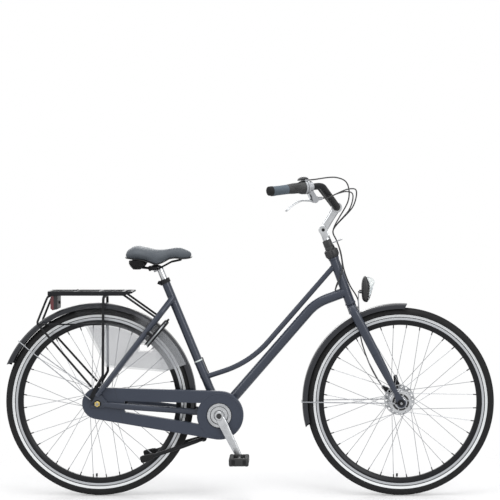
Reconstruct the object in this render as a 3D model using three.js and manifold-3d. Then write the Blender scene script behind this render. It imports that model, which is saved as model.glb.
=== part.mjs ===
// City bicycle with a low step-through frame, a full chaincase, hub brakes and an adjustable stem.
// Millimetres and degrees. +X is forward, +Y is the rider's left, +Z is up. The origin is on the
// ground below the middle of the wheelbase. The rest pose is the bicycle standing ready to ride.

import * as THREE from 'three';
import { mergeVertices } from 'three/addons/utils/BufferGeometryUtils.js';
import Module from 'manifold-3d';

const wasm = await Module();
wasm.setup();

// Driving dimensions: the wheels.
const RIM_RADIUS = 312;
const RIM_DEPTH = 28;
const RIM_WIDTH = 25;
const TYRE_HEIGHT = 37;
const TYRE_WIDTH = 37;
const TYRE_RADIUS = RIM_RADIUS + TYRE_HEIGHT;
const SPOKES_PER_WHEEL = 36;
const SPOKE_DIAMETER = 2.2;

// Driving dimensions: guards.
const MUDGUARD_CLEARANCE = 17;
const MUDGUARD_RADIUS = TYRE_RADIUS + MUDGUARD_CLEARANCE;
const MUDGUARD_WIDTH = 53;
const MUDGUARD_FLANGE = 20;
const MUDGUARD_WALL = 1.6;

// Driving dimensions: the frame's geometry, set out clear of the guards.
const BRACKET_ROOM = 80.75;
const TOE_ROOM = 304.75;
const CROWN_DROP = 5;
const CHAINSTAY_REACH = MUDGUARD_RADIUS + BRACKET_ROOM;
const WHEELBASE = CHAINSTAY_REACH + MUDGUARD_RADIUS + TOE_ROOM;
const BOTTOM_BRACKET_DROP = 44;
const SEAT_TUBE_LEAN = 22.6;
const SEAT_TUBE_LENGTH = 538;
const HEAD_TUBE_LEAN = 20.4;
const FORK_RAKE = 46.6;
const HEAD_TUBE_LENGTH = 186;
const HEAD_TUBE_RISE = MUDGUARD_RADIUS - CROWN_DROP;
const REAR_DROPOUT_SPACING = 135;
const FRONT_DROPOUT_SPACING = 101;

// Driving dimensions: tubes.
const SEAT_TUBE_DIAMETER = 31.8;
const HEAD_TUBE_DIAMETER = 36;
const DOWN_TUBE_DIAMETER = 38;
const TOP_TUBE_DIAMETER = 20;
const BRACKET_SHELL_DIAMETER = 42;
const BRACKET_SHELL_WIDTH = 68;
const STEERER_DIAMETER = 25.4;
const SEATPOST_DIAMETER = 25;
const HANDLEBAR_DIAMETER = 22.2;
const HANDLEBAR_WIDTH = 606;
const AXLE_DIAMETER = 10;

// Driving dimensions: the drive.
const CHAIN_PITCH = 12.7;
const CHAINRING_TEETH = 38;
const SPROCKET_TEETH = 18;
const CHAIN_LINE = 55.5;
const CRANK_LENGTH = 170;
const CRANK_ANGLE = -63.5;

// Clearances that every seat uses.
const SEAT_GAP = 0.3;
const OVERRUN = 2;

// How finely round things are faceted.
const WHEEL_FACETS = SPOKES_PER_WHEEL;
const TUBE_FACETS = 12;
const SMALL_FACETS = 8;
const BEND_STEP = 30;

// Colours of the real finishes.
const PAINT = { color: 0x424856, roughness: 0.38, metalness: 0.25 };
const CASE_PLASTIC = { color: 0x474c5c, roughness: 0.45, metalness: 0.0 };
const BLACK_PLASTIC = { color: 0x26272a, roughness: 0.55, metalness: 0.0 };
const GUARD_PLASTIC = { color: 0x36373f, roughness: 0.35, metalness: 0.1 };
const RUBBER = { color: 0x2b2b2b, roughness: 0.85, metalness: 0.0 };
const BLACK_METAL = { color: 0x1f2023, roughness: 0.4, metalness: 0.6 };
const BARE_METAL = { color: 0xb9bbbe, roughness: 0.28, metalness: 1.0 };
const STEEL = { color: 0x9a9ca0, roughness: 0.3, metalness: 1.0 };
const PASSIVATED = { color: 0xc7b46a, roughness: 0.35, metalness: 0.9 };
const GRIP_RUBBER = { color: 0x5b6670, roughness: 0.75, metalness: 0.0 };
const SADDLE_COVER = { color: 0x5a5e62, roughness: 0.7, metalness: 0.0 };
const CLOUDY_PLASTIC = { color: 0xa9abb0, roughness: 0.3, metalness: 0.0 };
const LAMP_RED = { color: 0x5c1016, roughness: 0.2, metalness: 0.0 };

const bicycle = new THREE.Group();

// Small geometry kit.

const radians = THREE.MathUtils.degToRad;
const at = (x, y, z) => new THREE.Vector3(x, y, z);
const along = (from, direction, distance) => from.clone().addScaledVector(direction, distance);
const between = (from, to, share) => from.clone().lerp(to, share);
const other = (point) => at(point.x, -point.y, point.z);
const X_AXIS = at(1, 0, 0);
const Y_AXIS = at(0, 1, 0);
const Z_AXIS = at(0, 0, 1);

// Direction in the bicycle's side plane, counted up from straight ahead.
const heading = (degrees) => at(Math.cos(radians(degrees)), 0, Math.sin(radians(degrees)));

// A three.js geometry as a solid, its shared corners merged and its faces pointing out.
function solid(geometry) {
  const bare = new THREE.BufferGeometry();
  bare.setAttribute('position', geometry.getAttribute('position').clone());
  if (geometry.index) bare.setIndex(geometry.index.clone());
  const merged = mergeVertices(bare, 1e-4);
  const spots = merged.getAttribute('position').array;
  const corners = merged.index.array;
  const faces = [];
  let volume = 0;
  for (let i = 0; i < corners.length; i += 3) {
    const [a, b, c] = [corners[i], corners[i + 1], corners[i + 2]];
    if (a === b || b === c || c === a) continue;
    faces.push(a, b, c);
    const [p, q, r] = [a, b, c].map((v) => new THREE.Vector3().fromArray(spots, 3 * v));
    volume += p.dot(q.cross(r));
  }
  if (volume < 0) {
    for (let i = 0; i < faces.length; i += 3) {
      [faces[i + 1], faces[i + 2]] = [faces[i + 2], faces[i + 1]];
    }
  }
  return new wasm.Manifold(new wasm.Mesh({
    numProp: 3,
    vertProperties: new Float32Array(spots),
    triVerts: new Uint32Array(faces),
  }));
}

const joined = (...solids) => solids.flat().reduce((whole, next) => whole.add(next));
const cut = (body, ...tools) => tools.flat().reduce((rest, tool) => rest.subtract(tool), body);

// Adds a named sub-part to the scene graph, in a holder group where it has one.
function piece(name, body, finish, holder = bicycle) {
  const { vertProperties, triVerts, numProp } = body.getMesh();
  const geometry = new THREE.BufferGeometry();
  const spots = new Float32Array((vertProperties.length / numProp) * 3);
  for (let i = 0; i < spots.length / 3; i++) {
    for (let k = 0; k < 3; k++) spots[3 * i + k] = vertProperties[numProp * i + k];
  }
  geometry.setAttribute('position', new THREE.BufferAttribute(spots, 3));
  geometry.setIndex(new THREE.BufferAttribute(new Uint32Array(triVerts), 1));
  geometry.computeVertexNormals();
  const mesh = new THREE.Mesh(geometry, new THREE.MeshStandardMaterial(finish));
  mesh.name = name;
  holder.add(mesh);
  return mesh;
}

// A closed skin through rings of as many points each; the ends are closed by the given faces.
function skin(rings, endFaces) {
  const count = rings[0].length;
  const index = [];
  for (let i = 0; i + 1 < rings.length; i++) {
    for (let k = 0; k < count; k++) {
      const next = (k + 1) % count;
      const [a, b] = [i * count + k, i * count + next];
      const [c, d] = [a + count, b + count];
      index.push(a, b, d, a, d, c);
    }
  }
  const lastRing = (rings.length - 1) * count;
  for (const [a, b, c] of endFaces) {
    index.push(a, c, b);
    index.push(lastRing + a, lastRing + b, lastRing + c);
  }
  const geometry = new THREE.BufferGeometry();
  const spots = rings.flat().flatMap((point) => point.toArray());
  geometry.setAttribute('position', new THREE.Float32BufferAttribute(spots, 3));
  geometry.setIndex(index);
  return solid(geometry);
}

// An outline of [across, up] pairs carried through stations, each with its own frame and scale.
function sweep(outline, stations) {
  const asVectors = (pairs) => pairs.map(([a, b]) => new THREE.Vector2(a, b));
  const ordered = THREE.ShapeUtils.isClockWise(asVectors(outline)) ? outline.slice().reverse() : outline;
  const faces = THREE.ShapeUtils.triangulateShape(asVectors(ordered), []);
  const rings = stations.map(({ spot, across, up, wide = 1, high = 1 }) => ordered.map(([a, b]) =>
    spot.clone().addScaledVector(across, a * wide).addScaledVector(up, b * high)));
  return skin(rings, faces);
}

// A round outline with a radius of one or, with a second radius, an oval one.
const round = (sides, across = 1, up = across) => Array.from({ length: sides }, (_, i) => {
  const turn = (2 * Math.PI * (i + 0.5)) / sides;
  return [across * Math.cos(turn), up * Math.sin(turn)];
});

// Stations at points of a path that stays roughly in the bicycle's side plane.
function stationsOn(points, sizes = []) {
  return points.map((spot, i) => {
    const ahead = points[Math.min(i + 1, points.length - 1)];
    const behind = points[Math.max(i - 1, 0)];
    const tangent = ahead.clone().sub(behind).normalize();
    const up = tangent.clone().cross(Y_AXIS).normalize();
    const across = up.clone().cross(tangent).normalize();
    const [wide = 1, high = wide] = sizes[i] ?? [];
    return { spot, across, up, wide, high };
  });
}

// A path through chosen stations, so that a tube spends its facets on its bends alone.
class BentPath extends THREE.Curve {
  constructor(stations) {
    super();
    this.stations = stations;
  }

  station(share) {
    return this.stations[Math.round(share * (this.stations.length - 1))];
  }

  getPointAt(share, target = new THREE.Vector3()) {
    return target.copy(this.station(share).spot);
  }

  getTangentAt(share, target = new THREE.Vector3()) {
    return target.copy(this.station(share).tangent);
  }
}

// Straight runs between corners, each corner rounded to the bend radius.
function bent(corners, bendRadius) {
  const stations = [];
  const add = (spot, tangent) => stations.push({ spot, tangent });
  add(corners[0], corners[1].clone().sub(corners[0]).normalize());
  for (let i = 1; i + 1 < corners.length; i++) {
    const into = corners[i].clone().sub(corners[i - 1]).normalize();
    const out = corners[i + 1].clone().sub(corners[i]).normalize();
    const turn = into.angleTo(out);
    const reach = bendRadius * Math.tan(turn / 2);
    const axis = into.clone().cross(out).normalize();
    const start = along(corners[i], into, -reach);
    const centre = along(start, axis.clone().cross(into), bendRadius);
    const steps = Math.max(1, Math.ceil(THREE.MathUtils.radToDeg(turn) / BEND_STEP));
    for (let k = 0; k <= steps; k++) {
      const angle = (turn * k) / steps;
      const spot = start.clone().sub(centre).applyAxisAngle(axis, angle).add(centre);
      add(spot, into.clone().applyAxisAngle(axis, angle));
    }
  }
  const end = corners[corners.length - 1];
  add(end, end.clone().sub(corners[corners.length - 2]).normalize());
  return new BentPath(stations);
}

// A round tube along a bent path.
function pipe(corners, bendRadius, radius, sides = SMALL_FACETS) {
  const path = bent(corners, bendRadius);
  const section = new THREE.Shape(round(sides, radius).map(([a, b]) => new THREE.Vector2(a, b)));
  return solid(new THREE.ExtrudeGeometry(section, {
    steps: path.stations.length - 1,
    extrudePath: path,
    bevelEnabled: false,
  }));
}

// A flexible cable along a smooth curve through chosen points.
function cable(points, radius, steps, sides = 6) {
  const section = new THREE.Shape(round(sides, radius).map(([a, b]) => new THREE.Vector2(a, b)));
  return solid(new THREE.ExtrudeGeometry(section, {
    steps,
    extrudePath: new THREE.CatmullRomCurve3(points, false, 'centripetal'),
    bevelEnabled: false,
  }));
}

// A straight round bar from one point to another, tapered where the radii differ.
function bar(from, to, radius, endRadius = radius, sides = TUBE_FACETS) {
  const reach = to.clone().sub(from);
  const geometry = new THREE.CylinderGeometry(endRadius, radius, reach.length(), sides);
  const turn = new THREE.Quaternion().setFromUnitVectors(Y_AXIS, reach.clone().normalize());
  geometry.applyQuaternion(turn);
  const middle = between(from, to, 0.5);
  return solid(geometry.translate(middle.x, middle.y, middle.z));
}

// A revolved profile of [radius, distance along the axis] pairs, from a base point along an axis.
function turned(profile, base = at(0, 0, 0), axis = Y_AXIS, facets = TUBE_FACETS, start = 0) {
  const points = profile.map(([radius, y]) => new THREE.Vector2(radius, y));
  const geometry = new THREE.LatheGeometry(points, facets, start);
  geometry.applyQuaternion(new THREE.Quaternion().setFromUnitVectors(Y_AXIS, axis));
  return solid(geometry.translate(base.x, base.y, base.z));
}

// The radius of a bore that clears a round bar however the facets of the two lie.
const boreFor = (radius, facets = TUBE_FACETS) => (radius + SEAT_GAP) / Math.cos(Math.PI / facets);

// A plate cut from an outline of [x, z] pairs in the side plane, between two distances to the left.
function plate(outline, yLow, yHigh, holes = []) {
  const shape = new THREE.Shape(outline.map(([x, z]) => new THREE.Vector2(x, z)));
  for (const hole of holes) {
    shape.holes.push(new THREE.Path(hole.map(([x, z]) => new THREE.Vector2(x, z))));
  }
  const thickness = Math.abs(yHigh - yLow);
  const geometry = new THREE.ExtrudeGeometry(shape, { depth: thickness, bevelEnabled: false });
  geometry.rotateX(Math.PI / 2);
  return solid(geometry.translate(0, Math.max(yLow, yHigh), 0));
}

// A box with its middle at a point, turned so that its length follows a direction in the side plane.
function block(middle, length, width, height, lean = 0) {
  const geometry = new THREE.BoxGeometry(length, width, height);
  geometry.rotateY(-radians(lean));
  return solid(geometry.translate(middle.x, middle.y, middle.z));
}

// Points on an arc in the side plane, as [x, z] pairs.
function arc(centre, radius, fromDegrees, toDegrees, steps) {
  return Array.from({ length: steps + 1 }, (_, i) => {
    const spot = along(centre, heading(fromDegrees + ((toDegrees - fromDegrees) * i) / steps), radius);
    return [spot.x, spot.z];
  });
}

// The outline round two circles in the side plane and the straight runs between them.
function strap(from, fromRadius, to, toRadius, steps = 5) {
  const reach = to.clone().sub(from);
  const lean = THREE.MathUtils.radToDeg(Math.atan2(reach.z, reach.x));
  const wrap = THREE.MathUtils.radToDeg(Math.acos((fromRadius - toRadius) / reach.length()));
  return [
    ...arc(from, fromRadius, lean + wrap, lean + 360 - wrap, steps),
    ...arc(to, toRadius, lean - wrap, lean + wrap, steps),
  ];
}

// Places that the whole bicycle is set out from.

const rearAxle = at(-WHEELBASE / 2, 0, TYRE_RADIUS);
const frontAxle = at(WHEELBASE / 2, 0, TYRE_RADIUS);
const bracketCentre = at(rearAxle.x + CHAINSTAY_REACH, 0, TYRE_RADIUS - BOTTOM_BRACKET_DROP);
const seatAxis = heading(90 + SEAT_TUBE_LEAN);
const seatTubeTop = along(bracketCentre, seatAxis, SEAT_TUBE_LENGTH);
const steeringAxis = heading(90 + HEAD_TUBE_LEAN);
const steeringFoot = at(frontAxle.x - FORK_RAKE / Math.cos(radians(HEAD_TUBE_LEAN)), 0, TYRE_RADIUS);
const headTubeBottom = along(steeringFoot, steeringAxis, HEAD_TUBE_RISE / Math.cos(radians(HEAD_TUBE_LEAN)));
const headTubeTop = along(headTubeBottom, steeringAxis, HEAD_TUBE_LENGTH);
const rearDropout = REAR_DROPOUT_SPACING / 2;
const frontDropout = FRONT_DROPOUT_SPACING / 2;
const sides = { right: -1, left: 1 };

// Frame: head tube with its two bearing cups.

const headTube = { wall: 2.2, cup: 9, cupStep: 2.2, bearing: boreFor(STEERER_DIAMETER / 2) };

function makeHeadTube() {
  const outer = HEAD_TUBE_DIAMETER / 2;
  const cup = outer + headTube.cupStep;
  const inner = outer - headTube.wall;
  const top = HEAD_TUBE_LENGTH;
  return turned([
    [headTube.bearing, 0], [cup, 0], [cup, headTube.cup], [outer, headTube.cup],
    [outer, top - headTube.cup], [cup, top - headTube.cup], [cup, top], [headTube.bearing, top],
    [headTube.bearing, top - headTube.cup], [inner, top - headTube.cup],
    [inner, headTube.cup], [headTube.bearing, headTube.cup], [headTube.bearing, 0],
  ], headTubeBottom, steeringAxis, TUBE_FACETS);
}
piece('head_tube', makeHeadTube(), PAINT);

// What the other tubes are cut back to, each grown by the clearance of a seat.
const headTubeSpace = bar(
  along(headTubeBottom, steeringAxis, -OVERRUN),
  along(headTubeTop, steeringAxis, OVERRUN),
  HEAD_TUBE_DIAMETER / 2 + SEAT_GAP,
);
const seatTubeSpace = bar(
  bracketCentre,
  along(bracketCentre, seatAxis, SEAT_TUBE_LENGTH + OVERRUN),
  SEAT_TUBE_DIAMETER / 2 + SEAT_GAP,
);
const shellSpace = turned([
  [0, -BRACKET_SHELL_WIDTH], [BRACKET_SHELL_DIAMETER / 2 + SEAT_GAP, -BRACKET_SHELL_WIDTH],
  [BRACKET_SHELL_DIAMETER / 2 + SEAT_GAP, BRACKET_SHELL_WIDTH], [0, BRACKET_SHELL_WIDTH],
], bracketCentre, Y_AXIS, TUBE_FACETS);

// Seat tube with the bottom bracket shell, bored for the seatpost and for the crank axle.

const seatTube = { boreDepth: 330, cup: 8, shellWall: 4, axleRadius: 8.5 };

function makeSeatTube() {
  const shell = turned([
    [0, -BRACKET_SHELL_WIDTH / 2], [BRACKET_SHELL_DIAMETER / 2, -BRACKET_SHELL_WIDTH / 2],
    [BRACKET_SHELL_DIAMETER / 2, BRACKET_SHELL_WIDTH / 2], [0, BRACKET_SHELL_WIDTH / 2],
  ], bracketCentre, Y_AXIS, TUBE_FACETS);
  const tube = bar(bracketCentre, seatTubeTop, SEAT_TUBE_DIAMETER / 2);
  const bore = bar(
    along(seatTubeTop, seatAxis, -seatTube.boreDepth),
    along(seatTubeTop, seatAxis, OVERRUN),
    SEATPOST_DIAMETER / 2 + SEAT_GAP,
  );
  const half = BRACKET_SHELL_WIDTH / 2;
  const cup = seatTube.axleRadius + SEAT_GAP;
  const inner = BRACKET_SHELL_DIAMETER / 2 - seatTube.shellWall;
  const axleSpace = turned([
    [0, -half - OVERRUN], [cup, -half - OVERRUN], [cup, seatTube.cup - half], [inner, seatTube.cup - half],
    [inner, half - seatTube.cup], [cup, half - seatTube.cup], [cup, half + OVERRUN], [0, half + OVERRUN],
  ], bracketCentre, Y_AXIS, TUBE_FACETS);
  return cut(joined(shell, tube), bore, axleSpace);
}
piece('seat_tube', makeSeatTube(), PAINT);

// Down tube: straight up from the bottom bracket, then bent flat into the foot of the head tube.

const downTube = { rise: 49, bend: 165, headJoint: 50 };
const downTubeHead = along(headTubeBottom, steeringAxis, downTube.headJoint);

// Where a line rising from one point meets a line running back from another, in the side plane.
function meeting(from, fromHeading, to, toHeading) {
  const [a, b] = [heading(fromHeading), heading(toHeading)];
  const gap = to.clone().sub(from);
  const distance = (gap.x * b.z - gap.z * b.x) / (a.x * b.z - a.z * b.x);
  return along(from, a, distance);
}

const downTubeCorner = meeting(bracketCentre, downTube.rise, downTubeHead, 180 + HEAD_TUBE_LEAN);
const downTubeAxis = downTubeCorner.clone().sub(bracketCentre).normalize();
piece('down_tube', cut(
  pipe([bracketCentre, downTubeCorner, downTubeHead], downTube.bend, DOWN_TUBE_DIAMETER / 2, TUBE_FACETS),
  headTubeSpace,
  shellSpace,
  seatTubeSpace,
), PAINT);

// Top tube: leaves the seat tube low, for the step through, and follows the down tube up.

const topTube = { seatJoint: 145, seatHeading: 18, rise: 49, bend: 370, headJoint: 26 };
const topTubeSeat = along(bracketCentre, seatAxis, topTube.seatJoint);
const topTubeHead = along(headTubeTop, steeringAxis, -topTube.headJoint);
const topTubeCorner = meeting(topTubeSeat, topTube.seatHeading, topTubeHead, 180 + topTube.rise);
piece('top_tube', cut(
  pipe([topTubeSeat, topTubeCorner, topTubeHead], topTube.bend, TOP_TUBE_DIAMETER / 2, TUBE_FACETS),
  headTubeSpace,
  seatTubeSpace,
), PAINT);

// Rear dropouts: plates with a slot open to the rear, as a bicycle with a chaincase has.

const dropout = { thickness: 6, ahead: 34, behind: 26, above: 32, below: 14, eyelet: 3 };
const slotHeight = AXLE_DIAMETER + 2 * SEAT_GAP;

function makeRearDropout(side) {
  const { ahead, behind, above, below } = dropout;
  const [x, z] = [rearAxle.x, rearAxle.z];
  const body = plate([
    [x - behind, z - below], [x + ahead, z - below], [x + ahead, z + below],
    [x + ahead / 2, z + above], [x - behind / 2, z + above], [x - behind, z + below],
  ], side * rearDropout, side * (rearDropout + dropout.thickness));
  const slot = plate([
    [x - behind - OVERRUN, z - slotHeight / 2], [x, z - slotHeight / 2],
    ...arc(rearAxle, slotHeight / 2, -90, 90, 6).slice(1, -1),
    [x, z + slotHeight / 2], [x - behind - OVERRUN, z + slotHeight / 2],
  ], side * (rearDropout - OVERRUN), side * (rearDropout + dropout.thickness + OVERRUN));
  return cut(body, slot);
}

// Chain stays: oval tubes that pass from outside the chaincase at the rear to inside it at the front.

const chainStay = { high: 22, wide: 12, dropoutOffset: 5.6, tyreReach: 30, guardSide: 35.5, shellSide: 27 };
const guardFrontX = rearAxle.x + MUDGUARD_RADIUS;
const stayOutside = rearDropout + chainStay.dropoutOffset;

function chainStayPoint(x, y) {
  const share = (x - rearAxle.x) / CHAINSTAY_REACH;
  return at(x, y, rearAxle.z - BOTTOM_BRACKET_DROP * share);
}

function makeChainStay(side) {
  const reach = CHAINSTAY_REACH;
  const points = [
    chainStayPoint(rearAxle.x + dropout.ahead / 2, side * stayOutside),
    chainStayPoint(rearAxle.x + reach * 0.2, side * stayOutside),
    chainStayPoint(rearAxle.x + reach * 0.3, side * (stayOutside - (stayOutside - chainStay.guardSide) * 0.1)),
    chainStayPoint(rearAxle.x + reach * 0.62, side * (chainStay.guardSide + (stayOutside - chainStay.guardSide) * 0.2)),
    chainStayPoint(guardFrontX - chainStay.tyreReach, side * chainStay.guardSide),
    chainStayPoint(guardFrontX + chainStay.tyreReach / 2, side * chainStay.guardSide),
    chainStayPoint(bracketCentre.x, side * chainStay.shellSide),
  ];
  return sweep(round(SMALL_FACETS, chainStay.wide / 2, chainStay.high / 2), stationsOn(points));
}

// Stand plate: bridges the chain stays behind the bracket shell and carries the stand's pivot below.

const standPlate = { ahead: 12, length: 44, thickness: 5, drop: 92, postWidth: 24, postLength: 22, eye: 11, pin: 5 };
const standPlateX = bracketCentre.x - BRACKET_SHELL_DIAMETER / 2 - standPlate.ahead - standPlate.length / 2;
const standPivot = at(standPlateX - standPlate.postLength / 4, 0, bracketCentre.z - standPlate.drop);

function makeStandPlate() {
  const top = chainStayPoint(standPlateX, 0);
  const span = 2 * chainStay.guardSide;
  const slope = -THREE.MathUtils.radToDeg(Math.atan(BOTTOM_BRACKET_DROP / CHAINSTAY_REACH));
  const bridge = block(top, standPlate.length, span, standPlate.thickness, slope);
  const length = top.z - standPivot.z;
  const post = block(between(top, standPivot, 0.5), standPlate.postLength, standPlate.postWidth, length);
  const half = standPlate.postWidth / 2;
  const eye = turned([[0, -half], [standPlate.eye, -half], [standPlate.eye, half], [0, half]], standPivot);
  const pinRadius = standPlate.pin + SEAT_GAP;
  const pinEnd = half + OVERRUN;
  const hole = turned([[0, -pinEnd], [pinRadius, -pinEnd], [pinRadius, pinEnd], [0, pinEnd]], standPivot);
  return cut(joined(bridge, post, eye), hole);
}

const chainStays = Object.values(sides).map((side) => joined(makeChainStay(side), makeRearDropout(side)));
piece('chain_stays', cut(joined(chainStays, makeStandPlate()), shellSpace), PAINT);

// Seat stays: spread at once to pass the tyre and mudguard, then run down to the dropouts.

const seatStay = {
  topRadius: 11.5, footRadius: 9, joint: 76, jointSide: 17, shoulder: 0.15, shoulderSide: 42,
  spreadShare: 0.8, footAbove: 24, footBehind: 6, footSide: 8.9, bridge: 7, bridgeShare: 0.13,
};
const stayTop = along(seatTubeTop, seatAxis, -seatStay.joint);
const stayFoot = at(rearAxle.x - seatStay.footBehind, 0, rearAxle.z + seatStay.footAbove);
const stayFootSide = rearDropout + seatStay.footSide;

// A point on the side's seat stay, by its share of the way down.
function seatStayPoint(share, side) {
  const spot = between(stayTop, stayFoot, share);
  const { shoulder, shoulderSide, jointSide, spreadShare } = seatStay;
  const y = share < shoulder
    ? THREE.MathUtils.mapLinear(share, 0, shoulder, jointSide, shoulderSide)
    : THREE.MathUtils.mapLinear(Math.min(share, spreadShare), shoulder, spreadShare, shoulderSide, stayFootSide);
  return at(spot.x, side * y, spot.z);
}
const seatStayRadius = (share) => THREE.MathUtils.lerp(seatStay.topRadius, seatStay.footRadius, share);

// The seat stay's tube, or the space that it takes with a clearance around it.
function seatStayTube(side, clearance = 0) {
  const shares = [0, seatStay.shoulder, 0.2, 0.6, seatStay.spreadShare, 1];
  const points = shares.map((share) => seatStayPoint(share, side));
  const sizes = shares.map((share) => [seatStayRadius(share) + clearance]);
  return sweep(round(TUBE_FACETS), stationsOn(points, sizes));
}

function makeSeatStays() {
  const bridgeEnds = [-1, 1].map((side) => seatStayPoint(seatStay.bridgeShare, side));
  return joined(
    seatStayTube(-1),
    seatStayTube(1),
    bar(bridgeEnds[0], bridgeEnds[1], seatStay.bridge, seatStay.bridge, SMALL_FACETS),
  );
}

const dropoutSpaces = Object.values(sides).map((side) => plate([
  [rearAxle.x - dropout.behind - OVERRUN, rearAxle.z - dropout.below],
  [rearAxle.x + dropout.ahead + OVERRUN, rearAxle.z - dropout.below],
  [rearAxle.x + dropout.ahead + OVERRUN, rearAxle.z + dropout.above + SEAT_GAP],
  [rearAxle.x - dropout.behind - OVERRUN, rearAxle.z + dropout.above + SEAT_GAP],
], side * (rearDropout - SEAT_GAP), side * (rearDropout + dropout.thickness + SEAT_GAP)));
piece('seat_stays', cut(makeSeatStays(), seatTubeSpace, dropoutSpaces), PAINT);

// Seat clamp: a split collar round the seat tube's mouth, with its bolt and a small lever.

const seatClamp = { height: 16, wall: 3.4, below: 14, slit: 2.4, ear: 9, bolt: 3.4 };

function makeSeatClamp() {
  const bore = SEAT_TUBE_DIAMETER / 2 + SEAT_GAP;
  const base = along(seatTubeTop, seatAxis, -seatClamp.below);
  const outer = bore + seatClamp.wall;
  const ring = turned([[0, 0], [outer, 0], [outer, seatClamp.height], [0, seatClamp.height]], base, seatAxis);
  const back = along(base, seatAxis, seatClamp.height / 2);
  const rear = seatAxis.clone().cross(Y_AXIS).normalize();
  const earMiddle = along(back, rear, rear.x < 0 ? outer : -outer);
  const ears = block(earMiddle, 2 * seatClamp.ear, 2 * seatClamp.ear, seatClamp.height * 0.8, -SEAT_TUBE_LEAN);
  const slit = block(earMiddle, 2 * seatClamp.ear + OVERRUN, seatClamp.slit, seatClamp.height + OVERRUN, -SEAT_TUBE_LEAN);
  const boltSpot = along(earMiddle, heading(180 + SEAT_TUBE_LEAN), seatClamp.ear / 3);
  const bolt = bar(
    boltSpot.clone().setY(-seatClamp.ear - seatClamp.bolt),
    boltSpot.clone().setY(seatClamp.ear + seatClamp.bolt),
    seatClamp.bolt,
    seatClamp.bolt,
    SMALL_FACETS,
  );
  const space = bar(along(base, seatAxis, -OVERRUN), along(base, seatAxis, seatClamp.height + OVERRUN), bore);
  return cut(joined(cut(joined(ring, ears), slit), bolt), space);
}
piece('seat_clamp', makeSeatClamp(), BLACK_METAL);

// Wheels: a rim, a tyre and a hub laced to the rim with crossed spokes.

const rimShape = { hook: 2.5, well: 9, shoulder: 13, innerWidth: 12 };
const tyreShape = { beadGap: 0.4, shoulder: 13, tread: 5, crownWidth: 12, sidewall: 18 };
const rimInner = RIM_RADIUS - RIM_DEPTH;

function makeRim() {
  const half = RIM_WIDTH / 2;
  const lip = half - rimShape.hook;
  const floor = RIM_RADIUS - rimShape.well;
  return turned([
    [rimInner, -rimShape.innerWidth / 2], [rimInner + rimShape.shoulder, -half], [RIM_RADIUS, -half],
    [floor, -lip], [floor, lip], [RIM_RADIUS, half],
    [rimInner + rimShape.shoulder, half], [rimInner, rimShape.innerWidth / 2],
    [rimInner, -rimShape.innerWidth / 2],
  ], at(0, 0, 0), Y_AXIS, WHEEL_FACETS);
}

// The tyre's facets are turned so that one lies flat on the ground, at the tyre's full radius.
function makeTyre() {
  const bead = RIM_WIDTH / 2 - rimShape.hook - tyreShape.beadGap;
  const lip = RIM_WIDTH / 2 - tyreShape.beadGap;
  const foot = RIM_RADIUS - rimShape.well + tyreShape.beadGap;
  const seat = RIM_RADIUS + tyreShape.beadGap;
  const half = TYRE_WIDTH / 2;
  const belly = RIM_RADIUS + tyreShape.sidewall;
  const shoulder = TYRE_RADIUS - tyreShape.tread;
  const halfFacet = Math.PI / WHEEL_FACETS;
  return turned([
    [foot, -bead], [seat, -lip], [belly, -half], [shoulder, -tyreShape.shoulder],
    [TYRE_RADIUS, -tyreShape.crownWidth / 2], [TYRE_RADIUS, tyreShape.crownWidth / 2],
    [shoulder, tyreShape.shoulder], [belly, half], [seat, lip], [foot, bead], [foot, -bead],
  ].map(([radius, y]) => [radius / Math.cos(halfFacet), y]), at(0, 0, 0), Y_AXIS, WHEEL_FACETS, halfFacet);
}

// One spoke from its hole in a hub flange to its nipple at the rim. Every fourth spoke repeats:
// right leading, left leading, right trailing, left trailing. Leading and trailing spokes cross.
function makeSpoke(index, hub) {
  const side = index % 2 === 0 ? -1 : 1;
  const lead = index % 4 < 2 ? 1 : -1;
  const rimAngle = (360 / SPOKES_PER_WHEEL) * (index + 0.5);
  const flange = side < 0 ? hub.rightFlange : hub.leftFlange;
  const layer = side * lead * hub.spokeLayer;
  const foot = along(at(0, flange + layer, 0), heading(rimAngle + lead * hub.lacing), hub.flangeRadius - hub.holeInset);
  const head = along(at(0, 0, 0), heading(rimAngle), rimInner * Math.cos(Math.PI / WHEEL_FACETS) - SEAT_GAP);
  return bar(foot, head, SPOKE_DIAMETER / 2, SPOKE_DIAMETER / 2, 3);
}

// A hub turned in one piece with its flanges; extras are the discs that it carries.
function makeHub(hub, extras = []) {
  const spokes = Array.from({ length: SPOKES_PER_WHEEL }, (_, i) => makeSpoke(i, hub));
  const body = turned(hub.profile, at(0, 0, 0), Y_AXIS, 16);
  const boreRadius = boreFor(AXLE_DIAMETER / 2, 8);
  const ends = hub.profile.map(([, y]) => y);
  const [low, high] = [Math.min(...ends) - OVERRUN, Math.max(...ends) + OVERRUN];
  const bore = turned([[0, low], [boreRadius, low], [boreRadius, high], [0, high]], at(0, 0, 0), Y_AXIS, 8);
  return cut(joined(body, spokes, extras), bore);
}

// Front hub: a wide dynamo shell, and on the left the brake drum with its cooling disc.

const frontHub = {
  shellRadius: 35, flangeRadius: 42, flangeThickness: 3, rightFlange: -27, leftFlange: 24,
  capRadius: 19, capEnd: -43, drumRadius: 26, drumEnd: 40, holeInset: 3, lacing: 52, spokeLayer: 1.9,
  discRadius: 57, discThickness: 2.4, discAt: 36, discInner: 33, vents: 8, ventWidth: 8,
};

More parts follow.
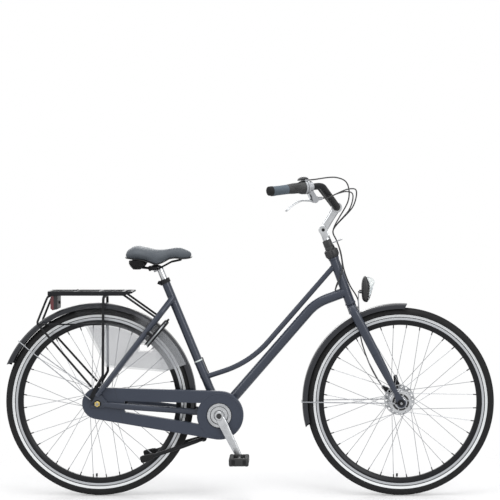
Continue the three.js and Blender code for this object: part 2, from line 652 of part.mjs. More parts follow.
function flangeProfile(hub, leftEnd, rightEnd) {
  const { rightFlange: right, leftFlange: left, flangeThickness, shellRadius, flangeRadius } = hub;
  const half = flangeThickness / 2;
  return [
    [0, rightEnd[1]], [rightEnd[0], rightEnd[1]], [rightEnd[0], right - half],
    [flangeRadius, right - half], [flangeRadius, right + half], [shellRadius, right + half],
    [shellRadius, left - half], [flangeRadius, left - half], [flangeRadius, left + half],
    [leftEnd[0], left + half], [leftEnd[0], leftEnd[1]], [0, leftEnd[1]],
  ];
}
frontHub.profile = flangeProfile(frontHub, [frontHub.drumRadius, frontHub.drumEnd], [frontHub.capRadius, frontHub.capEnd]);

// The cooling disc: a flat ring with a row of slots, carried by the drum.
function makeCoolingDisc(hub) {
  const { discAt, discThickness, discRadius, drumRadius, discInner, vents, ventWidth } = hub;
  const ring = turned([
    [drumRadius / 2, discAt], [discRadius, discAt],
    [discRadius, discAt + discThickness], [drumRadius / 2, discAt + discThickness],
    [drumRadius / 2, discAt],
  ], at(0, 0, 0), Y_AXIS, 20);
  const slots = Array.from({ length: vents }, (_, i) => {
    const turn = (360 * i) / vents;
    const middle = along(at(0, discAt + discThickness / 2, 0), heading(turn), (discRadius + discInner) / 2);
    return block(middle, (discRadius - discInner) * 0.6, discThickness + 2 * OVERRUN, ventWidth, turn);
  });
  return cut(ring, slots);
}

// Rear hub: a gear hub shell with the driver on the right and the brake drum on the left.

const rearHub = {
  shellRadius: 33, flangeRadius: 44, flangeThickness: 3, rightFlange: -25, leftFlange: 25,
  driverRadius: 17, driverEnd: -48, drumRadius: 27, drumEnd: 42, holeInset: 3, lacing: 52, spokeLayer: 1.9,
};
rearHub.profile = flangeProfile(rearHub, [rearHub.drumRadius, rearHub.drumEnd], [rearHub.driverRadius, rearHub.driverEnd]);

function addWheel(name, centre, hub, extras) {
  const wheel = new THREE.Group();
  wheel.position.copy(centre);
  bicycle.add(wheel);
  piece(`${name}_rim`, makeRim(), BLACK_METAL, wheel);
  piece(`${name}_tyre`, makeTyre(), RUBBER, wheel);
  piece(`${name}_hub`, makeHub(hub, extras), STEEL, wheel);
}
addWheel('front', frontAxle, frontHub, [makeCoolingDisc(frontHub)]);
addWheel('rear', rearAxle, rearHub, []);

// Axles: a rod through the hub with a locknut inside each dropout and an axle nut outside it.

const axleParts = { locknut: 8.5, nutAcross: 11, nut: 8, washer: 13, washerThickness: 2, stub: 6 };

function makeAxle(centre, spacing, plateThickness, leftStop, rightStop) {
  const inner = spacing - SEAT_GAP;
  const outer = spacing + plateThickness + SEAT_GAP;
  const { locknut, nutAcross, nut, washer, washerThickness, stub } = axleParts;
  const rod = AXLE_DIAMETER / 2;
  const half = (stop) => [
    [rod, stop], [locknut, stop], [locknut, inner], [rod, inner], [rod, outer], [washer, outer],
    [washer, outer + washerThickness], [nutAcross, outer + washerThickness],
    [nutAcross, outer + washerThickness + nut], [rod, outer + washerThickness + nut],
    [rod, outer + washerThickness + nut + stub], [0, outer + washerThickness + nut + stub],
  ];
  const right = half(rightStop).map(([r, y]) => [r, -y]).reverse();
  return turned([...right, ...half(leftStop)], centre, Y_AXIS, 6);
}
// Hub brakes: a fixed plate closing each drum, with a reaction arm to the frame and the cable's arm.
// Each arm's end is given as [ahead, above] of the axle.

const frontBrake = {
  outer: 49.3, radius: 30, plateEnd: 45.2, boss: 13, reaction: [-14.75, 86], reactionEnd: 42.8, cableEnd: 45.2,
  cable: [-59.25, 47], cableStart: 42, armRoot: 15, armTip: 7.5,
};
const rearBrake = {
  outer: 61.7, radius: 44, plateEnd: 48, boss: 14, reaction: [88.75, -9], reactionEnd: 52, cableEnd: 56,
  cable: [60.75, -43], cableStart: 51.5, armRoot: 14, armTip: 7.5,
};

const armEnd = (centre, [ahead, above]) => at(centre.x + ahead, 0, centre.z + above);

function makeBrake(hub, centre, brake) {
  const start = hub.drumEnd + SEAT_GAP;
  const { radius, plateEnd, boss, outer, reaction, reactionEnd, cable: pull, cableStart, cableEnd } = brake;
  const { armRoot, armTip } = brake;
  const body = turned([
    [0, start], [radius, start], [radius, plateEnd], [boss, plateEnd], [boss, outer], [0, outer],
  ], centre, Y_AXIS, 12);
  const reactionArm = plate(strap(centre, armRoot, armEnd(centre, reaction), armTip), start, reactionEnd);
  const cableArm = plate(strap(centre, armRoot, armEnd(centre, pull), armTip), cableStart, cableEnd);
  const bore = AXLE_DIAMETER / 2 + SEAT_GAP;
  const hole = turned([
    [0, start - OVERRUN], [bore, start - OVERRUN], [bore, outer + OVERRUN], [0, outer + OVERRUN],
  ], centre, Y_AXIS, 6);
  return { body: joined(body, reactionArm, cableArm), hole };
}
const frontBrakeBody = makeBrake(frontHub, frontAxle, frontBrake);
piece('front_brake', cut(frontBrakeBody.body, frontBrakeBody.hole), BARE_METAL);

// The rear reaction arm reaches out to the chain stay.
const rearBrakeBody = makeBrake(rearHub, rearAxle, rearBrake);
const stayInner = stayOutside - chainStay.wide / 2;
const clipMiddle = armEnd(rearAxle, rearBrake.reaction).setY((rearBrake.reactionEnd + stayInner) / 2 - OVERRUN);
const rearClip = block(clipMiddle, rearBrake.armRoot, stayInner - rearBrake.reactionEnd + OVERRUN, rearBrake.armRoot);
piece('rear_brake', cut(joined(rearBrakeBody.body, rearClip), rearBrakeBody.hole), BARE_METAL);

// Drive: chaincase, chain, sprocket, cranks and pedals, all set out from the chain's pitch circles.

const pitchRadius = (teeth) => CHAIN_PITCH / (2 * Math.sin(Math.PI / teeth));
const sprocketRadius = pitchRadius(SPROCKET_TEETH);
const chainringRadius = pitchRadius(CHAINRING_TEETH);

// The outline round the two chain wheels at chosen radii.
const belt = (rearRadius, frontRadius) => strap(rearAxle, rearRadius, bracketCentre, frontRadius, 13);

// Full chaincase: a thin moulded shell with a window between its two arms.

const chaincase = {
  rearRadius: 58, frontRadius: 89.5, width: 21, wall: 1.6, upperArm: 46, lowerArm: 43, windowRear: 98,
  windowDisc: 80, crankOpening: 46.5, axleOpening: 24, collar: 19, collarBore: 15, hubOpening: 30, nutOpening: 12,
};
const caseInside = CHAIN_LINE - chaincase.width / 2;
const caseOutside = CHAIN_LINE + chaincase.width / 2;

// The window between the arms, drawn in from its edges by a margin.
function windowOutline(margin) {
  const { upperArm, lowerArm, windowDisc, windowRear, rearRadius, frontRadius } = chaincase;
  const share = (x) => (x - rearAxle.x) / CHAINSTAY_REACH;
  const top = (x) => rearAxle.z + rearRadius
    + (bracketCentre.z + frontRadius - rearAxle.z - rearRadius) * share(x) - upperArm - margin;
  const foot = (x) => rearAxle.z - rearRadius
    + (bracketCentre.z - frontRadius - rearAxle.z + rearRadius) * share(x) + lowerArm + margin;
  const rear = rearAxle.x + windowRear + margin;
  const reach = windowDisc + margin;
  const front = bracketCentre.x - reach;
  const highest = THREE.MathUtils.radToDeg(Math.asin((top(front) - bracketCentre.z) / reach));
  const lowest = THREE.MathUtils.radToDeg(Math.asin((foot(front) - bracketCentre.z) / reach));
  return [
    [rear, top(rear)], [rear, foot(rear)],
    ...arc(bracketCentre, reach, 180 - lowest, 180 - highest, 6),
  ];
}

function makeChaincase() {
  const { rearRadius, frontRadius, wall, crankOpening, axleOpening } = chaincase;
  const { collar, collarBore, hubOpening, nutOpening } = chaincase;
  const shell = plate(belt(rearRadius, frontRadius), -caseInside, -caseOutside);
  const cavity = cut(
    plate(belt(rearRadius - wall, frontRadius - wall), -caseInside - wall, -caseOutside + wall),
    plate(windowOutline(-wall), -caseInside, -caseOutside),
  );
  const open = plate(windowOutline(0), -caseInside + OVERRUN, -caseOutside - OVERRUN);
  const shellEnd = BRACKET_SHELL_WIDTH / 2 + SEAT_GAP;
  const hole = (radius, from, to, centre) =>
    turned([[0, -to], [radius, -to], [radius, -from], [0, -from]], centre, Y_AXIS, 20);
  const seat = hole(collar, shellEnd, caseInside + wall / 2, bracketCentre);
  return cut(
    joined(cut(shell, cavity, open), seat),
    hole(crankOpening, caseOutside - wall - OVERRUN, caseOutside + OVERRUN, bracketCentre),
    hole(axleOpening - collarBore / 2, caseInside + wall / 2, caseInside + wall + OVERRUN, bracketCentre),
    hole(collarBore, shellEnd - OVERRUN, caseInside + wall + OVERRUN, bracketCentre),
    hole(hubOpening, caseInside - OVERRUN, caseInside + wall + OVERRUN, rearAxle),
    hole(nutOpening, caseOutside - wall - OVERRUN, caseOutside + OVERRUN, rearAxle),
  );
}
piece('chaincase', makeChaincase(), CASE_PLASTIC);

// Chain: a closed band that wraps both toothed wheels at their pitch circles.

const chain = { width: 8, above: 4, inset: 0.3, tipInset: 1.3, toothDepth: 4.5, plateThickness: 2.4 };

function makeChain() {
  const half = chain.width / 2;
  return plate(
    belt(sprocketRadius + chain.above, chainringRadius + chain.above),
    -CHAIN_LINE + half,
    -CHAIN_LINE - half,
    [belt(sprocketRadius - chain.inset, chainringRadius - chain.inset)],
  );
}
piece('chain', makeChain(), STEEL);

// A toothed plate on the chain line: one tip and one root for each tooth.
function toothedPlate(centre, teeth) {
  const tip = pitchRadius(teeth) - chain.tipInset;
  const outline = Array.from({ length: 2 * teeth }, (_, i) => {
    const spot = along(centre, heading((180 * i) / teeth), i % 2 === 0 ? tip : tip - chain.toothDepth);
    return [spot.x, spot.z];
  });
  const half = chain.plateThickness / 2;
  return plate(outline, -CHAIN_LINE + half, -CHAIN_LINE - half);
}

// Rear sprocket: the toothed plate on its boss, free to turn on the axle.

const sprocketBoss = { radius: 14, end: 61.7 };

function makeSprocket() {
  const inner = -rearHub.driverEnd + SEAT_GAP;
  const bore = AXLE_DIAMETER / 2 + SEAT_GAP;
  const { radius, end } = sprocketBoss;
  const boss = turned([[0, -end], [radius, -end], [radius, -inner], [0, -inner]], rearAxle);
  const hole = turned([
    [0, -end - OVERRUN], [bore, -end - OVERRUN], [bore, -inner + OVERRUN], [0, -inner + OVERRUN],
  ], rearAxle);
  return cut(joined(boss, toothedPlate(rearAxle, SPROCKET_TEETH)), hole);
}
piece('rear_sprocket', makeSprocket(), STEEL);
piece('rear_axle', makeAxle(
  rearAxle, rearDropout, dropout.thickness, rearBrake.outer + SEAT_GAP, sprocketBoss.end + SEAT_GAP,
), PASSIVATED);

// Cranks: tapered arms with round eyes. The right one carries the spider and chainring.

const crank = {
  armInner: 69.5, armThickness: 13, topWidth: 30, footWidth: 21, bossRadius: 17, bossEnd: 84,
  eyeRadius: 12.5, eyeInner: 71, eyeEnd: 86, axleEnd: 76, lean: 3,
  spiderInner: 50, hubRadius: 20, ringRoot: 60, dishRadius: 44.5, dishInner: 33, dishFloor: 62.5, dishFace: 66.5,
};
const pedalCentreRight = along(bracketCentre, heading(CRANK_ANGLE), CRANK_LENGTH);
const pedalCentreLeft = along(bracketCentre, heading(CRANK_ANGLE + 180), CRANK_LENGTH);

function makeCrankArm(side, eye) {
  const { armInner, armThickness, topWidth, footWidth, lean } = crank;
  const axis = eye.clone().sub(bracketCentre).normalize();
  const up = axis.clone().cross(Y_AXIS).normalize();
  const middle = armInner + armThickness / 2;
  const station = (share, y, width) => ({
    spot: along(bracketCentre, axis, CRANK_LENGTH * share).setY(side * y),
    across: Y_AXIS.clone().multiplyScalar(side),
    up,
    wide: armThickness / 2,
    high: width / 2,
  });
  const arm = sweep(round(8, Math.SQRT2 * 0.78), [
    station(0, middle, topWidth),
    station(0.25, middle, topWidth),
    station(0.6, middle + lean / 2, (topWidth + footWidth) / 2),
    station(1, middle + lean, footWidth),
  ]);
  const ends = (centre, radius, from, to) =>
    turned([[0, side * from], [radius, side * from], [radius, side * to], [0, side * to]], centre);
  const pedalBore = AXLE_DIAMETER / 2 + SEAT_GAP;
  return cut(
    joined(
      arm,
      ends(bracketCentre, crank.bossRadius, armInner - OVERRUN, crank.bossEnd),
      ends(eye, crank.eyeRadius, crank.eyeInner, crank.eyeEnd),
    ),
    ends(eye, pedalBore, crank.eyeInner - OVERRUN, crank.eyeEnd + OVERRUN),
  );
}

function makeRightCrank() {
  const { hubRadius, spiderInner, ringRoot, dishRadius, dishInner, dishFloor, dishFace, armInner } = crank;
  const half = chain.plateThickness / 2;
  const spider = turned([
    [0, -armInner], [hubRadius, -armInner], [hubRadius, -dishFloor], [dishInner, -dishFloor],
    [dishInner, -dishFace], [dishRadius, -dishFace], [dishRadius, -CHAIN_LINE - half],
    [ringRoot, -CHAIN_LINE - half], [ringRoot, -CHAIN_LINE + half], [hubRadius, -CHAIN_LINE + half],
    [hubRadius, -spiderInner], [0, -spiderInner],
  ], bracketCentre, Y_AXIS, 16);
  const boreRadius = seatTube.axleRadius + SEAT_GAP;
  const bore = turned([
    [0, -crank.axleEnd - SEAT_GAP], [boreRadius, -crank.axleEnd - SEAT_GAP], [boreRadius, 0], [0, 0],
  ], bracketCentre);
  const parts = joined(makeCrankArm(-1, pedalCentreRight), spider, toothedPlate(bracketCentre, CHAINRING_TEETH));
  return cut(parts, bore);
}
piece('crank_right', makeRightCrank(), BARE_METAL);

function makeLeftCrank() {
  const { armInner, axleEnd } = crank;
  const axle = turned([
    [0, -axleEnd], [seatTube.axleRadius, -axleEnd], [seatTube.axleRadius, armInner], [0, armInner],
  ], bracketCentre);
  return joined(makeCrankArm(1, pedalCentreLeft), axle);
}
piece('crank_left', makeLeftCrank(), BARE_METAL);

// Pedals: a tread bar at the front and the rear, end plates, and a barrel on the pedal axle.

const pedal = {
  length: 72, width: 92, height: 25, treadLength: 17, plateThickness: 5, barrel: 11,
  inner: 90, collar: 8, restTilt: { right: 0, left: 90 + SEAT_TUBE_LEAN },
};

function makePedal(name, centre) {
  const side = sides[name];
  const middle = side * (pedal.inner + pedal.width / 2);
  const turn = pedal.restTilt[name];
  const forward = heading(turn);
  const spot = (distance, y) => along(centre, forward, distance).setY(y);
  const offset = (pedal.length - pedal.treadLength) / 2;
  const treads = [-1, 1].map((end) =>
    block(spot(end * offset, middle), pedal.treadLength, pedal.width, pedal.height, turn));
  const plates = [-1, 1].map((end) => block(
    spot(0, middle + (end * (pedal.width - pedal.plateThickness)) / 2),
    pedal.length - pedal.treadLength, pedal.plateThickness, pedal.height * 0.7, turn,
  ));
  const rod = AXLE_DIAMETER / 2;
  const collarStart = crank.eyeEnd + SEAT_GAP;
  const axle = turned([
    [0, side * (crank.eyeInner + OVERRUN)], [rod, side * (crank.eyeInner + OVERRUN)], [rod, side * collarStart],
    [pedal.collar, side * collarStart], [pedal.collar, side * pedal.inner], [pedal.barrel, side * pedal.inner],
    [pedal.barrel, side * (pedal.inner + pedal.width)], [0, side * (pedal.inner + pedal.width)],
  ], centre);
  return joined(axle, treads, plates);
}
piece('pedal_right', makePedal('right', pedalCentreRight), BLACK_PLASTIC);
piece('pedal_left', makePedal('left', pedalCentreLeft), BLACK_PLASTIC);

// Steering: fork, headset, stem, front brake and lamp.

const steererRise = 30;
const steererTop = along(headTubeTop, steeringAxis, steererRise);

// Fork: a steerer, a crown and two straight oval legs that taper to plate ends.

const fork = {
  crownGap: 1, crownHeight: 34, crownLength: 36, crownWidth: 62, legSide: 46, footSide: 53.2,
  legTop: 34, legTopWidth: 19, legFoot: 20, legFootWidth: 11, plateThickness: 5,
  plateLength: 36, plateAbove: 40, plateBelow: 18, plateLap: 5,
};
const crownTop = along(headTubeBottom, steeringAxis, -fork.crownGap);
const crownMiddle = along(crownTop, steeringAxis, -fork.crownHeight / 2);
const legAxis = crownMiddle.clone().sub(frontAxle).normalize();
const legLean = THREE.MathUtils.radToDeg(Math.atan2(legAxis.z, legAxis.x));
const legLength = crownMiddle.distanceTo(frontAxle);

// A point on a fork leg's middle line, by its share of the way up from the axle.
function forkPoint(share, side) {
  const y = THREE.MathUtils.lerp(fork.footSide, fork.legSide, Math.min(1, share / 0.6));
  return along(frontAxle, legAxis, legLength * share).setY(side * y);
}

function makeForkLeg(side) {
  const sizes = [
    [(fork.plateAbove - fork.plateLap) / legLength, fork.legFootWidth, fork.legFoot], [0.3, fork.legFootWidth * 1.35, fork.legFoot * 1.45],
    [0.45, fork.legTopWidth * 0.95, fork.legTop * 0.95], [0.75, fork.legTopWidth, fork.legTop],
    [0.97, fork.legTopWidth, fork.legTop],
  ];
  const points = sizes.map(([share]) => forkPoint(share, side));
  const halves = sizes.map(([, wide, high]) => [wide / 2, high / 2]);
  const shoulder = at(crownMiddle.x, side * fork.crownWidth * 0.38, crownMiddle.z);
  const leg = sweep(round(SMALL_FACETS), stationsOn(points, halves));
  const foot = frontDropout;
  const end = plate([
    ...arc(frontAxle, fork.plateBelow, legLean + 100, legLean + 260, 6),
    ...[-1, 1].map((edge) => {
      const spot = along(along(frontAxle, legAxis, fork.plateAbove), heading(legLean + 90), edge * fork.plateLength / 2);
      return [spot.x, spot.z];
    }),
  ], side * foot, side * (foot + fork.plateThickness));
  const bore = turned([
    [0, side * (foot - OVERRUN)], [AXLE_DIAMETER / 2 + SEAT_GAP, side * (foot - OVERRUN)],
    [AXLE_DIAMETER / 2 + SEAT_GAP, side * (foot + fork.plateThickness + OVERRUN)],
    [0, side * (foot + fork.plateThickness + OVERRUN)],
  ], frontAxle);
  const bend = sweep(round(SMALL_FACETS), [
    { spot: shoulder, across: legAxis.clone().cross(Y_AXIS), up: legAxis, wide: fork.legTop / 2, high: fork.legTop / 2 },
    {
      spot: forkPoint(0.955, side), across: legAxis.clone().cross(Y_AXIS), up: legAxis,
      wide: fork.legTop / 2, high: fork.legTop / 2.1,
    },
  ]);
  return joined(leg, bend, cut(end, bore));
}

function makeFork() {
  const crown = turned([
    [0, 0], [fork.crownLength / 2, 0], [fork.crownLength / 2, fork.crownHeight], [0, fork.crownHeight],
  ], along(crownTop, steeringAxis, -fork.crownHeight), steeringAxis);
  const bridge = block(crownMiddle, fork.crownLength * 0.9, fork.crownWidth, fork.crownHeight * 0.8, HEAD_TUBE_LEAN);
  const steerer = bar(crownMiddle, steererTop, STEERER_DIAMETER / 2);
  return joined(crown, bridge, steerer, makeForkLeg(-1), makeForkLeg(1));
}
piece('fork', makeFork(), PAINT);

piece('front_axle', makeAxle(
  frontAxle, frontDropout, fork.plateThickness, frontBrake.outer + SEAT_GAP, SEAT_GAP - frontHub.capEnd,
), BLACK_METAL);

// Headset top: the knurled adjuster and the clamping collar above it, with the cable guide's wire loop.

const headset = {
  foot: 0.3, adjusterRadius: 26, adjusterHeight: 33, flutes: 6, fluteRadius: 5, neckRadius: 18.6,
  height: 68, wire: 2, loopReach: 46, loopHalf: 12, loopAt: 52,
};

function makeHeadset() {
  const { foot, adjusterRadius, adjusterHeight, neckRadius, height, flutes, fluteRadius } = headset;
  const base = along(headTubeTop, steeringAxis, foot);
  const body = turned([
    [0, 0], [adjusterRadius * 0.8, 0], [adjusterRadius, adjusterHeight * 0.25],
    [adjusterRadius, adjusterHeight * 0.85], [neckRadius, adjusterHeight], [neckRadius, height], [0, height],
  ], base, steeringAxis, 12);
  const bore = bar(
    along(base, steeringAxis, -OVERRUN),
    along(base, steeringAxis, height + OVERRUN),
    boreFor(STEERER_DIAMETER / 2),
  );
  const front = steeringAxis.clone().cross(Y_AXIS).normalize();
  const grooves = Array.from({ length: flutes }, (_, i) => {
    const direction = front.clone().applyAxisAngle(steeringAxis, (2 * Math.PI * i) / flutes);
    const spot = along(base, direction, adjusterRadius + fluteRadius / 3);
    return bar(spot, along(spot, steeringAxis, adjusterHeight * 0.9), fluteRadius, fluteRadius, 4);
  });
  const forward = front.x > 0 ? front : front.clone().negate();
  const loopBase = along(base, steeringAxis, headset.loopAt);
  const corner = (reach, side) => along(loopBase, forward, reach).setY(side * headset.loopHalf);
  const root = Math.sqrt(neckRadius ** 2 - headset.loopHalf ** 2) - headset.wire;
  const loop = pipe([
    corner(root, 1), corner(headset.loopReach, 1), corner(headset.loopReach, -1), corner(root, -1),
  ], 6, headset.wire, 6);
  return joined(cut(body, bore, grooves), cut(loop, bore));
}
piece('headset_adjuster', makeHeadset(), BLACK_PLASTIC);

// Stem post: the quill in the headset, rising to the fork of the tilting joint.

const stem = {
  pivotAbove: 41, quillInset: 1, postRadius: 15, cheekRadius: 17, cheekInner: 9.3, cheekOuter: 17,
  pin: 6, clampRadius: 20, clampWidth: 44, armHigh: 15, clampAhead: 50.156, clampAbove: 83.221,
};
const headsetTop = along(headTubeTop, steeringAxis, headset.height + headset.foot);
const stemPivot = along(headsetTop, steeringAxis, stem.pivotAbove);
const barMiddle = at(stemPivot.x + stem.clampAhead, 0, stemPivot.z + stem.clampAbove);

function makeStemPost() {
  const { cheekInner, cheekOuter, cheekRadius, postRadius, quillInset, pin } = stem;
  const quill = bar(along(steererTop, steeringAxis, quillInset), headsetTop, STEERER_DIAMETER / 2);
  const post = bar(along(headsetTop, steeringAxis, SEAT_GAP), along(stemPivot, steeringAxis, -cheekRadius * 1.5), postRadius);
  const neck = bar(headsetTop.clone(), along(headsetTop, steeringAxis, 2 * SEAT_GAP), STEERER_DIAMETER / 2);
  const cheeks = [-1, 1].map((side) => joined(
    turned([
      [0, side * cheekInner], [cheekRadius, side * cheekInner],
      [cheekRadius, side * cheekOuter], [0, side * cheekOuter],
    ], stemPivot),
    block(
      along(stemPivot, steeringAxis, -cheekRadius * 0.8).setY((side * (cheekInner + cheekOuter)) / 2),
      cheekRadius * 1.7, cheekOuter - cheekInner, cheekRadius * 1.6, HEAD_TUBE_LEAN,
    ),
  ));
  const base = block(
    along(stemPivot, steeringAxis, -cheekRadius * 1.6),
    cheekRadius * 1.7, 2 * cheekOuter, cheekRadius * 0.5, HEAD_TUBE_LEAN,
  );
  const half = cheekOuter + OVERRUN;
  const pinSpace = turned([[0, -half], [pin + SEAT_GAP, -half], [pin + SEAT_GAP, half], [0, half]], stemPivot);
  return cut(joined(quill, neck, post, cheeks, base), pinSpace);
}
piece('stem_post', makeStemPost(), BARE_METAL);

// Stem arm: a tongue between the post's cheeks with the pivot pin, rising to the handlebar clamp.

function makeStemArm() {
  const { cheekInner, cheekOuter, cheekRadius, pin, clampRadius, clampWidth, armHigh } = stem;
  const inner = cheekInner - SEAT_GAP;
  const tongue = turned([[0, -inner], [cheekRadius, -inner], [cheekRadius, inner], [0, inner]], stemPivot);
  const pivotPin = turned([
    [0, -cheekOuter - pin / 2], [pin, -cheekOuter - pin / 2], [pin, cheekOuter + pin / 2], [0, cheekOuter + pin / 2],
  ], stemPivot);
  const axis = barMiddle.clone().sub(stemPivot).normalize();
  const reach = barMiddle.distanceTo(stemPivot);
  const up = axis.clone().cross(Y_AXIS).normalize();
  const station = (share, wide, high) => ({ spot: along(stemPivot, axis, reach * share), across: Y_AXIS, up, wide, high });
  const arm = sweep(round(8), [
    station(0, inner * 0.98, armHigh), station(0.22, inner * 0.98, armHigh * 1.02),
    station(0.5, armHigh * 1.1, armHigh), station(1, armHigh * 1.25, armHigh * 1.1),
  ]);
  const half = clampWidth / 2;
  const clampBody = turned([[0, -half], [clampRadius, -half], [clampRadius, half], [0, half]], barMiddle);
  const bore = turned([
    [0, -half - OVERRUN], [boreFor(HANDLEBAR_DIAMETER / 2), -half - OVERRUN],
    [boreFor(HANDLEBAR_DIAMETER / 2), half + OVERRUN], [0, half + OVERRUN],
  ], barMiddle);
  return cut(joined(tongue, pivotPin, arm, clampBody), bore);
}
piece('stem_arm', makeStemArm(), BARE_METAL);

// Handlebar: out from the clamp, up, and swept back to the grips.

const handlebar = {
  straight: 62, shoulderBack: 60, shoulderSide: 186, shoulderAbove: 80, endBack: 247, endAbove: 59, bend: 38,
};
const barEnd = (side) =>
  at(barMiddle.x - handlebar.endBack, (side * HANDLEBAR_WIDTH) / 2, barMiddle.z + handlebar.endAbove);
const barShoulder = (side) =>
  at(barMiddle.x - handlebar.shoulderBack, side * handlebar.shoulderSide, barMiddle.z + handlebar.shoulderAbove);
const barCorner = (side) => at(barMiddle.x, side * handlebar.straight, barMiddle.z);
piece('handlebar', pipe(
  [barEnd(1), barShoulder(1), barCorner(1), barCorner(-1), barShoulder(-1), barEnd(-1)],
  handlebar.bend,
  HANDLEBAR_DIAMETER / 2,
  12,
), BLACK_METAL);

// Everything on a grip is set out from the bar's end inward, along the straight end of the bar.
const gripAxis = (side) => barShoulder(side).sub(barEnd(side)).normalize();
const onBar = (side, distance) => along(barEnd(side), gripAxis(side), distance);

// A sleeve on the straight end of the bar, with its bore; profile is [radius, distance from the end].
function sleeve(side, profile, facets = TUBE_FACETS) {
  const bore = boreFor(HANDLEBAR_DIAMETER / 2);
  const first = profile[0][1];
  const last = profile[profile.length - 1][1];
  return turned([[bore, first], ...profile, [bore, last], [bore, first]], barEnd(side), gripAxis(side), facets);
}

// Grips: rubber, slightly waisted, with a closed cap over the bar's end.

const grip = { radius: 16.5, waist: 15.3, cap: 4, capEdge: 3, length: { right: 76, left: 146 } };

function makeGrip(name) {
  const side = sides[name];
  const length = grip.length[name];
  const bore = boreFor(HANDLEBAR_DIAMETER / 2);
  return turned([
    [0, -grip.cap], [grip.radius - grip.capEdge, -grip.cap], [grip.radius, -grip.cap + grip.capEdge],
    [grip.radius, length * 0.2], [grip.waist, length * 0.55], [grip.radius, length],
    [bore, length], [bore, -SEAT_GAP], [0, -SEAT_GAP],
  ], barEnd(side), gripAxis(side), 12);
}
piece('grip_right', makeGrip('right'), GRIP_RUBBER);
piece('grip_left', makeGrip('left'), GRIP_RUBBER);

// Twist grip of the gear shifter, flaring to the housing inboard of it.

const twist = { length: 68, foot: 17, body: 19, flare: 24 };
const twistStart = grip.length.right + SEAT_GAP;
const twistEnd = twistStart + twist.length;
piece('shifter_grip', sleeve(-1, [
  [twist.foot, twistStart], [twist.body, twistStart + twist.length * 0.35],
  [twist.body, twistStart + twist.length * 0.7], [twist.flare, twistStart + twist.length * 0.9],
  [twist.flare, twistEnd],
]), BLACK_PLASTIC);

// Shifter housing: a metal collar with the domed gear window on top.

const housing = { length: 18, radius: 25, domeRadius: 15, domeRise: 25, domeBack: 18 };
const housingStart = twistEnd + SEAT_GAP;
const housingEnd = housingStart + housing.length;

function makeShifterHousing() {
  const ring = sleeve(-1, [[housing.radius, housingStart], [housing.radius, housingEnd]]);
  const axis = gripAxis(-1);
  const up = Z_AXIS.clone().addScaledVector(axis, -axis.z).normalize();
  const across = up.clone().cross(axis).normalize();
  const dome = sweep(round(10), [
    [-housing.domeBack, 0.35, 0.3], [-housing.domeBack * 0.5, 0.75, 0.55], [0, 1, 0.9], [housing.length * 0.8, 0.95, 0.9],
    [housing.length, 0.7, 0.5],
  ].map(([shift, wide, high]) => ({
    spot: along(onBar(-1, housingStart + shift), up, housing.domeRise),
    across,
    up,
    wide: wide * housing.domeRadius,
    high: high * housing.domeRadius * 0.6,
  })));
  const twistSpace = turned([
    [0, twistStart], [boreFor(twist.flare), twistStart], [boreFor(twist.flare), housingStart], [0, housingStart],
  ], barEnd(-1), axis);
  return joined(ring, cut(dome, twistSpace));
}
piece('shifter_housing', makeShifterHousing(), BARE_METAL);

// Brake levers: a clamp with a perch that holds the pivot, and the curved blade below the grip.

const lever = {
  clampLength: 15, clampRadius: 17.5, clampStart: 3, pivotDrop: 47, pivotInboard: 12, perchWidth: 20,
  cheek: 3, tongue: 9, perchRadius: 13, pin: 3, tip: 122, bladeWidth: 12, bladeHigh: 8, splay: 10,
};
const clampStart = housingEnd + lever.clampStart;

// The lever's frame: toward the bar's end, away from the bar, and across the blade.
function leverFrame(side) {
  const outward = gripAxis(side).negate();
  const down = at(0, 0, -1).addScaledVector(outward, outward.z).normalize();
  const sideways = down.clone().cross(outward).multiplyScalar(side).normalize();
  const away = down.clone().applyAxisAngle(outward, radians(side * lever.splay));
  const across = outward.clone().cross(away).normalize();
  const pivot = along(onBar(side, clampStart + lever.clampLength + lever.pivotInboard), away, lever.pivotDrop);
  return { outward, away, across, sideways, pivot };
}

function makeLeverBracket(side) {
  const { clampLength, clampRadius, perchRadius, perchWidth, tongue, pin, pivotInboard } = lever;
  const { outward, away, across, pivot } = leverFrame(side);
  const ring = sleeve(side, [[clampRadius, clampStart], [clampRadius, clampStart + clampLength]]);
  const half = perchWidth / 2;
  const eye = turned([[0, -half], [perchRadius, -half], [perchRadius, half], [0, half]], pivot, across, 10);
  const root = along(onBar(side, clampStart + clampLength / 2), away, clampRadius * 0.7);
  const neck = sweep(round(6, Math.SQRT2 * 0.8), [
    { spot: root, across, up: outward, wide: half, high: clampLength / 2 },
    { spot: pivot, across, up: outward, wide: half, high: perchRadius * 0.8 },
  ]);
  const barrelFoot = along(pivot, outward, -pivotInboard);
  const barrel = bar(pivot, along(barrelFoot, outward, -perchRadius * 1.6), perchRadius * 0.6, perchRadius * 0.45, 6);
  const slotHalf = tongue / 2 + SEAT_GAP;
  const slotReach = perchRadius + OVERRUN;
  const slot = sweep([[-slotHalf, -1], [slotHalf, -1], [slotHalf, 1], [-slotHalf, 1]], [
    { spot: along(pivot, away, -perchRadius - OVERRUN / 2), across, up: outward, wide: 1, high: slotReach },
    { spot: along(pivot, away, perchRadius * 2), across, up: outward, wide: 1, high: slotReach },
  ]);
  const pinSpace = turned([
    [0, -half - OVERRUN], [pin + SEAT_GAP, -half - OVERRUN], [pin + SEAT_GAP, half + OVERRUN], [0, half + OVERRUN],
  ], pivot, across, 8);
  const barSpace = bar(onBar(side, 0), onBar(side, 2 * clampStart), boreFor(HANDLEBAR_DIAMETER / 2));
  return cut(joined(ring, eye, neck, barrel), slot, pinSpace, barSpace);
}

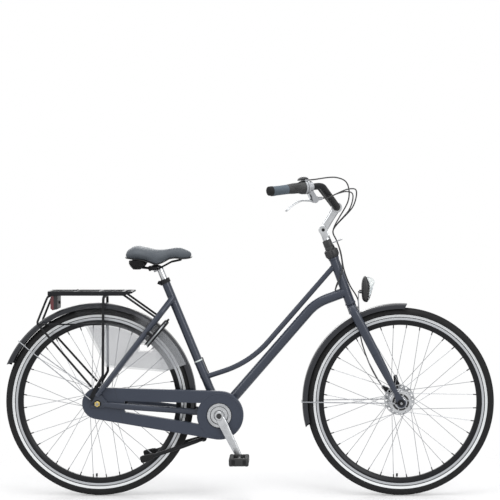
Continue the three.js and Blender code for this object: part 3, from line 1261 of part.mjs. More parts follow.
function makeBrakeLever(side) {
  const { tongue, pin, tip, bladeWidth, bladeHigh, perchWidth, perchRadius } = lever;
  const { outward, away, across, pivot } = leverFrame(side);
  const half = tongue / 2;
  const eye = turned([
    [0, -half], [perchRadius * 0.72, -half], [perchRadius * 0.72, half], [0, half],
  ], pivot, across, 12);
  const pinHalf = perchWidth / 2;
  const pinBody = turned([[0, -pinHalf], [pin, -pinHalf], [pin, pinHalf], [0, pinHalf]], pivot, across, 8);
  const shares = [
    [0, 0.02, tongue * 0.9, 1], [0.14, 0.03, tongue * 0.9, 1], [0.26, 0.02, bladeWidth, 0.9], [0.45, 0, bladeWidth, 0.8],
    [0.65, 0.05, bladeWidth, 0.75], [0.85, 0.16, bladeWidth * 0.9, 0.7], [1, 0.27, bladeWidth * 0.8, 0.9],
  ];
  const points = shares.map(([reach, drop]) => along(along(pivot, outward, tip * reach), away, tip * drop));
  const blade = sweep(round(8), points.map((spot, i) => {
    const tangent = points[Math.min(i + 1, points.length - 1)].clone().sub(points[Math.max(i - 1, 0)]).normalize();
    return {
      spot, across, up: tangent.clone().cross(across).normalize(),
      wide: shares[i][2] / 2, high: (shares[i][3] * bladeHigh) / 2,
    };
  }));
  return joined(eye, pinBody, blade);
}
for (const [name, side] of Object.entries(sides)) {
  piece(`lever_bracket_${name}`, makeLeverBracket(side), BARE_METAL);
  piece(`brake_lever_${name}`, makeBrakeLever(side), BARE_METAL);
}

// Mudguards: arched channels round the wheels, each held by its wire stay and by the frame.

const guardFacetShare = 0.2;

// A mudguard between two headings from its centre; slants lean its two end cuts.
function makeMudguard(centre, radius, from, to, steps, slants) {
  const half = MUDGUARD_WIDTH / 2;
  const wall = MUDGUARD_WALL;
  const fall = half * guardFacetShare;
  const outline = [
    [-half, -MUDGUARD_FLANGE], [-half, -fall], [-half + fall, 0], [half - fall, 0], [half, -fall],
    [half, -MUDGUARD_FLANGE], [half - wall, -MUDGUARD_FLANGE], [half - wall, -fall - wall / 2],
    [half - fall - wall / 2, -wall], [-half + fall + wall / 2, -wall], [-half + wall, -fall - wall / 2],
    [-half + wall, -MUDGUARD_FLANGE],
  ];
  return sweep(outline, Array.from({ length: steps + 1 }, (_, i) => {
    const turn = from + ((to - from) * i) / steps;
    const slant = i === 0 ? slants[0] : i === steps ? slants[1] : 0;
    const up = along(heading(turn), heading(turn + 90), slant);
    return { spot: along(centre, heading(turn), radius), across: Y_AXIS, up };
  }));
}

const frontGuardSink = 1;
const frontGuard = { radius: MUDGUARD_RADIUS - frontGuardSink, from: 86, to: 195.2, steps: 12, slants: [-0.55, 0.75] };
const rearGuard = { radius: MUDGUARD_RADIUS, back: 6, lift: 2, from: -8, to: 158.3, steps: 18, slants: [0, 0.85] };
const rearGuardCentre = at(rearAxle.x - rearGuard.back, 0, rearAxle.z + rearGuard.lift);
piece('front_mudguard', makeMudguard(
  frontAxle, frontGuard.radius, frontGuard.from, frontGuard.to, frontGuard.steps, frontGuard.slants,
), GUARD_PLASTIC);
piece('rear_mudguard', makeMudguard(
  rearGuardCentre, rearGuard.radius, rearGuard.from, rearGuard.to, rearGuard.steps, rearGuard.slants,
), GUARD_PLASTIC);

// Wire stays: one bent wire each, from dropout to dropout round the back of the guard.

const guardStay = {
  radius: 2, reach: 2.05, bend: 7, frontHeading: 180, rearHeading: 142.6, frontFoot: 19,
  eyelet: 4.5, eyeletLong: 6, wireAt: 4, rearFootDrop: 7.5,
};
const guardStaySide = MUDGUARD_WIDTH / 2 + SEAT_GAP + guardStay.reach;

// How far a faceted guard's crown reaches from its centre at a heading.
function crownReach({ radius, from, to, steps }, turn) {
  const step = (to - from) / steps;
  const offset = ((turn - from) % step) - step / 2;
  return (radius * Math.cos(radians(step / 2))) / Math.cos(radians(offset));
}

// The foot is where the wire's eyelet meets the dropout's outer face on the left.
function makeGuardStay(foot, centre, guard, turn) {
  const { eyelet, eyeletLong, wireAt } = guardStay;
  const back = along(centre, heading(turn), crownReach(guard, turn) + SEAT_GAP + guardStay.radius);
  const corner = (side) => back.clone().setY(side * guardStaySide);
  const wireFoot = along(foot, Y_AXIS, wireAt);
  const wire = pipe([wireFoot, corner(1), corner(-1), other(wireFoot)], guardStay.bend, guardStay.radius, 6);
  const eyelets = [-1, 1].map((side) => turned([
    [0, side * foot.y], [eyelet, side * foot.y], [eyelet, side * (foot.y + eyeletLong)], [0, side * (foot.y + eyeletLong)],
  ], foot.clone().setY(0), Y_AXIS, 8));
  return joined(wire, eyelets);
}
const frontStayFoot = at(
  frontAxle.x - guardStay.frontFoot,
  frontDropout + fork.plateThickness + SEAT_GAP,
  frontAxle.z,
);
piece('front_mudguard_stay', makeGuardStay(frontStayFoot, frontAxle, frontGuard, guardStay.frontHeading), STEEL);

// Carrier struts: a hoop under the platform whose feet end in flat plates on the dropouts.

// Distances ahead and behind are from the rear axle, those above from its height, or as named.
const carrier = {
  behind: 185.85, ahead: 127.05, aboveGuard: 46, railHigh: 16, railWide: 8, half: 60, slat: 8, slatHigh: 6,
  slatSide: 21, crossLong: 11, hookBehind: 85.25, strut: 5, strutAhead: 19.75, strutFootAbove: 63,
  strutFootBehind: 3.25, kneeAbove: 103, footBehind: 21.25, footAbove: 21, footWide: 14, plate: 3, leg: 4,
  legKneeBack: 39.1, legKneeDrop: 101, legFootAbove: 64, braceDrop: 105, stayAhead: 92.75, staySide: 50, tipDrop: 9,
};
const fromRearAxle = (ahead, above) => at(rearAxle.x + ahead, 0, rearAxle.z + above);
const platformTop = rearAxle.z + MUDGUARD_RADIUS + carrier.aboveGuard;
const platformBottom = platformTop - carrier.railHigh;
const platformRear = rearAxle.x - carrier.behind;
const platformFront = rearAxle.x + carrier.ahead;
const strutX = rearAxle.x + carrier.strutAhead;
const eyeletFace = rearDropout + dropout.thickness + SEAT_GAP;
const strutFootSide = eyeletFace + carrier.plate / 2;

function makeCarrierStruts() {
  const { strut, strutAhead, kneeAbove, strutFootBehind, strutFootAbove } = carrier;
  const { footBehind, footAbove, footWide, half } = carrier;
  const high = platformBottom - SEAT_GAP - strut;
  const root = fromRearAxle(-strutFootBehind, strutFootAbove);
  const foot = fromRearAxle(-footBehind, footAbove);
  const run = (side) => [
    root.clone().setY(side * strutFootSide),
    fromRearAxle(strutAhead, kneeAbove).setY(side * strutFootSide),
    at(strutX, side * half, high),
  ];
  const hoop = pipe([...run(1), ...run(-1).reverse()], 16, strut, SMALL_FACETS);
  const w = footWide / 2;
  const feet = [-1, 1].map((side) => plate([
    [root.x + w, root.z + w], [root.x - w, root.z + w], [foot.x - w, foot.z],
    [foot.x - w / 2, foot.z - w], [foot.x + w / 2, foot.z - w], [foot.x + w, foot.z],
  ], side * eyeletFace, side * (eyeletFace + carrier.plate)));
  return cut(joined(hoop, feet), [-1, 1].map((side) => seatStayTube(side, SEAT_GAP)));
}
piece('carrier_struts', makeCarrierStruts(), BLACK_METAL);

const rearStayFoot = fromRearAxle(-carrier.footBehind, carrier.footAbove - guardStay.rearFootDrop)
  .setY(eyeletFace + carrier.plate + SEAT_GAP);
piece('rear_mudguard_stay', makeGuardStay(rearStayFoot, rearGuardCentre, rearGuard, guardStay.rearHeading), STEEL);

// Carrier platform: two deep rails, cross bars and two slats, with a pair of braces to the seat stays.

function makePlatform() {
  const { railHigh, railWide, half, slat, slatHigh, slatSide, crossLong, hookBehind } = carrier;
  const { stayAhead, staySide, leg, tipDrop } = carrier;
  const [rear, front, top] = [platformRear, platformFront, platformTop];
  const middleX = (rear + front) / 2;
  const length = front - rear;
  const hook = rearAxle.x - hookBehind;
  const stayX = rearAxle.x + stayAhead;
  const rails = [-1, 1].map((side) =>
    block(at(middleX, side * (half - railWide / 2), top - railHigh / 2), length, railWide, railHigh));
  const slats = [-1, 1].map((side) =>
    block(at(middleX, side * slatSide, top - slatHigh / 2), length, slat, slatHigh));
  const bars = [rear + crossLong / 2, hook, (hook + stayX) / 2, stayX, front - crossLong / 2].map((x) =>
    block(at(x, 0, top - slatHigh / 2), crossLong, 2 * half - railWide, slatHigh));
  const tip = block(at(rear + crossLong / 2, 0, platformBottom + tipDrop / 2), crossLong, 2 * half - railWide, tipDrop);
  const catches = block(at(hook, 0, top + slatHigh / 4), crossLong / 2, slatSide * 2, slatHigh);
  const stayEnd = (side) => seatStayPoint(seatStay.shoulder * 1.3, side);
  const braces = [-1, 1].map((side) => bar(
    at(stayX, side * staySide, platformBottom + slatHigh / 2),
    stayEnd(side),
    leg,
    leg,
    SMALL_FACETS,
  ));
  const pads = [-1, 1].map((side) =>
    block(at(stayX, side * staySide, platformBottom + railHigh / 2), crossLong, crossLong, railHigh - OVERRUN));
  const staySpaces = [-1, 1].map((side) => seatStayTube(side, SEAT_GAP));
  return cut(joined(rails, slats, bars, tip, catches, pads, braces), staySpaces);
}
piece('carrier_platform', makePlatform(), BLACK_METAL);

// Carrier rear legs: a hoop from under the platform's tail down to the strut plates, with braces.

function makeCarrierLegs() {
  const { leg, legKneeBack, legKneeDrop, legFootAbove, footBehind, half, braceDrop, strut, kneeAbove } = carrier;
  const kneeX = platformRear - legKneeBack;
  const kneeZ = platformBottom - legKneeDrop;
  const braceZ = platformBottom - braceDrop;
  const high = platformBottom - SEAT_GAP - leg;
  const footSide = eyeletFace + carrier.plate + SEAT_GAP + leg;
  const run = (side) => [
    fromRearAxle(-footBehind, legFootAbove).setY(side * footSide), at(kneeX, side * half, kneeZ),
    at(platformRear, side * half, high),
  ];
  const hoop = pipe([...run(1), ...run(-1).reverse()], 14, leg, SMALL_FACETS);
  const strutSide = (z) => THREE.MathUtils.mapLinear(z, rearAxle.z + kneeAbove, platformBottom, strutFootSide, half);
  const braces = [-1, 1].map((side) => bar(
    at(kneeX + leg, side * half, braceZ),
    at(strutX - strut - SEAT_GAP, side * strutSide(braceZ), braceZ),
    leg * 0.8,
    leg * 0.8,
    6,
  ));
  return joined(hoop, braces);
}
piece('carrier_rear_legs', makeCarrierLegs(), BLACK_METAL);

// Tail lamp: a housing under the platform's tail, with a lens that faces the rear.

const tailLamp = { ahead: 7.6, deep: 26, high: 55, width: 84, knob: 6, chamfer: 8 };

function makeTailLamp() {
  const { width, knob, chamfer } = tailLamp;
  const rear = platformRear + tailLamp.ahead;
  const front = rear + tailLamp.deep;
  const high = platformBottom - SEAT_GAP;
  const foot = high - tailLamp.high;
  const body = plate([
    [rear, foot + chamfer], [rear + chamfer, foot], [front, foot + chamfer / 2], [front, high], [rear + chamfer / 2, high],
    [rear, high - chamfer],
  ], -width / 2, width / 2);
  const spot = at(front, 0, (foot + high) / 2);
  return joined(body, bar(along(spot, X_AXIS, -OVERRUN), along(spot, X_AXIS, knob), knob, knob, SMALL_FACETS));
}
piece('tail_light', makeTailLamp(), LAMP_RED);

// Coat guards: thin plates outside the rear guard's flanges, with an opening for the lock's bolt.

const coatGuard = { thickness: 1.2 };
// Shares of the guard's radius, ahead of and above the rear axle.
const coatOutlineShares = [
  [-0.2534, 0.8967], [-0.2127, 0.8459], [-0.1313, 0.7481], [0.0622, 0.3574], [0.6624, 0.3066], [0.8559, 0.3716],
];
const coatOpeningShares = [[0.3955, 0.5055], [0.5321, 0.5055], [0.5321, 0.582], [0.3955, 0.582]];

function makeCoatGuard(side) {
  const inner = MUDGUARD_WIDTH / 2 + SEAT_GAP;
  const placed = ([ahead, above]) => [rearAxle.x + ahead * MUDGUARD_RADIUS, rearAxle.z + above * MUDGUARD_RADIUS];
  const outline = coatOutlineShares.map(placed);
  const angleOf = ([x, z]) =>
    THREE.MathUtils.radToDeg(Math.atan2(z - rearGuardCentre.z, x - rearGuardCentre.x));
  const first = angleOf(outline[0]);
  const last = angleOf(outline[outline.length - 1]);
  const edge = MUDGUARD_RADIUS - MUDGUARD_FLANGE / 2;
  return plate(
    [...outline.slice(1, -1), ...arc(rearGuardCentre, edge, last, first, 12)],
    side * inner,
    side * (inner + coatGuard.thickness),
    [coatOpeningShares.map(placed)],
  );
}
piece('coat_guard_right', makeCoatGuard(-1), CLOUDY_PLASTIC);
piece('coat_guard_left', makeCoatGuard(1), CLOUDY_PLASTIC);

// Ring lock: a horseshoe housing round the wheel with a channel for the bolt, lugged to the seat stays.

const lock = {
  inset: 50, ahead: 33.07, mean: 66, wide: 16, thick: 18, from: -35, to: 215, steps: 10,
  bolt: 4.5, boltFrom: 84, boltTo: 213, travel: 120, knob: 4, knobReach: 17, lugWide: 13, lugLong: 31,
};

// The lock stands ahead of the seat stays, where these are as far from the axle as the lock's centre.
const lockReach = MUDGUARD_RADIUS - lock.inset;
const stayRun = stayTop.clone().sub(stayFoot).normalize();
const footReach = stayFoot.clone().sub(rearAxle);
const footDot = footReach.dot(stayRun);
const lockSeat = along(stayFoot, stayRun, Math.sqrt(footDot ** 2 + lockReach ** 2 - footReach.lengthSq()) - footDot);
const seatHeading = Math.atan2(lockSeat.z - rearAxle.z, lockSeat.x - rearAxle.x);
const lockHeading = THREE.MathUtils.radToDeg(seatHeading - Math.asin(lock.ahead / lockReach));
const lockRadial = heading(lockHeading);
const lockTangent = heading(lockHeading + 90);
const lockCentre = along(rearAxle, lockRadial, lockReach);
const lockSpoke = (degrees) =>
  Y_AXIS.clone().multiplyScalar(Math.cos(radians(degrees))).addScaledVector(lockRadial, Math.sin(radians(degrees)));

function lockSweep(outline, from, to, steps) {
  return sweep(outline, Array.from({ length: steps + 1 }, (_, i) => {
    const direction = lockSpoke(from + ((to - from) * i) / steps);
    return { spot: along(lockCentre, direction, lock.mean), across: lockTangent, up: direction };
  }));
}

function makeRingLock() {
  const { wide, thick, from, to, steps, bolt, boltFrom, travel, knob, lugWide, lugLong } = lock;
  const [t, w] = [thick / 2, wide / 2];
  const shell = lockSweep([[-t, -w * 0.6], [-t * 0.7, -w], [t * 0.7, -w], [t, -w * 0.6], [t, w * 0.6], [t * 0.7, w],
    [-t * 0.7, w], [-t, w * 0.6]], from, to, steps);
  const channel = lockSweep(round(6, boreFor(bolt, 6)), boltFrom - 2, to + 1, 8);
  const socket = lockSweep(round(6, boreFor(bolt, 6)), from - 1, from + 14, 2);
  const k = knob + SEAT_GAP;
  const slot = lockSweep([[-k, 0], [k, 0], [k, wide], [-k, wide]], boltFrom + 2 - 6, boltFrom + travel + 14, 6);
  const lugs = [-1, 1].map((side) => {
    const angle = side > 0 ? 0 : 180;
    const spot = along(along(lockCentre, lockSpoke(angle), lock.mean - wide * 0.6), lockTangent, lugLong / 2);
    return block(spot, lugLong, lugWide, lugWide, lockHeading + 90);
  });
  const staySpaces = [-1, 1].map((side) => seatStayTube(side, SEAT_GAP));
  return cut(joined(cut(shell, channel, socket, slot), cut(joined(lugs), channel, slot)), staySpaces);
}
piece('ring_lock', makeRingLock(), BLACK_METAL);

function makeLockBolt() {
  const { bolt, boltFrom, boltTo, knob, knobReach } = lock;
  const rod = lockSweep(round(6, bolt), boltFrom, boltTo, 8);
  const lever = lockSweep([[-knob, 0], [knob, 0], [knob, knobReach], [-knob, knobReach]], boltFrom + 1, boltFrom + 7, 1);
  return joined(rod, lever);
}
piece('lock_bolt', makeLockBolt(), BARE_METAL);

// Centre stand: two splayed legs on a pin below the stand plate, folded back.

const stand = {
  cheekInner: 12.4, cheekOuter: 19, cheek: 12, leg: 8, footLeg: 7, kneeBack: 77.5, kneeSide: 44, kneeDrop: 25,
  footBack: 203.5, footSide: 62, footDrop: 64, footLong: 42, footWide: 20, footHigh: 15, footTurn: 17,
};

function makeStand() {
  const { cheekInner, cheekOuter, cheek, leg, footLeg } = stand;
  const { kneeBack, kneeSide, kneeDrop, footBack, footSide, footDrop } = stand;
  const pinEnd = cheekOuter;
  const pin = turned([[0, -pinEnd], [standPlate.pin, -pinEnd], [standPlate.pin, pinEnd], [0, pinEnd]], standPivot);
  const halves = [-1, 1].map((side) => {
    const disc = turned([
      [0, side * cheekInner], [cheek, side * cheekInner], [cheek, side * cheekOuter], [0, side * cheekOuter],
    ], standPivot);
    const root = standPivot.clone().setY((side * (cheekInner + cheekOuter + leg)) / 2);
    const knee = at(standPivot.x - kneeBack, side * kneeSide, standPivot.z - kneeDrop);
    const foot = at(standPivot.x - footBack, side * footSide, standPivot.z - footDrop);
    const shape = sweep(round(SMALL_FACETS), stationsOn(
      [root, between(root, knee, 0.35), knee, foot],
      [[leg * 0.9], [leg], [leg], [footLeg]],
    ));
    const postSide = block(
      standPivot.clone().setY(0), 4 * cheek, 2 * cheekInner, 4 * cheek,
    );
    const sole = block(foot, stand.footLong, stand.footWide, stand.footHigh, stand.footTurn);
    return joined(disc, cut(shape, postSide), sole);
  });
  return joined(pin, halves);
}
piece('kickstand', makeStand(), BLACK_METAL);

// Headlight: a tall housing with a deep lens, on a strap from the fork crown.

// Distances ahead, above and below are from the middle of the fork crown.
const headlight = {
  above: 25, high: 97, ahead: 50, deep: 17, wide: 27, lensAhead: 79, lensWide: 21, lensHigh: 66,
  strap: 3, strapWide: 16, strapBelow: 3, strapAbove: 64, strapGap: 3,
};

function makeHeadlight() {
  const { high, deep, wide, lensWide, lensHigh, strap: thick, strapWide, strapGap } = headlight;
  const foot = crownMiddle.z + headlight.above;
  const middleX = crownMiddle.x + headlight.ahead;
  const lensX = crownMiddle.x + headlight.lensAhead;
  const strapFootZ = crownMiddle.z - headlight.strapBelow;
  const strapZ = crownMiddle.z + headlight.strapAbove;
  const shares = [[0, 0.55], [0.06, 0.82], [0.2, 1], [0.8, 1], [0.94, 0.85], [1, 0.6]];
  const body = sweep(round(10), shares.map(([share, size]) => ({
    spot: at(middleX, 0, foot + high * share), across: Y_AXIS, up: X_AXIS, wide: wide * size, high: deep * size,
  })));
  const lensMiddle = foot + high / 2;
  const lens = sweep(round(10), [[0, 1], [0.6, 1], [1, 0.86]].map(([share, size]) => ({
    spot: at(THREE.MathUtils.lerp(middleX, lensX, share), 0, lensMiddle),
    across: Y_AXIS,
    up: Z_AXIS,
    wide: lensWide * size,
    high: (lensHigh / 2) * size,
  })));
  const crownFront = crownMiddle.x + fork.crownLength / 2 + strapGap;
  const upright = block(
    at(crownFront + thick / 2, 0, (strapFootZ + strapZ) / 2), thick, strapWide, strapZ - strapFootZ + thick,
  );
  const shelf = block(
    at((crownFront + middleX) / 2, 0, strapZ), middleX - crownFront, strapWide, thick,
  );
  const bolt = bar(
    at(crownMiddle.x + fork.crownLength / 2 + SEAT_GAP, 0, strapFootZ + strapWide / 2),
    at(crownFront + 2 * thick, 0, strapFootZ + strapWide / 2),
    thick * 1.6,
    thick * 1.6,
    SMALL_FACETS,
  );
  const crownSpace = bar(
    along(crownMiddle, steeringAxis, -fork.crownHeight), headTubeTop, fork.crownLength / 2 + SEAT_GAP,
  );
  return cut(joined(body, lens, upright, shelf, bolt), crownSpace);
}
piece('headlight', makeHeadlight(), BLACK_PLASTIC);

// Seatpost: a tube in the seat tube, with the two-bolt clamp that grips the saddle's rails.

const saddlePost = {
  rise: 47, insertion: 190, neckDrop: 12, headLong: 38, headWide: 58, headHigh: 18, headBack: 41.75, headAbove: 43.3,
};
const postHead = at(seatTubeTop.x - saddlePost.headBack, 0, seatTubeTop.z + saddlePost.headAbove);

// Rails: shares of their length and height, ahead of and above the post's head.
const rails = { side: 21, radius: 3.5, bend: 14, length: 170, height: 35 };
const railShares = [[-0.385, 0.629], [-0.262, 0.057], [0.109, -0.114], [0.15, 0], [0.403, 0.671], [0.615, 0.886]];
const railPath = (side) => railShares.map(([ahead, above]) =>
  at(postHead.x + ahead * rails.length, side * rails.side, postHead.z + above * rails.height));

function makeRail(side, radius) {
  return pipe(railPath(side), rails.bend, radius, 6);
}

function makeSeatpost() {
  const { rise, insertion, neckDrop, headLong, headWide, headHigh } = saddlePost;
  const top = along(seatTubeTop, seatAxis, rise);
  const tube = bar(along(seatTubeTop, seatAxis, -insertion), top, SEATPOST_DIAMETER / 2);
  const head = block(postHead, headLong, headWide, headHigh);
  const neck = bar(along(top, seatAxis, -neckDrop), postHead, SEATPOST_DIAMETER / 2);
  return cut(joined(tube, neck, head), makeRail(1, boreFor(rails.radius, 6)),
    makeRail(-1, boreFor(rails.radius, 6)));
}
piece('seatpost', makeSeatpost(), BLACK_METAL);

// Saddle: a broad padded tail that narrows to the nose. Shares from the tail to the nose: place along
// the length, height of the crown, height of the skirt, and half width.

const saddle = { length: 244, height: 65, halfWidth: 100, behind: 99.5, above: 17 };
const saddleShares = [
  [0, 0.538, 0.338, 0.56], [0.02, 0.738, 0.277, 0.78], [0.074, 0.892, 0.215, 0.93], [0.148, 1, 0.154, 1],
  [0.266, 0.938, 0.092, 0.98], [0.377, 0.846, 0.031, 0.84], [0.484, 0.785, 0, 0.65],
  [0.607, 0.815, 0.123, 0.48], [0.738, 0.892, 0.277, 0.38], [0.861, 0.877, 0.354, 0.33],
  [0.951, 0.754, 0.4, 0.27], [1, 0.554, 0.415, 0.16],
];
const saddleStations = saddleShares.map(([place, crown, skirt, half]) => ({
  x: postHead.x - saddle.behind + place * saddle.length,
  crown: postHead.z + saddle.above + crown * saddle.height,
  skirt: postHead.z + saddle.above + skirt * saddle.height,
  half: half * saddle.halfWidth,
}));
const coverOutlineShares = [
  [-0.84, 0], [-1, 0.3], [-0.97, 0.58], [-0.82, 0.83], [-0.5, 0.97], [0, 1],
  [0.5, 0.97], [0.82, 0.83], [0.97, 0.58], [1, 0.3], [0.84, 0],
];
piece('saddle_cover', sweep(coverOutlineShares, saddleStations.map(({ x, crown, skirt, half }) => ({
  spot: at(x, 0, skirt), across: Y_AXIS, up: Z_AXIS, wide: half, high: crown - skirt,
}))), SADDLE_COVER);

// Saddle base: a shell under the cover, two elastomer cones at the tail, and the pair of rails.

const saddleBase = {
  thick: 6, widthShare: 0.82, coneBehind: 55.5, coneSide: 55, coneTop: 29, coneFoot: 14, coneBelow: 3,
  coneAbove: 21, yoke: 11,
};

function makeSaddleBase() {
  const { thick, widthShare, coneSide, coneTop, coneFoot, yoke } = saddleBase;
  const shell = sweep([[-1, -1], [1, -1], [1, 0], [-1, 0]], saddleStations.map(({ x, skirt, half }) => ({
    spot: at(x, 0, skirt - SEAT_GAP), across: Y_AXIS, up: Z_AXIS, wide: half * widthShare, high: thick,
  })));
  const coneX = postHead.x - saddleBase.coneBehind;
  const coneLow = postHead.z - saddleBase.coneBelow;
  const shellLow = postHead.z + saddleBase.coneAbove;
  const cones = [-1, 1].map((side) => joined(
    bar(at(coneX, side * coneSide, coneLow), at(coneX, side * coneSide, shellLow), coneFoot, coneTop, 10),
    block(at(coneX, (side * (coneSide + rails.side)) / 2, coneLow + yoke / 2), yoke, coneSide - rails.side + yoke, yoke),
  ));
  return joined(shell, cones, makeRail(-1, rails.radius), makeRail(1, rails.radius));
}
piece('saddle_base', makeSaddleBase(), BLACK_PLASTIC);

// Cables: from the controls forward in open loops to the guide, then down.

const cables = {
  radius: 2.5, steps: 12, longSteps: 22, spacing: 6.5, gap: 0.3, guideReach: 33, guideDrop: 4,
  gearLead: 26, brakeLead: 22, guideLead: 40, guideExit: 30, exitSpread: 1.4,
};

// Routes as [ahead, left, above]: the upper ones from the handlebar's middle, the lower ones from the
// top of the head tube.
const cableRoutes = {
  gearUpper: [[-4, -112, 110], [38, -48, 88], [44, -16, 30]],
  frontBrakeUpper: [[40, -88, 68], [72, -34, 62], [62, -6, 6]],
  rearBrakeUpper: [[38, 84, 60], [62, 36, 48], [50, 14, -4]],
  toDownTube: [[34, 26, -34.3], [23, 27, -78.3], [11, 18, -108.3], [7, 8, -122.8]],
  frontBrakeLower: [
    [40, 4, -46.3], [62, 12, -104.3], [92, 26, -156.3], [96, 31.5, -194.3], [100, 31.5, -244.3],
    [106, 31.5, -311.3], [138, 37, -404.3], [168, 43, -460.3], [181, 43.6, -478.8],
  ],
};
const routed = (from, route, side = 1) =>
  route.map(([ahead, left, above]) => at(from.x + ahead, side * left, from.z + above));
const guideForward = heading(HEAD_TUBE_LEAN);
const guideSpot = along(
  along(headTubeTop, steeringAxis, headset.foot + headset.loopAt), guideForward, cables.guideReach,
);
const guideAt = (lane, above) => along(guideSpot, steeringAxis, above).setY(lane * cables.spacing);
const upperFoot = cables.guideDrop + cables.gap;

// A cable from a start, leaving it along a direction, by way of its route, to its lane in the guide.
function upperCable(start, direction, lead, route, lane) {
  return cable([
    start, along(start, direction, lead), ...routed(barMiddle, route),
    guideAt(lane, cables.guideLead), guideAt(lane, upperFoot),
  ], cables.radius, cables.steps);
}
const leverBarrelEnd = (side) => {
  const { pivot, outward } = leverFrame(side);
  return along(pivot, outward, -(lever.pivotInboard + lever.perchRadius * 1.6 + cables.gap));
};
const gearStart = along(onBar(-1, housingEnd + cables.gap), Z_AXIS, housing.domeRise - cables.gap);
piece('cable_gear_upper', upperCable(
  gearStart, gripAxis(-1), cables.gearLead, cableRoutes.gearUpper, -1,
), BLACK_PLASTIC);
piece('cable_front_brake_upper', upperCable(
  leverBarrelEnd(-1), gripAxis(-1), cables.brakeLead, cableRoutes.frontBrakeUpper, 0,
), BLACK_PLASTIC);
piece('cable_rear_brake_upper', upperCable(
  leverBarrelEnd(1), gripAxis(1), cables.brakeLead, cableRoutes.rearBrakeUpper, 1,
), BLACK_PLASTIC);

// A cable from under the guide into the top face of the down tube.
const downTubeCable = (side) => cable([
  guideAt(side, cables.guideDrop), guideAt(side * cables.exitSpread, -cables.guideExit),
  ...routed(headTubeTop, cableRoutes.toDownTube, side),
], cables.radius, cables.steps);
piece('cable_gear_lower', downTubeCable(-1), BLACK_PLASTIC);
piece('cable_rear_brake_lower', downTubeCable(1), BLACK_PLASTIC);
piece('cable_front_brake_lower', cable([
  guideAt(0, cables.guideDrop), guideAt(0, -cables.guideLead),
  ...routed(headTubeTop, cableRoutes.frontBrakeLower),
], cables.radius, cables.longSteps), BLACK_PLASTIC);
export default bicycle;
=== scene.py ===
# A city bicycle with a low step-through frame, a full chaincase, hub brakes and a tilting stem.
# Sizes are in millimetres and angles in degrees; meshes are in metres. +X is forward, +Y is the
# rider's left, +Z is up, and the origin is on the ground below the middle of the wheelbase.

from math import acos, asin, atan2, ceil, copysign, cos, degrees, hypot, pi, radians, sin, sqrt, tan

import bmesh
import bpy
from mathutils import Matrix, Vector
from mathutils.geometry import tessellate_polygon


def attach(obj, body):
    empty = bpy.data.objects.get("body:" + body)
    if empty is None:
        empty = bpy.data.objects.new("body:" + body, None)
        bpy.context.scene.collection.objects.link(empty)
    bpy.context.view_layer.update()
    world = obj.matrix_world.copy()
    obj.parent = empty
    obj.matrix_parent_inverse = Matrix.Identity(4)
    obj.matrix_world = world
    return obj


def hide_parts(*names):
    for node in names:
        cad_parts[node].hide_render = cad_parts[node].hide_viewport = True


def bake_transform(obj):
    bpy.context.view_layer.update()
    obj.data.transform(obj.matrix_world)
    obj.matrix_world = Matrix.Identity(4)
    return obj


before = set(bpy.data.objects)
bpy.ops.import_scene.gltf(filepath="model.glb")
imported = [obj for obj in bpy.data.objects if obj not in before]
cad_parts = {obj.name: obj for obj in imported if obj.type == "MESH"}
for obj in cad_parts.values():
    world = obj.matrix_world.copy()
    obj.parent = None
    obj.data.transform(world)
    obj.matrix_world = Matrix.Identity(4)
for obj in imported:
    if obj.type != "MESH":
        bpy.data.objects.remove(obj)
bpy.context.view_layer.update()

# The studio: a pale floor that fades into a white surround, soft lamps above and in front, and a
# camera on the bicycle's right, level with the saddle and a little ahead of the middle.

scene = bpy.context.scene
scene.view_settings.view_transform = "Standard"
camera_distance = 5.45
frame_width = 1.862
camera_data = bpy.data.cameras.new("camera")
camera_data.sensor_width = 36
camera_data.lens = 36 * camera_distance / frame_width
camera_data.shift_x = -0.0802
camera_data.shift_y = -0.1
camera = bpy.data.objects.new("camera", camera_data)
camera.location = (0.149, -camera_distance, 1.098)
camera.rotation_euler = (radians(90), 0, 0)
scene.collection.objects.link(camera)
scene.camera = camera


def linear(colour):
    """An sRGB hex colour as linear light."""
    shares = [int(colour[i : i + 2], 16) / 255 for i in (1, 3, 5)]
    return (*[s / 12.92 if s <= 0.04045 else ((s + 0.055) / 1.055) ** 2.4 for s in shares], 1)


def add_node(owner, kind, settings=None, links=None, feeds=None):
    """A node with its options or socket values, its links as {socket: (node, output)}, and the
    sockets that it feeds as {output: (node, socket)}."""
    node = owner.node_tree.nodes.new(kind)
    for name, value in (settings or {}).items():
        if isinstance(name, int) or name in node.inputs:
            node.inputs[name].default_value = value
        else:
            setattr(node, name, value)
    for socket, (source, output) in (links or {}).items():
        owner.node_tree.links.new(source.outputs[output], node.inputs[socket])
    for output, (target, socket) in (feeds or {}).items():
        owner.node_tree.links.new(node.outputs[output], target.inputs[socket])
    return node


def new_material(name, settings):
    """A material with its shader's sockets set: (material, shader, object coordinates)."""
    material = bpy.data.materials.new(name)
    material.use_nodes = True
    shader = material.node_tree.nodes["Principled BSDF"]
    for socket, value in settings.items():
        shader.inputs[socket].default_value = value
    return material, shader, add_node(material, "ShaderNodeTexCoord")


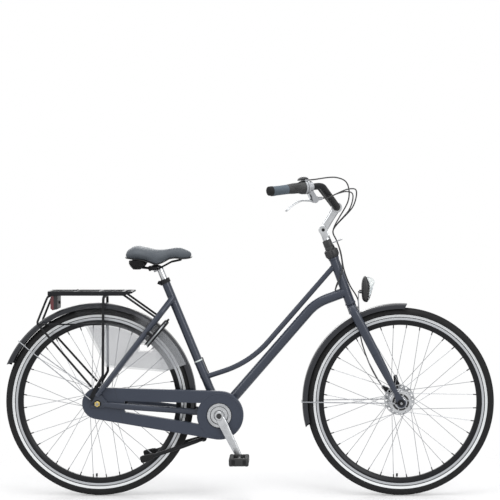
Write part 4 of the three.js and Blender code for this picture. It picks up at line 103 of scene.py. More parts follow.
world = bpy.data.worlds.new("surround")
scene.world = world
world.use_nodes = True
world.node_tree.nodes.clear()
rays = add_node(world, "ShaderNodeLightPath")
seen = add_node(world, "ShaderNodeMath", {"operation": "MAXIMUM"},
                {0: (rays, "Is Camera Ray"), 1: (rays, "Is Glossy Ray")})
clear = add_node(world, "ShaderNodeMath", {"operation": "MAXIMUM"},
                 {0: (seen, 0), 1: (rays, "Is Transmission Ray")})
level = add_node(world, "ShaderNodeMapRange", {"To Min": 0.5, "To Max": 1.0}, {"Value": (clear, 0)})
surround = add_node(world, "ShaderNodeBackground", {"Color": linear("#ffffff")}, {"Strength": (level, 0)})
add_node(world, "ShaderNodeOutputWorld", None, {"Surface": (surround, 0)})

# Painted studio floor: matt and nearly white, so only the soft shadow shows on it.
floor_paint, floor_shader, floor_place = new_material("studio_floor_paint", {
    "Base Color": linear("#f4f4f5"), "Roughness": 0.9,
})
floor_reach = add_node(floor_paint, "ShaderNodeVectorMath", {"operation": "LENGTH"},
                       {0: (floor_place, "Object")})
floor_fade = add_node(floor_paint, "ShaderNodeMapRange", {
    "interpolation_type": "SMOOTHSTEP", "From Min": 0.5, "From Max": 1.7, "To Min": 0.8, "To Max": 0.0,
}, {"Value": (floor_reach, "Value")})
floor_clear = add_node(floor_paint, "ShaderNodeBsdfTransparent")
add_node(floor_paint, "ShaderNodeMixShader", None,
         {0: (floor_fade, 0), 1: (floor_clear, 0), 2: (floor_shader, 0)},
         {0: (floor_paint.node_tree.nodes["Material Output"], "Surface")})
floor_mesh = bpy.data.meshes.new("floor")
floor_mesh.from_pydata([(-4, -4, 0), (4, -4, 0), (4, 4, 0), (-4, 4, 0)], [], [(0, 1, 2, 3)])
floor_mesh.materials.append(floor_paint)
floor = bpy.data.objects.new("floor", floor_mesh)
floor.location.z = -0.0006
scene.collection.objects.link(floor)

for lamp_name, lamp_place, lamp_size, lamp_power in [
    ("lamp_above", (0.2, -0.6, 3.4), 2.6, 60),
    ("lamp_camera_side", (2.6, -3.4, 2.4), 2.0, 62),
    ("lamp_rear", (-3.0, -1.6, 2.0), 1.6, 26),
    ("lamp_far_side", (-0.6, 3.2, 2.2), 2.0, 40),
]:
    lamp_data = bpy.data.lights.new(lamp_name, "AREA")
    lamp_data.size = lamp_size
    lamp_data.energy = lamp_power
    lamp = bpy.data.objects.new(lamp_name, lamp_data)
    lamp.location = lamp_place
    lamp.rotation_euler = (Vector((0, 0, 0.5)) - Vector(lamp_place)).to_track_quat("-Z", "Y").to_euler()
    lamp.visible_camera = False
    scene.collection.objects.link(lamp)

# Main tubes: round steel tubes, mitred and welded, then dipped and stoved with enamel. The down
# tube rises straight and bends flat at the head; the top tube stays low for the step through.

X = Vector((1, 0, 0))
Y = Vector((0, 1, 0))
Z = Vector((0, 0, 1))
RIGHT, LEFT = -1, 1
tyre_radius = 349
guard_radius = 366
reach_of_stays = guard_radius + 80.75
rear_axle = Vector((-558.75, 0, tyre_radius))
front_axle = Vector((558.75, 0, tyre_radius))
bracket = Vector((rear_axle.x + reach_of_stays, 0, 305))


def heading(angle):
    """A direction in the side plane, counted up from straight ahead."""
    return Vector((cos(radians(angle)), 0, sin(radians(angle))))


def sided(point, y):
    """The point moved to a distance on the left."""
    return Vector((point.x, y, point.z))


seat_lean, head_lean = 22.6, 20.4
seat_axis = heading(90 + seat_lean)
steering_axis = heading(90 + head_lean)
seat_tube_length = 538
seat_tube_top = bracket + seat_axis * seat_tube_length
upright = cos(radians(head_lean))
head_foot = Vector((front_axle.x - 46.6 / upright, 0,
                    tyre_radius)) + steering_axis * ((guard_radius - 5) / upright)
head_top = head_foot + steering_axis * 186


def meeting(start, start_heading, end, end_heading):
    """Where two lines in the side plane cross."""
    a, b = heading(start_heading), heading(end_heading)
    gap = end - start
    return start + a * ((gap.x * b.z - gap.z * b.x) / (a.x * b.z - a.z * b.x))


def bent(corners, radius, step=5):
    """Points along straight runs with rounded corners."""
    points = [corners[0].copy()]
    for before, corner, after in zip(corners, corners[1:], corners[2:]):
        into, out = (corner - before).normalized(), (after - corner).normalized()
        turn = into.angle(out)
        start = corner - into * (radius * tan(turn / 2))
        axis = into.cross(out).normalized()
        centre = start + axis.cross(into) * radius
        steps = max(2, ceil(degrees(turn) / step))
        for k in range(steps + 1):
            points.append(centre + Matrix.Rotation(turn * k / steps, 3, axis) @ (start - centre))
    return points + [corners[-1].copy()]


def tube(path, radius, sides=24, across=Y):
    """A closed tube; radius is one number, or a (half width, half height) pair for each point."""
    points, faces = [], []
    sizes = radius if isinstance(radius, list) else [(radius, radius)] * len(path)
    for i, spot in enumerate(path):
        ahead = path[min(i + 1, len(path) - 1)] - path[min(i, len(path) - 2)]
        behind = path[max(i, 1)] - path[max(i - 1, 0)]
        tangent = (ahead.normalized() + behind.normalized()).normalized()
        across = (across - tangent * across.dot(tangent)).normalized()
        up = tangent.cross(across)
        for k in range(sides):
            turn = 2 * pi * k / sides
            points.append(spot + across * (cos(turn) * sizes[i][0]) + up * (sin(turn) * sizes[i][1]))
    for i in range(len(path) - 1):
        for k in range(sides):
            a, b = i * sides + k, i * sides + (k + 1) % sides
            faces.append((a, b, b + sides, a + sides))
    faces.append(tuple(range(sides - 1, -1, -1)))
    faces.append(tuple(range((len(path) - 1) * sides, len(path) * sides)))
    return points, faces


def ease(solid, width, angle):
    """Rounds the edges where two faces meet more sharply than an angle."""
    rounding = solid.modifiers.new("rounded_edges", "BEVEL")
    rounding.width = width * 0.001
    rounding.segments = 2
    rounding.limit_method = "ANGLE"
    rounding.angle_limit = radians(angle)
    rounding.harden_normals = True


def piece(name, parts, body, nodes=(), bevel=0, sharp=32):
    """One object from (geometry, material) parts, riding a body, if any, in place of the given solids."""
    mesh = bpy.data.meshes.new(name)
    points, faces, marks = [], [], []
    for (part_points, part_faces), material in parts:
        if material.name not in mesh.materials:
            mesh.materials.append(material)
        faces += [tuple(len(points) + i for i in face) for face in part_faces]
        marks += [mesh.materials.find(material.name)] * len(part_faces)
        points += [point * 0.001 for point in part_points]
    mesh.from_pydata(points, [], faces)
    mesh.polygons.foreach_set("material_index", marks)
    tidy = bmesh.new()
    tidy.from_mesh(mesh)
    bmesh.ops.recalc_face_normals(tidy, faces=tidy.faces)
    tidy.to_mesh(mesh)
    tidy.free()
    mesh.set_sharp_from_angle(angle=radians(sharp))
    made = bpy.data.objects.new(name, mesh)
    scene.collection.objects.link(made)
    if bevel:
        ease(made, bevel, 40)
    if body:
        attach(made, body)
    if nodes:
        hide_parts(*nodes)
    return made


def finish(name, settings, cloud, tints=None, gloss=None, grain=None, relief=None):
    """A material whose cloudy noise, (size in mm, detail), moves its colour between two tints and its
    roughness between two values, under a finer grain with a (strength, depth in mm) relief."""
    made, shader, place = new_material(name, settings)

    def pattern(size, detail):
        return add_node(made, "ShaderNodeTexNoise", {"Scale": 1000 / size, "Detail": detail},
                        {"Vector": (place, "Object")})

    patches = pattern(*cloud)
    if tints:
        add_node(made, "ShaderNodeMix", {"data_type": "RGBA", 6: linear(tints[0]), 7: linear(tints[1])},
                 {0: (patches, "Fac")}, {2: (shader, "Base Color")})
    if gloss:
        add_node(made, "ShaderNodeMapRange", {"To Min": gloss[0], "To Max": gloss[1]},
                 {"Value": (patches, "Fac")}, {0: (shader, "Roughness")})
    if grain:
        add_node(made, "ShaderNodeBump", {"Strength": relief[0], "Distance": relief[1] * 0.001},
                 {"Height": (pattern(*grain), "Fac")}, {0: (shader, "Normal")})
    return made


# Stoved enamel: an even satin coat whose faint orange peel softens every highlight.
enamel = finish("stoved_enamel", {
    "Metallic": 0.1, "Roughness": 0.34, "Specular IOR Level": 0.35, "Coat Weight": 0.25,
    "Coat Roughness": 0.14,
}, (1000 / 9, 3), ("#2d3340", "#363c49"), grain=(1.8, 1), relief=(0.12, 0.04))


def weld(path_end, direction, radius, bead=2.2):
    """A low bead of weld round the mouth of a tube."""
    lip = [(radius - 1, -bead * 1.6), (radius + bead * 0.5, -bead), (radius + bead, 0),
           (radius + bead * 0.5, bead), (radius - 1, bead * 1.6)]
    return turned(lip, path_end, direction, 40)


def barrel(inner, outer, low, high, edge=0, far_edge=None):
    """A profile for turned: a ring or disc whose edges are eased by a width or an (in, along) pair."""
    near, far = [(e, e) if isinstance(e, (int, float)) else e
                 for e in (edge, edge if far_edge is None else far_edge)]
    return list(dict.fromkeys([
        (inner, low), (outer - near[0], low), (outer, low + near[1]),
        (outer, high - far[1]), (outer - far[0], high), (inner, high),
    ]))


def turned(profile, base, axis=Y, facets=48):
    """A turned solid from (radius, distance along the axis) pairs; off the axis, they close to a ring."""
    closed = profile[0][0] > 1e-6 and profile[-1][0] > 1e-6
    side = (X if abs(axis.dot(X)) < 0.9 else Z).cross(axis).normalized()
    other = axis.cross(side)
    points, faces, rings = [], [], []
    for radius, distance in profile:
        rings.append((len(points), radius > 1e-6))
        for k in range(facets if radius > 1e-6 else 1):
            turn = 2 * pi * k / facets
            points.append(base + axis * distance + (side * cos(turn) + other * sin(turn)) * radius)
    pairs = list(zip(rings, rings[1:])) + ([(rings[-1], rings[0])] if closed else [])
    for (a, a_wide), (b, b_wide) in pairs:
        for k in range(facets):
            n = (k + 1) % facets
            if a_wide and b_wide:
                faces.append((a + k, a + n, b + n, b + k))
            elif a_wide:
                faces.append((a + k, a + n, b))
            elif b_wide:
                faces.append((a, b + n, b + k))
    return points, faces


down_tube_head = head_foot + steering_axis * 50
down_tube_corner = meeting(bracket, 49, down_tube_head, 180 + head_lean)
down_tube_axis = (down_tube_corner - bracket).normalized()
down_tube_path = bent([bracket + down_tube_axis * 12, down_tube_corner, down_tube_head], 165)
piece("down_tube_drawn", [
    (tube(down_tube_path, 19, 32), enamel),
    (weld(down_tube_head - heading(head_lean) * 17.5, heading(head_lean), 18), enamel),
    (weld(bracket + down_tube_axis * 24, down_tube_axis, 18), enamel),
], "frame", ["down_tube"])

top_tube_seat = bracket + seat_axis * 145
top_tube_head = head_top - steering_axis * 26
top_tube_corner = meeting(top_tube_seat, 18, top_tube_head, 229)
piece("top_tube_drawn", [
    (tube(bent([top_tube_seat, top_tube_corner, top_tube_head], 370, 3), 10, 28), enamel),
    (weld(top_tube_seat + heading(18) * 17, heading(18), 9.4, 1.6), enamel),
    (weld(top_tube_head - heading(49) * 19.5, heading(49), 9.4, 1.6), enamel),
], "frame", ["top_tube"])

# Head tube: a stout steel tube turned square at both ends and enamelled with the frame. A pressed
# steel bearing cup is fitted in each end.

piece("head_tube_turned", [
    (turned([(13.1, 1), (18.6, 1), (19.6, 2.4), (19.6, 8.2), (18, 9.4), (18, 176.6), (19.6, 177.8),
             (19.6, 183.6), (18.6, 185), (13.1, 185)], head_foot, steering_axis, 56), enamel),
    (turned(barrel(12.9, 20.2, 0, 3, (2.6, 0.9), 0), head_foot, steering_axis, 56), enamel),
    (turned(barrel(12.9, 20.2, 183, 186, 0, (2.6, 0.9)), head_foot, steering_axis, 56), enamel),
], "frame", ["head_tube"])

# Seat tube and bracket shell: the seat tube is bored for the seatpost and welded into a turned
# shell, with a threaded bearing cup of black steel screwed into each end of the shell.

# Black bearing steel: oiled black oxide, with a dull sheen.
oxide = finish("black_oxide_steel", {"Metallic": 0.6, "Roughness": 0.42}, (14, 3), ("#131416", "#202124"))

# Pale anodised band: a light ring round the seat tube, bright against the enamel.
band = finish("pale_size_band", {"Metallic": 0.3, "Roughness": 0.4}, (5, 2), ("#c3cdcc", "#dbe1e0"))

shell_cup = [(9.2, 0), (17, 0), (17, 2.6), (15.4, 4.4), (9.2, 4.4)]
piece("seat_tube_drawn", [
    (turned([(12.9, seat_tube_length), (15.2, seat_tube_length), (15.9, seat_tube_length - 1), (15.9, 20),
             (12.9, 20)], bracket, seat_axis, 48), enamel),
    (turned(barrel(17.2, 21, -34, 34, (0.6, 1)), bracket, Y, 48), enamel),
    (weld(bracket + seat_axis * 21, seat_axis, 15.4), enamel),
    (turned(barrel(14, 16.1, 208.4, 213.6), bracket, seat_axis, 48), band),
    (turned(shell_cup, bracket + Y * 29.6, Y, 40), oxide),
    (turned(shell_cup, bracket - Y * 29.6, -Y, 40), oxide),
], "frame", ["seat_tube"])

# Stays: drawn tubes that taper to the dropouts. The oval chain stays pass from outside the
# chaincase to inside it, and the round seat stays spread at once to clear the tyre and mudguard.


def flowing(points, steps=8):
    """A smooth line through chosen points."""
    ends = [points[0] * 2 - points[1], *points, points[-1] * 2 - points[-2]]
    path = []
    for p0, p1, p2, p3 in zip(ends, ends[1:], ends[2:], ends[3:]):
        d0, d1, d2 = [(b - a).length ** 0.5 for a, b in ((p0, p1), (p1, p2), (p2, p3))]
        leave = ((p1 - p0) / d0 - (p2 - p0) / (d0 + d1) + (p2 - p1) / d1) * d1
        arrive = ((p2 - p1) / d1 - (p3 - p1) / (d1 + d2) + (p3 - p2) / d2) * d1
        for k in range(steps):
            t = k / steps
            path.append(p1 + leave * t + ((p2 - p1) * 3 - leave * 2 - arrive) * t**2
                        + ((p1 - p2) * 2 + leave + arrive) * t**3)
    return path + [points[-1].copy()]


def arc(centre, radius, start, end, steps):
    """(x, z) pairs on an arc in the side plane."""
    spots = [centre + heading(start + (end - start) * i / steps) * radius for i in range(steps + 1)]
    return [(spot.x, spot.z) for spot in spots]


def around(x, z, pairs):
    """(x, z) pairs that are counted from a point."""
    return [(x + a, z + b) for a, b in pairs]


def plate(outline, low, high, holes=()):
    """A flat plate cut from an (x, z) outline, between two distances to the left."""
    loops = [[Vector((x, z, 0)) for x, z in loop] for loop in (outline, *holes)]
    corners = [corner for loop in loops for corner in loop]
    count = len(corners)
    points = [Vector((c.x, y, c.y)) for y in (low, high) for c in corners]
    faces = []
    for a, b, c in tessellate_polygon(loops):
        faces += [(a, b, c), (c + count, b + count, a + count)]
    start = 0
    for loop in loops:
        for k in range(len(loop)):
            a, b = start + k, start + (k + 1) % len(loop)
            faces.append((a, b, b + count, a + count))
        start += len(loop)
    return points, faces


def strap(start, start_radius, end, end_radius, steps=12):
    """The outline round two circles in the side plane and the straight runs between them."""
    reach = end - start
    lean = degrees(atan2(reach.z, reach.x))
    wrap = degrees(acos((start_radius - end_radius) / reach.length))
    return arc(start, start_radius, lean + wrap, lean + 360 - wrap, steps) \
        + arc(end, end_radius, lean - wrap, lean + wrap, steps)


def block(middle, length, width, height, lean=0):
    """A box with its middle at a point, its length leaning in the side plane."""
    ahead, up = heading(lean) * (length / 2), heading(lean + 90) * (height / 2)
    side = Y * (width / 2)
    signs = [(i, j, k) for i in (-1, 1) for j in (-1, 1) for k in (-1, 1)]
    points = [middle + ahead * i + side * j + up * k for i, j, k in signs]
    return points, [(0, 1, 3, 2), (4, 6, 7, 5), (0, 4, 5, 1), (2, 3, 7, 6), (0, 2, 6, 4), (1, 5, 7, 3)]


rear_dropout_side = 67.5
dropout_thickness = 6
axle_slot = 5.3
stay_outside = rear_dropout_side + 5.6
guard_front_x = rear_axle.x + guard_radius


def chain_stay_point(x, y):
    """A point on a chain stay's line."""
    return Vector((x, y, rear_axle.z - 44 * (x - rear_axle.x) / reach_of_stays))


chain_stay_parts = []
for side in (RIGHT, LEFT):
    chain_stay_spots = [
        (rear_axle.x + 17, stay_outside), (rear_axle.x + reach_of_stays * 0.2, stay_outside),
        (rear_axle.x + reach_of_stays * 0.3, stay_outside - 3.76),
        (rear_axle.x + reach_of_stays * 0.62, 43), (guard_front_x - 30, 35.5),
        (guard_front_x + 15, 35.5), (bracket.x - 6, 27.3),
    ]
    path = flowing([chain_stay_point(x, side * y) for x, y in chain_stay_spots], 6)
    sizes = [(6 * min(1, 0.55 + i / 8), 11 * min(1, 0.7 + i / 12)) for i in range(len(path))]
    chain_stay_parts.append((tube(path, sizes, 24), enamel))
    outline = around(rear_axle.x, rear_axle.z, [
        (-26, -axle_slot), (-26, -9), (-21, -14), (24, -14), (34, -9), (34, 10), (26, 17), (17, 30),
        (14, 32), (-10, 32), (-15, 28), (-26, 12), (-26, axle_slot),
    ]) + arc(rear_axle, axle_slot, 90, -90, 12)
    chain_stay_parts.append((plate(
        outline, side * rear_dropout_side, side * (rear_dropout_side + dropout_thickness),
        [arc(rear_axle + X * 25 - Z * 5, 2.6, 0, 330, 11)],
    ), enamel))

# The stand plate bridges the chain stays behind the shell and carries the stand's eye below.
stand_plate_x = bracket.x - 55
stand_pivot = Vector((stand_plate_x - 5.5, 0, bracket.z - 92))
stand_plate_top = chain_stay_point(stand_plate_x, 0)
chain_stay_parts += [
    (block(stand_plate_top, 44, 71, 5, -5.63), enamel),
    (plate([
        (stand_pivot.x - 9, stand_pivot.z), (stand_pivot.x + 9, stand_pivot.z),
        (stand_plate_x + 14, stand_plate_top.z - 2), (stand_plate_x - 14, stand_plate_top.z - 2),
    ], -12, 12), enamel),
    (turned(barrel(5.4, 11, -12, 12, 0.6), stand_pivot, Y, 32), enamel),
]
piece("chain_stays_welded", chain_stay_parts, "frame", ["chain_stays"], bevel=0.7)

stay_top = seat_tube_top - seat_axis * 76
stay_foot = Vector((rear_axle.x - 6, 0, rear_axle.z + 24))


def seat_stay_point(share, side):
    """A point on a seat stay, by its share of the way down."""
    spot = stay_top.lerp(stay_foot, share)
    if share < 0.15:
        return sided(spot, side * (17 + (42 - 17) * share / 0.15))
    return sided(spot, side * (42 + (76.4 - 42) * (min(share, 0.8) - 0.15) / 0.65))


seat_stay_parts = []
for side in (RIGHT, LEFT):
    shares = [-0.012, 0.05, 0.11, 0.15, 0.2, 0.4, 0.6, 0.77, 0.83, 0.92, 0.985]
    path = flowing([seat_stay_point(share, side) for share in shares], 5)
    seat_stay_parts.append((tube(path, [
        (11.5 - 2.5 * i / (len(path) - 1),) * 2 if i < len(path) - 3 else (7.4, 8.6)
        for i in range(len(path))
    ], 28), enamel))
seat_stay_parts.append((tube([seat_stay_point(0.13, RIGHT), seat_stay_point(0.13, LEFT)], 7, 24, Z), enamel))
piece("seat_stays_welded", seat_stay_parts, "frame", ["seat_stays"])


def dress(node, material, bevel=0, sharp=32):
    """A solid that keeps its own mesh gets its finish, smooth faces and eased edges."""
    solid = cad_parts[node]
    solid.data.materials.clear()
    solid.data.materials.append(material)
    solid.data.set_sharp_from_angle(angle=radians(sharp))
    if bevel:
        ease(solid, bevel, 32)
    return solid


# Seat clamp: a split collar of forged steel, oiled and blackened, round the seat tube's mouth. A
# cross bolt draws it shut on the seatpost.

dress("seat_clamp", oxide, 0.6)

# Wheels: extruded aluminium rims, welded into hoops and anodised black, with flanks machined bright
# where the tyre meets them, and 36 stainless spokes laced three across to black nipples.

# Anodised black: a smooth dark oxide with a soft metallic sheen.
anodised = finish("black_anodised_aluminium", {
    "Metallic": 0.4, "Roughness": 0.36, "Specular IOR Level": 0.3,
}, (9, 2), ("#101113", "#1d1e21"))

# Machined flank: fine marks left by the lathe's tool, bright and slightly streaked. The marks are
# 0.1 mm apart on the real rim and drawn 0.8 mm apart, so that they show.
machined = finish("machined_aluminium", {"Metallic": 1.0, "Roughness": 0.34}, (0.8, 1),
                  ("#9fa2a6", "#c6c8cb"))

# Stainless wire: cold drawn, bright and hard.
stainless = finish("drawn_stainless_wire", {"Metallic": 1.0}, (30, 2), ("#85878b", "#a4a6a9"), (0.22, 0.4))

rim_profile = [
    (284, -4.6), (284.6, -6), (286, -7), (296.8, -12.2), (298, -12.5), (303, -12.5), (311.2, -12.5),
    (312, -11.8), (312, -10.6), (309.6, -10), (305.5, -9.2), (303.6, -7.4), (303, -5), (303, 5),
    (303.6, 7.4), (305.5, 9.2), (309.6, 10), (312, 10.6), (312, 11.8), (311.2, 12.5), (303, 12.5),
    (298, 12.5), (296.8, 12.2), (286, 7), (284.6, 6), (284, 4.6),
]
flank_profile = [(303.2, 12.4), (303.4, 12.66), (311.3, 12.66), (311.9, 12.2)]
for body, centre in (("front_wheel", front_axle), ("rear_wheel", rear_axle)):
    name = body.split("_")[0]
    piece(f"{name}_rim_extruded", [
        (turned(rim_profile, centre, Y, 180), anodised),
        (turned(flank_profile, centre, Y, 180), machined),
        (turned(flank_profile, centre, -Y, 180), machined),
        (tube([centre + heading(267.5) * 268, centre + heading(267.5) * 286], 2.9, 16), machined),
        (turned([(0, 0), (2.6, 0.4), (3.6, 1.6), (3.6, 11), (3.2, 12), (0, 12)],
                centre + heading(267.5) * 268, heading(267.5), 20), anodised),
    ], body, [f"{name}_rim"])

# Tyres: moulded rubber, round in section, with two grooves and cross cuts in the tread and a woven
# reflective stripe vulcanised into each flank.

# Tyre rubber: matt and nearly black, greyer in patches where dust has stuck, with fine pores.
rubber = finish("moulded_tyre_rubber", {
    "Roughness": 0.8, "IOR": 1.5, "Specular IOR Level": 0.25,
}, (12, 4), ("#131314", "#242425"), grain=(0.9, 2), relief=(0.35, 0.1))

# Reflective weave: a pale tape of glass beads, its grain drawn 1 mm across.
stripe = finish("reflective_tape", {"Roughness": 0.5, "Metallic": 0.1}, (1, 2), ("#d3d6d8", "#eef0f1"))

tyre_round = 18.5
tyre_middle = tyre_radius - tyre_round


def tyre_spot(turn, proud=0.0):
    """(radius, side) on the tyre's round section, by its turn from the crown."""
    t = radians(turn)
    return tyre_middle + (tyre_round + proud) * cos(t), (tyre_round + proud) * sin(t)


tyre_half = [tyre_spot(turn, proud) for turn, proud in (
    (0, 0), (10, 0), (13, 0), (14, -1.2), (18, -1.2), (19, -0.1), (30, -0.1), (38, -0.2), (39, -1), (43, -1),
    (44, -0.3), (55, -0.2), (68, 0), (80, 0), (92, 0), (104, 0), (116, 0), (128, 0), (134, 0),
)] + [(315.8, 13), (313.6, 12.6), (312.4, 12.1), (309, 9.6), (304, 8.8)]
tyre_profile = [(r, -y) for r, y in reversed(tyre_half)] + tyre_half[1:]
stripe_profile = [tyre_spot(t, 0.24) for t in (113, 118, 123, 128, 133)] + [(315.8, 13.25), (314.6, 12.95)] \
    + [(314.6, 12.3), tyre_spot(133, -0.5), tyre_spot(113, -0.5)]


def tread_cuts(geometry, centre):
    """Every fourth corner round the tread's shoulder is drawn in, as its cross cuts."""
    points, faces = geometry
    cut_points = []
    for i, point in enumerate(points):
        reach = point - centre
        radius = hypot(reach.x, reach.z)
        if radius > 341 and abs(reach.y) > 5.2 and (i % 240) % 4 == 0:
            point = centre + Vector((reach.x * (1 - 1.3 / radius), reach.y * 0.99,
                                     reach.z * (1 - 1.3 / radius)))
        cut_points.append(point)
    return cut_points, faces


for body, centre in (("front_wheel", front_axle), ("rear_wheel", rear_axle)):
    name = body.split("_")[0]
    carcass = tread_cuts(turned(tyre_profile, centre, Y, 240), centre)
    piece(f"{name}_tyre_moulded", [
        (carcass, rubber),
        (turned(stripe_profile, centre, Y, 180), stripe),
        (turned(stripe_profile, centre, -Y, 180), stripe),
    ], body, [f"{name}_tyre"])

# Hubs: aluminium shells turned between two flanges and polished. The front one has a stepped end
# cap on the right, and on the left a pressed cooling disc with round vents; the rear one holds gears.

# Polished aluminium: bright and neutral, with faint cloudy dulling.
polished = finish("polished_aluminium", {"Metallic": 1.0}, (22, 4), ("#9b9da0", "#cfd1d3"), (0.18, 0.36))

# Glass-filled nylon: black, with the dry sheen and fine grain of its mould.
nylon = finish("moulded_black_nylon", {"Roughness": 0.5, "IOR": 1.53}, (16, 3), ("#101113", "#1d1e20"),
               grain=(0.8, 2), relief=(0.3, 0.08))


spoke_count = 36


def laced_spokes(centre, right_flange, left_flange, hole_radius):
    """The spokes and their nipples, leading and trailing on each side."""
    spokes, nipples = [], []
    for index in range(spoke_count):
        flange = right_flange if index % 2 == 0 else left_flange
        lead = 1 if index % 4 < 2 else -1
        layer = (-1 if index % 2 == 0 else 1) * lead * 1.9
        turn = 360 / spoke_count * (index + 0.5)
        rim_heading = heading(turn)
        foot = centre + sided(heading(turn + lead * 52) * hole_radius, flange + layer)
        head = centre + rim_heading * 284.5
        run = (head - foot).normalized()
        spokes.append((tube([foot, head], 1.05, 8, X if abs(run.x) < 0.9 else Z), stainless))
        spokes.append((turned([(0, -1.4), (1.6, -1), (2, 0), (1.6, 1), (0, 1.4)], foot, Y, 12), stainless))
        nipples.append((turned([(0, 0), (1.6, 0), (2.1, 1.4), (2.1, 11), (2.6, 12.5), (0, 12.5)],
                               head - run * 12.5, run, 12), nylon))
    return spokes + nipples


def ring_of_vents(centre, y_low, y_high, inner, outer, vents, vent_radius, vent_size):
    """A flat ring with a row of round vents."""
    holes = [arc(centre, inner, 0, 350, 35)]
    for i in range(vents):
        holes.append(arc(centre + heading(360 * i / vents) * vent_radius, vent_size, 0, 330, 11))
    return plate(arc(centre, outer, 0, 357, 119), y_low, y_high, holes)


hub_shell = [(0, -30), (20, -30), (31, -28.5), (41, -28.5), (42, -27.8), (42, -26.2), (41, -25.5), (36, -25),
             (35, -22), (35, 19), (36, 22), (41, 22.5), (42, 23.2), (42, 24.8), (41, 25.5), (26, 25.5),
             (26, 35.9), (0, 35.9)]
hub_parts = laced_spokes(front_axle, -27, 24, 39) + [
    (turned(hub_shell, front_axle, Y, 72), polished),
    (turned([(0, -43), (9, -43), (13, -42), (18.2, -40), (19, -38.5), (19, -29), (0, -29)],
            front_axle, Y, 48), polished),
    (turned(barrel(24, 31, -31.4, -28, (1, 0.8), 0), front_axle, Y, 60), nylon),
    (turned(barrel(19.2, 24, -32.4, -28, 0.8, 0), front_axle, Y, 60), machined),
    (ring_of_vents(front_axle, 36, 38.4, 20, 57, 18, 49.5, 4.2), polished),
    (turned(barrel(15, 26, 35, 40), front_axle, Y, 48), polished),
]
for i in range(6):
    rib = front_axle + heading(60 * i + 12) * 27.4
    hub_parts.append((turned(barrel(0, 2.8, -32.6, -31, 0.6, 0), rib, Y, 16), polished))
piece("front_hub_turned", hub_parts, "front_wheel", ["front_hub"], sharp=28)

rear_shell = [(0, -48), (15.5, -48), (17, -46.5), (17, -29), (24, -27.5), (43, -26.6), (44, -25.8),
              (44, -24.2), (43, -23.5), (35, -23), (33, -20), (33, 20), (35, 23), (43, 23.5), (44, 24.2),
              (44, 25.8), (43, 26.5), (27, 26.8), (27, 40.6), (25.6, 42), (0, 42)]
piece("rear_hub_turned",
      laced_spokes(rear_axle, -25, 25, 41) + [(turned(rear_shell, rear_axle, Y, 72), polished)],
      "rear_wheel", ["rear_hub"], sharp=28)

# Axles: bright steel rods with a hexagon locknut inside each dropout, and outside it a black washer
# and a hexagon nut. The front nuts are blackened, the rear ones yellow passivated.

# Yellow passivated zinc: warm straw with a faint rainbow of olive and gold.
passivated = finish("yellow_passivated_zinc", {"Metallic": 1.0, "Roughness": 0.34}, (7, 2),
                    ("#b79a4f", "#d6c78a"))


fit_gap = 0.3


def axle_half(centre, axis, stop, plate_in, plate_out, nut_material):
    """One end of an axle: rod, locknut, washer and nut."""
    inner, outer = plate_in - fit_gap, plate_out + fit_gap
    return [
        (turned(barrel(0, 4.9, 0, outer + 16, 0, 0.8), centre, axis, 32), stainless),
        (turned(barrel(0, 8.5, stop, inner, (0.7, 0.8), (0.6, 0.5)), centre, axis, 6), nut_material),
        (turned(barrel(5, 13, outer, outer + 2, 0, 0.6), centre, axis, 40), anodised),
        (turned(barrel(4.6, 11, outer + 2, outer + 10, 0, (1.4, 1.2)), centre, axis, 6), nut_material),
    ]


front_dropout_side, front_dropout_thickness = 50.5, 5
front_plate = (front_dropout_side, front_dropout_side + front_dropout_thickness)
rear_plate = (rear_dropout_side, rear_dropout_side + dropout_thickness)
for name, body, slot, centre, stops, dropout, nut_material in (
    ("front", "steering", "black_metal", front_axle, (49.6, 43.3), front_plate, oxide),
    ("rear", "frame", "passivated_steel", rear_axle, (62, 62), rear_plate, passivated),
):
    piece(f"{name}_axle_turned", axle_half(centre, Y, stops[0], *dropout, nut_material)
          + axle_half(centre, -Y, stops[1], *dropout, nut_material), body, [f"{name}_axle"], bevel=0.3)

# Chaincase: a moulded shell round the whole chain, in the frame's colour, with a window between its
# two arms. Its rear end is a separate cover, and raised rings mark the front disc and its opening.

# Moulded case plastic: satin, with a fine sparked texture from the mould.
case_plastic = finish("moulded_case_plastic", {
    "Roughness": 0.4, "IOR": 1.49, "Specular IOR Level": 0.35,
}, (1000 / 7, 3), ("#323845", "#3b414e"), grain=(1.1, 2), relief=(0.18, 0.05))

case_inside, case_outside = 45, 66


def loft(rings):
    """A closed skin through rings of as many points each."""
    count = len(rings[0])
    points = [point for loop in rings for point in loop]
    faces = [tuple(range(count - 1, -1, -1)), tuple(range((len(rings) - 1) * count, len(rings) * count))]
    for i in range(len(rings) - 1):
        for k in range(count):
            a, b = i * count + k, i * count + (k + 1) % count
            faces.append((a, b, b + count, a + count))
    return points, faces


def belt(inset, steps=36):
    """The case's outline, drawn in by a distance."""
    return strap(rear_axle, 58 - inset, bracket, 89.5 - inset, steps)


def belt_ring(profile):
    """A closed (inset, side) profile carried round the case's outline."""
    rings = [[Vector((x, y, z)) for x, z in belt(inset)] for inset, y in profile]
    count, points, faces = len(rings[0]), [p for loop in rings for p in loop], []
    for i in range(len(rings)):
        j = (i + 1) % len(rings)
        for k in range(count):
            n = (k + 1) % count
            faces.append((i * count + k, i * count + n, j * count + n, j * count + k))
    return points, faces


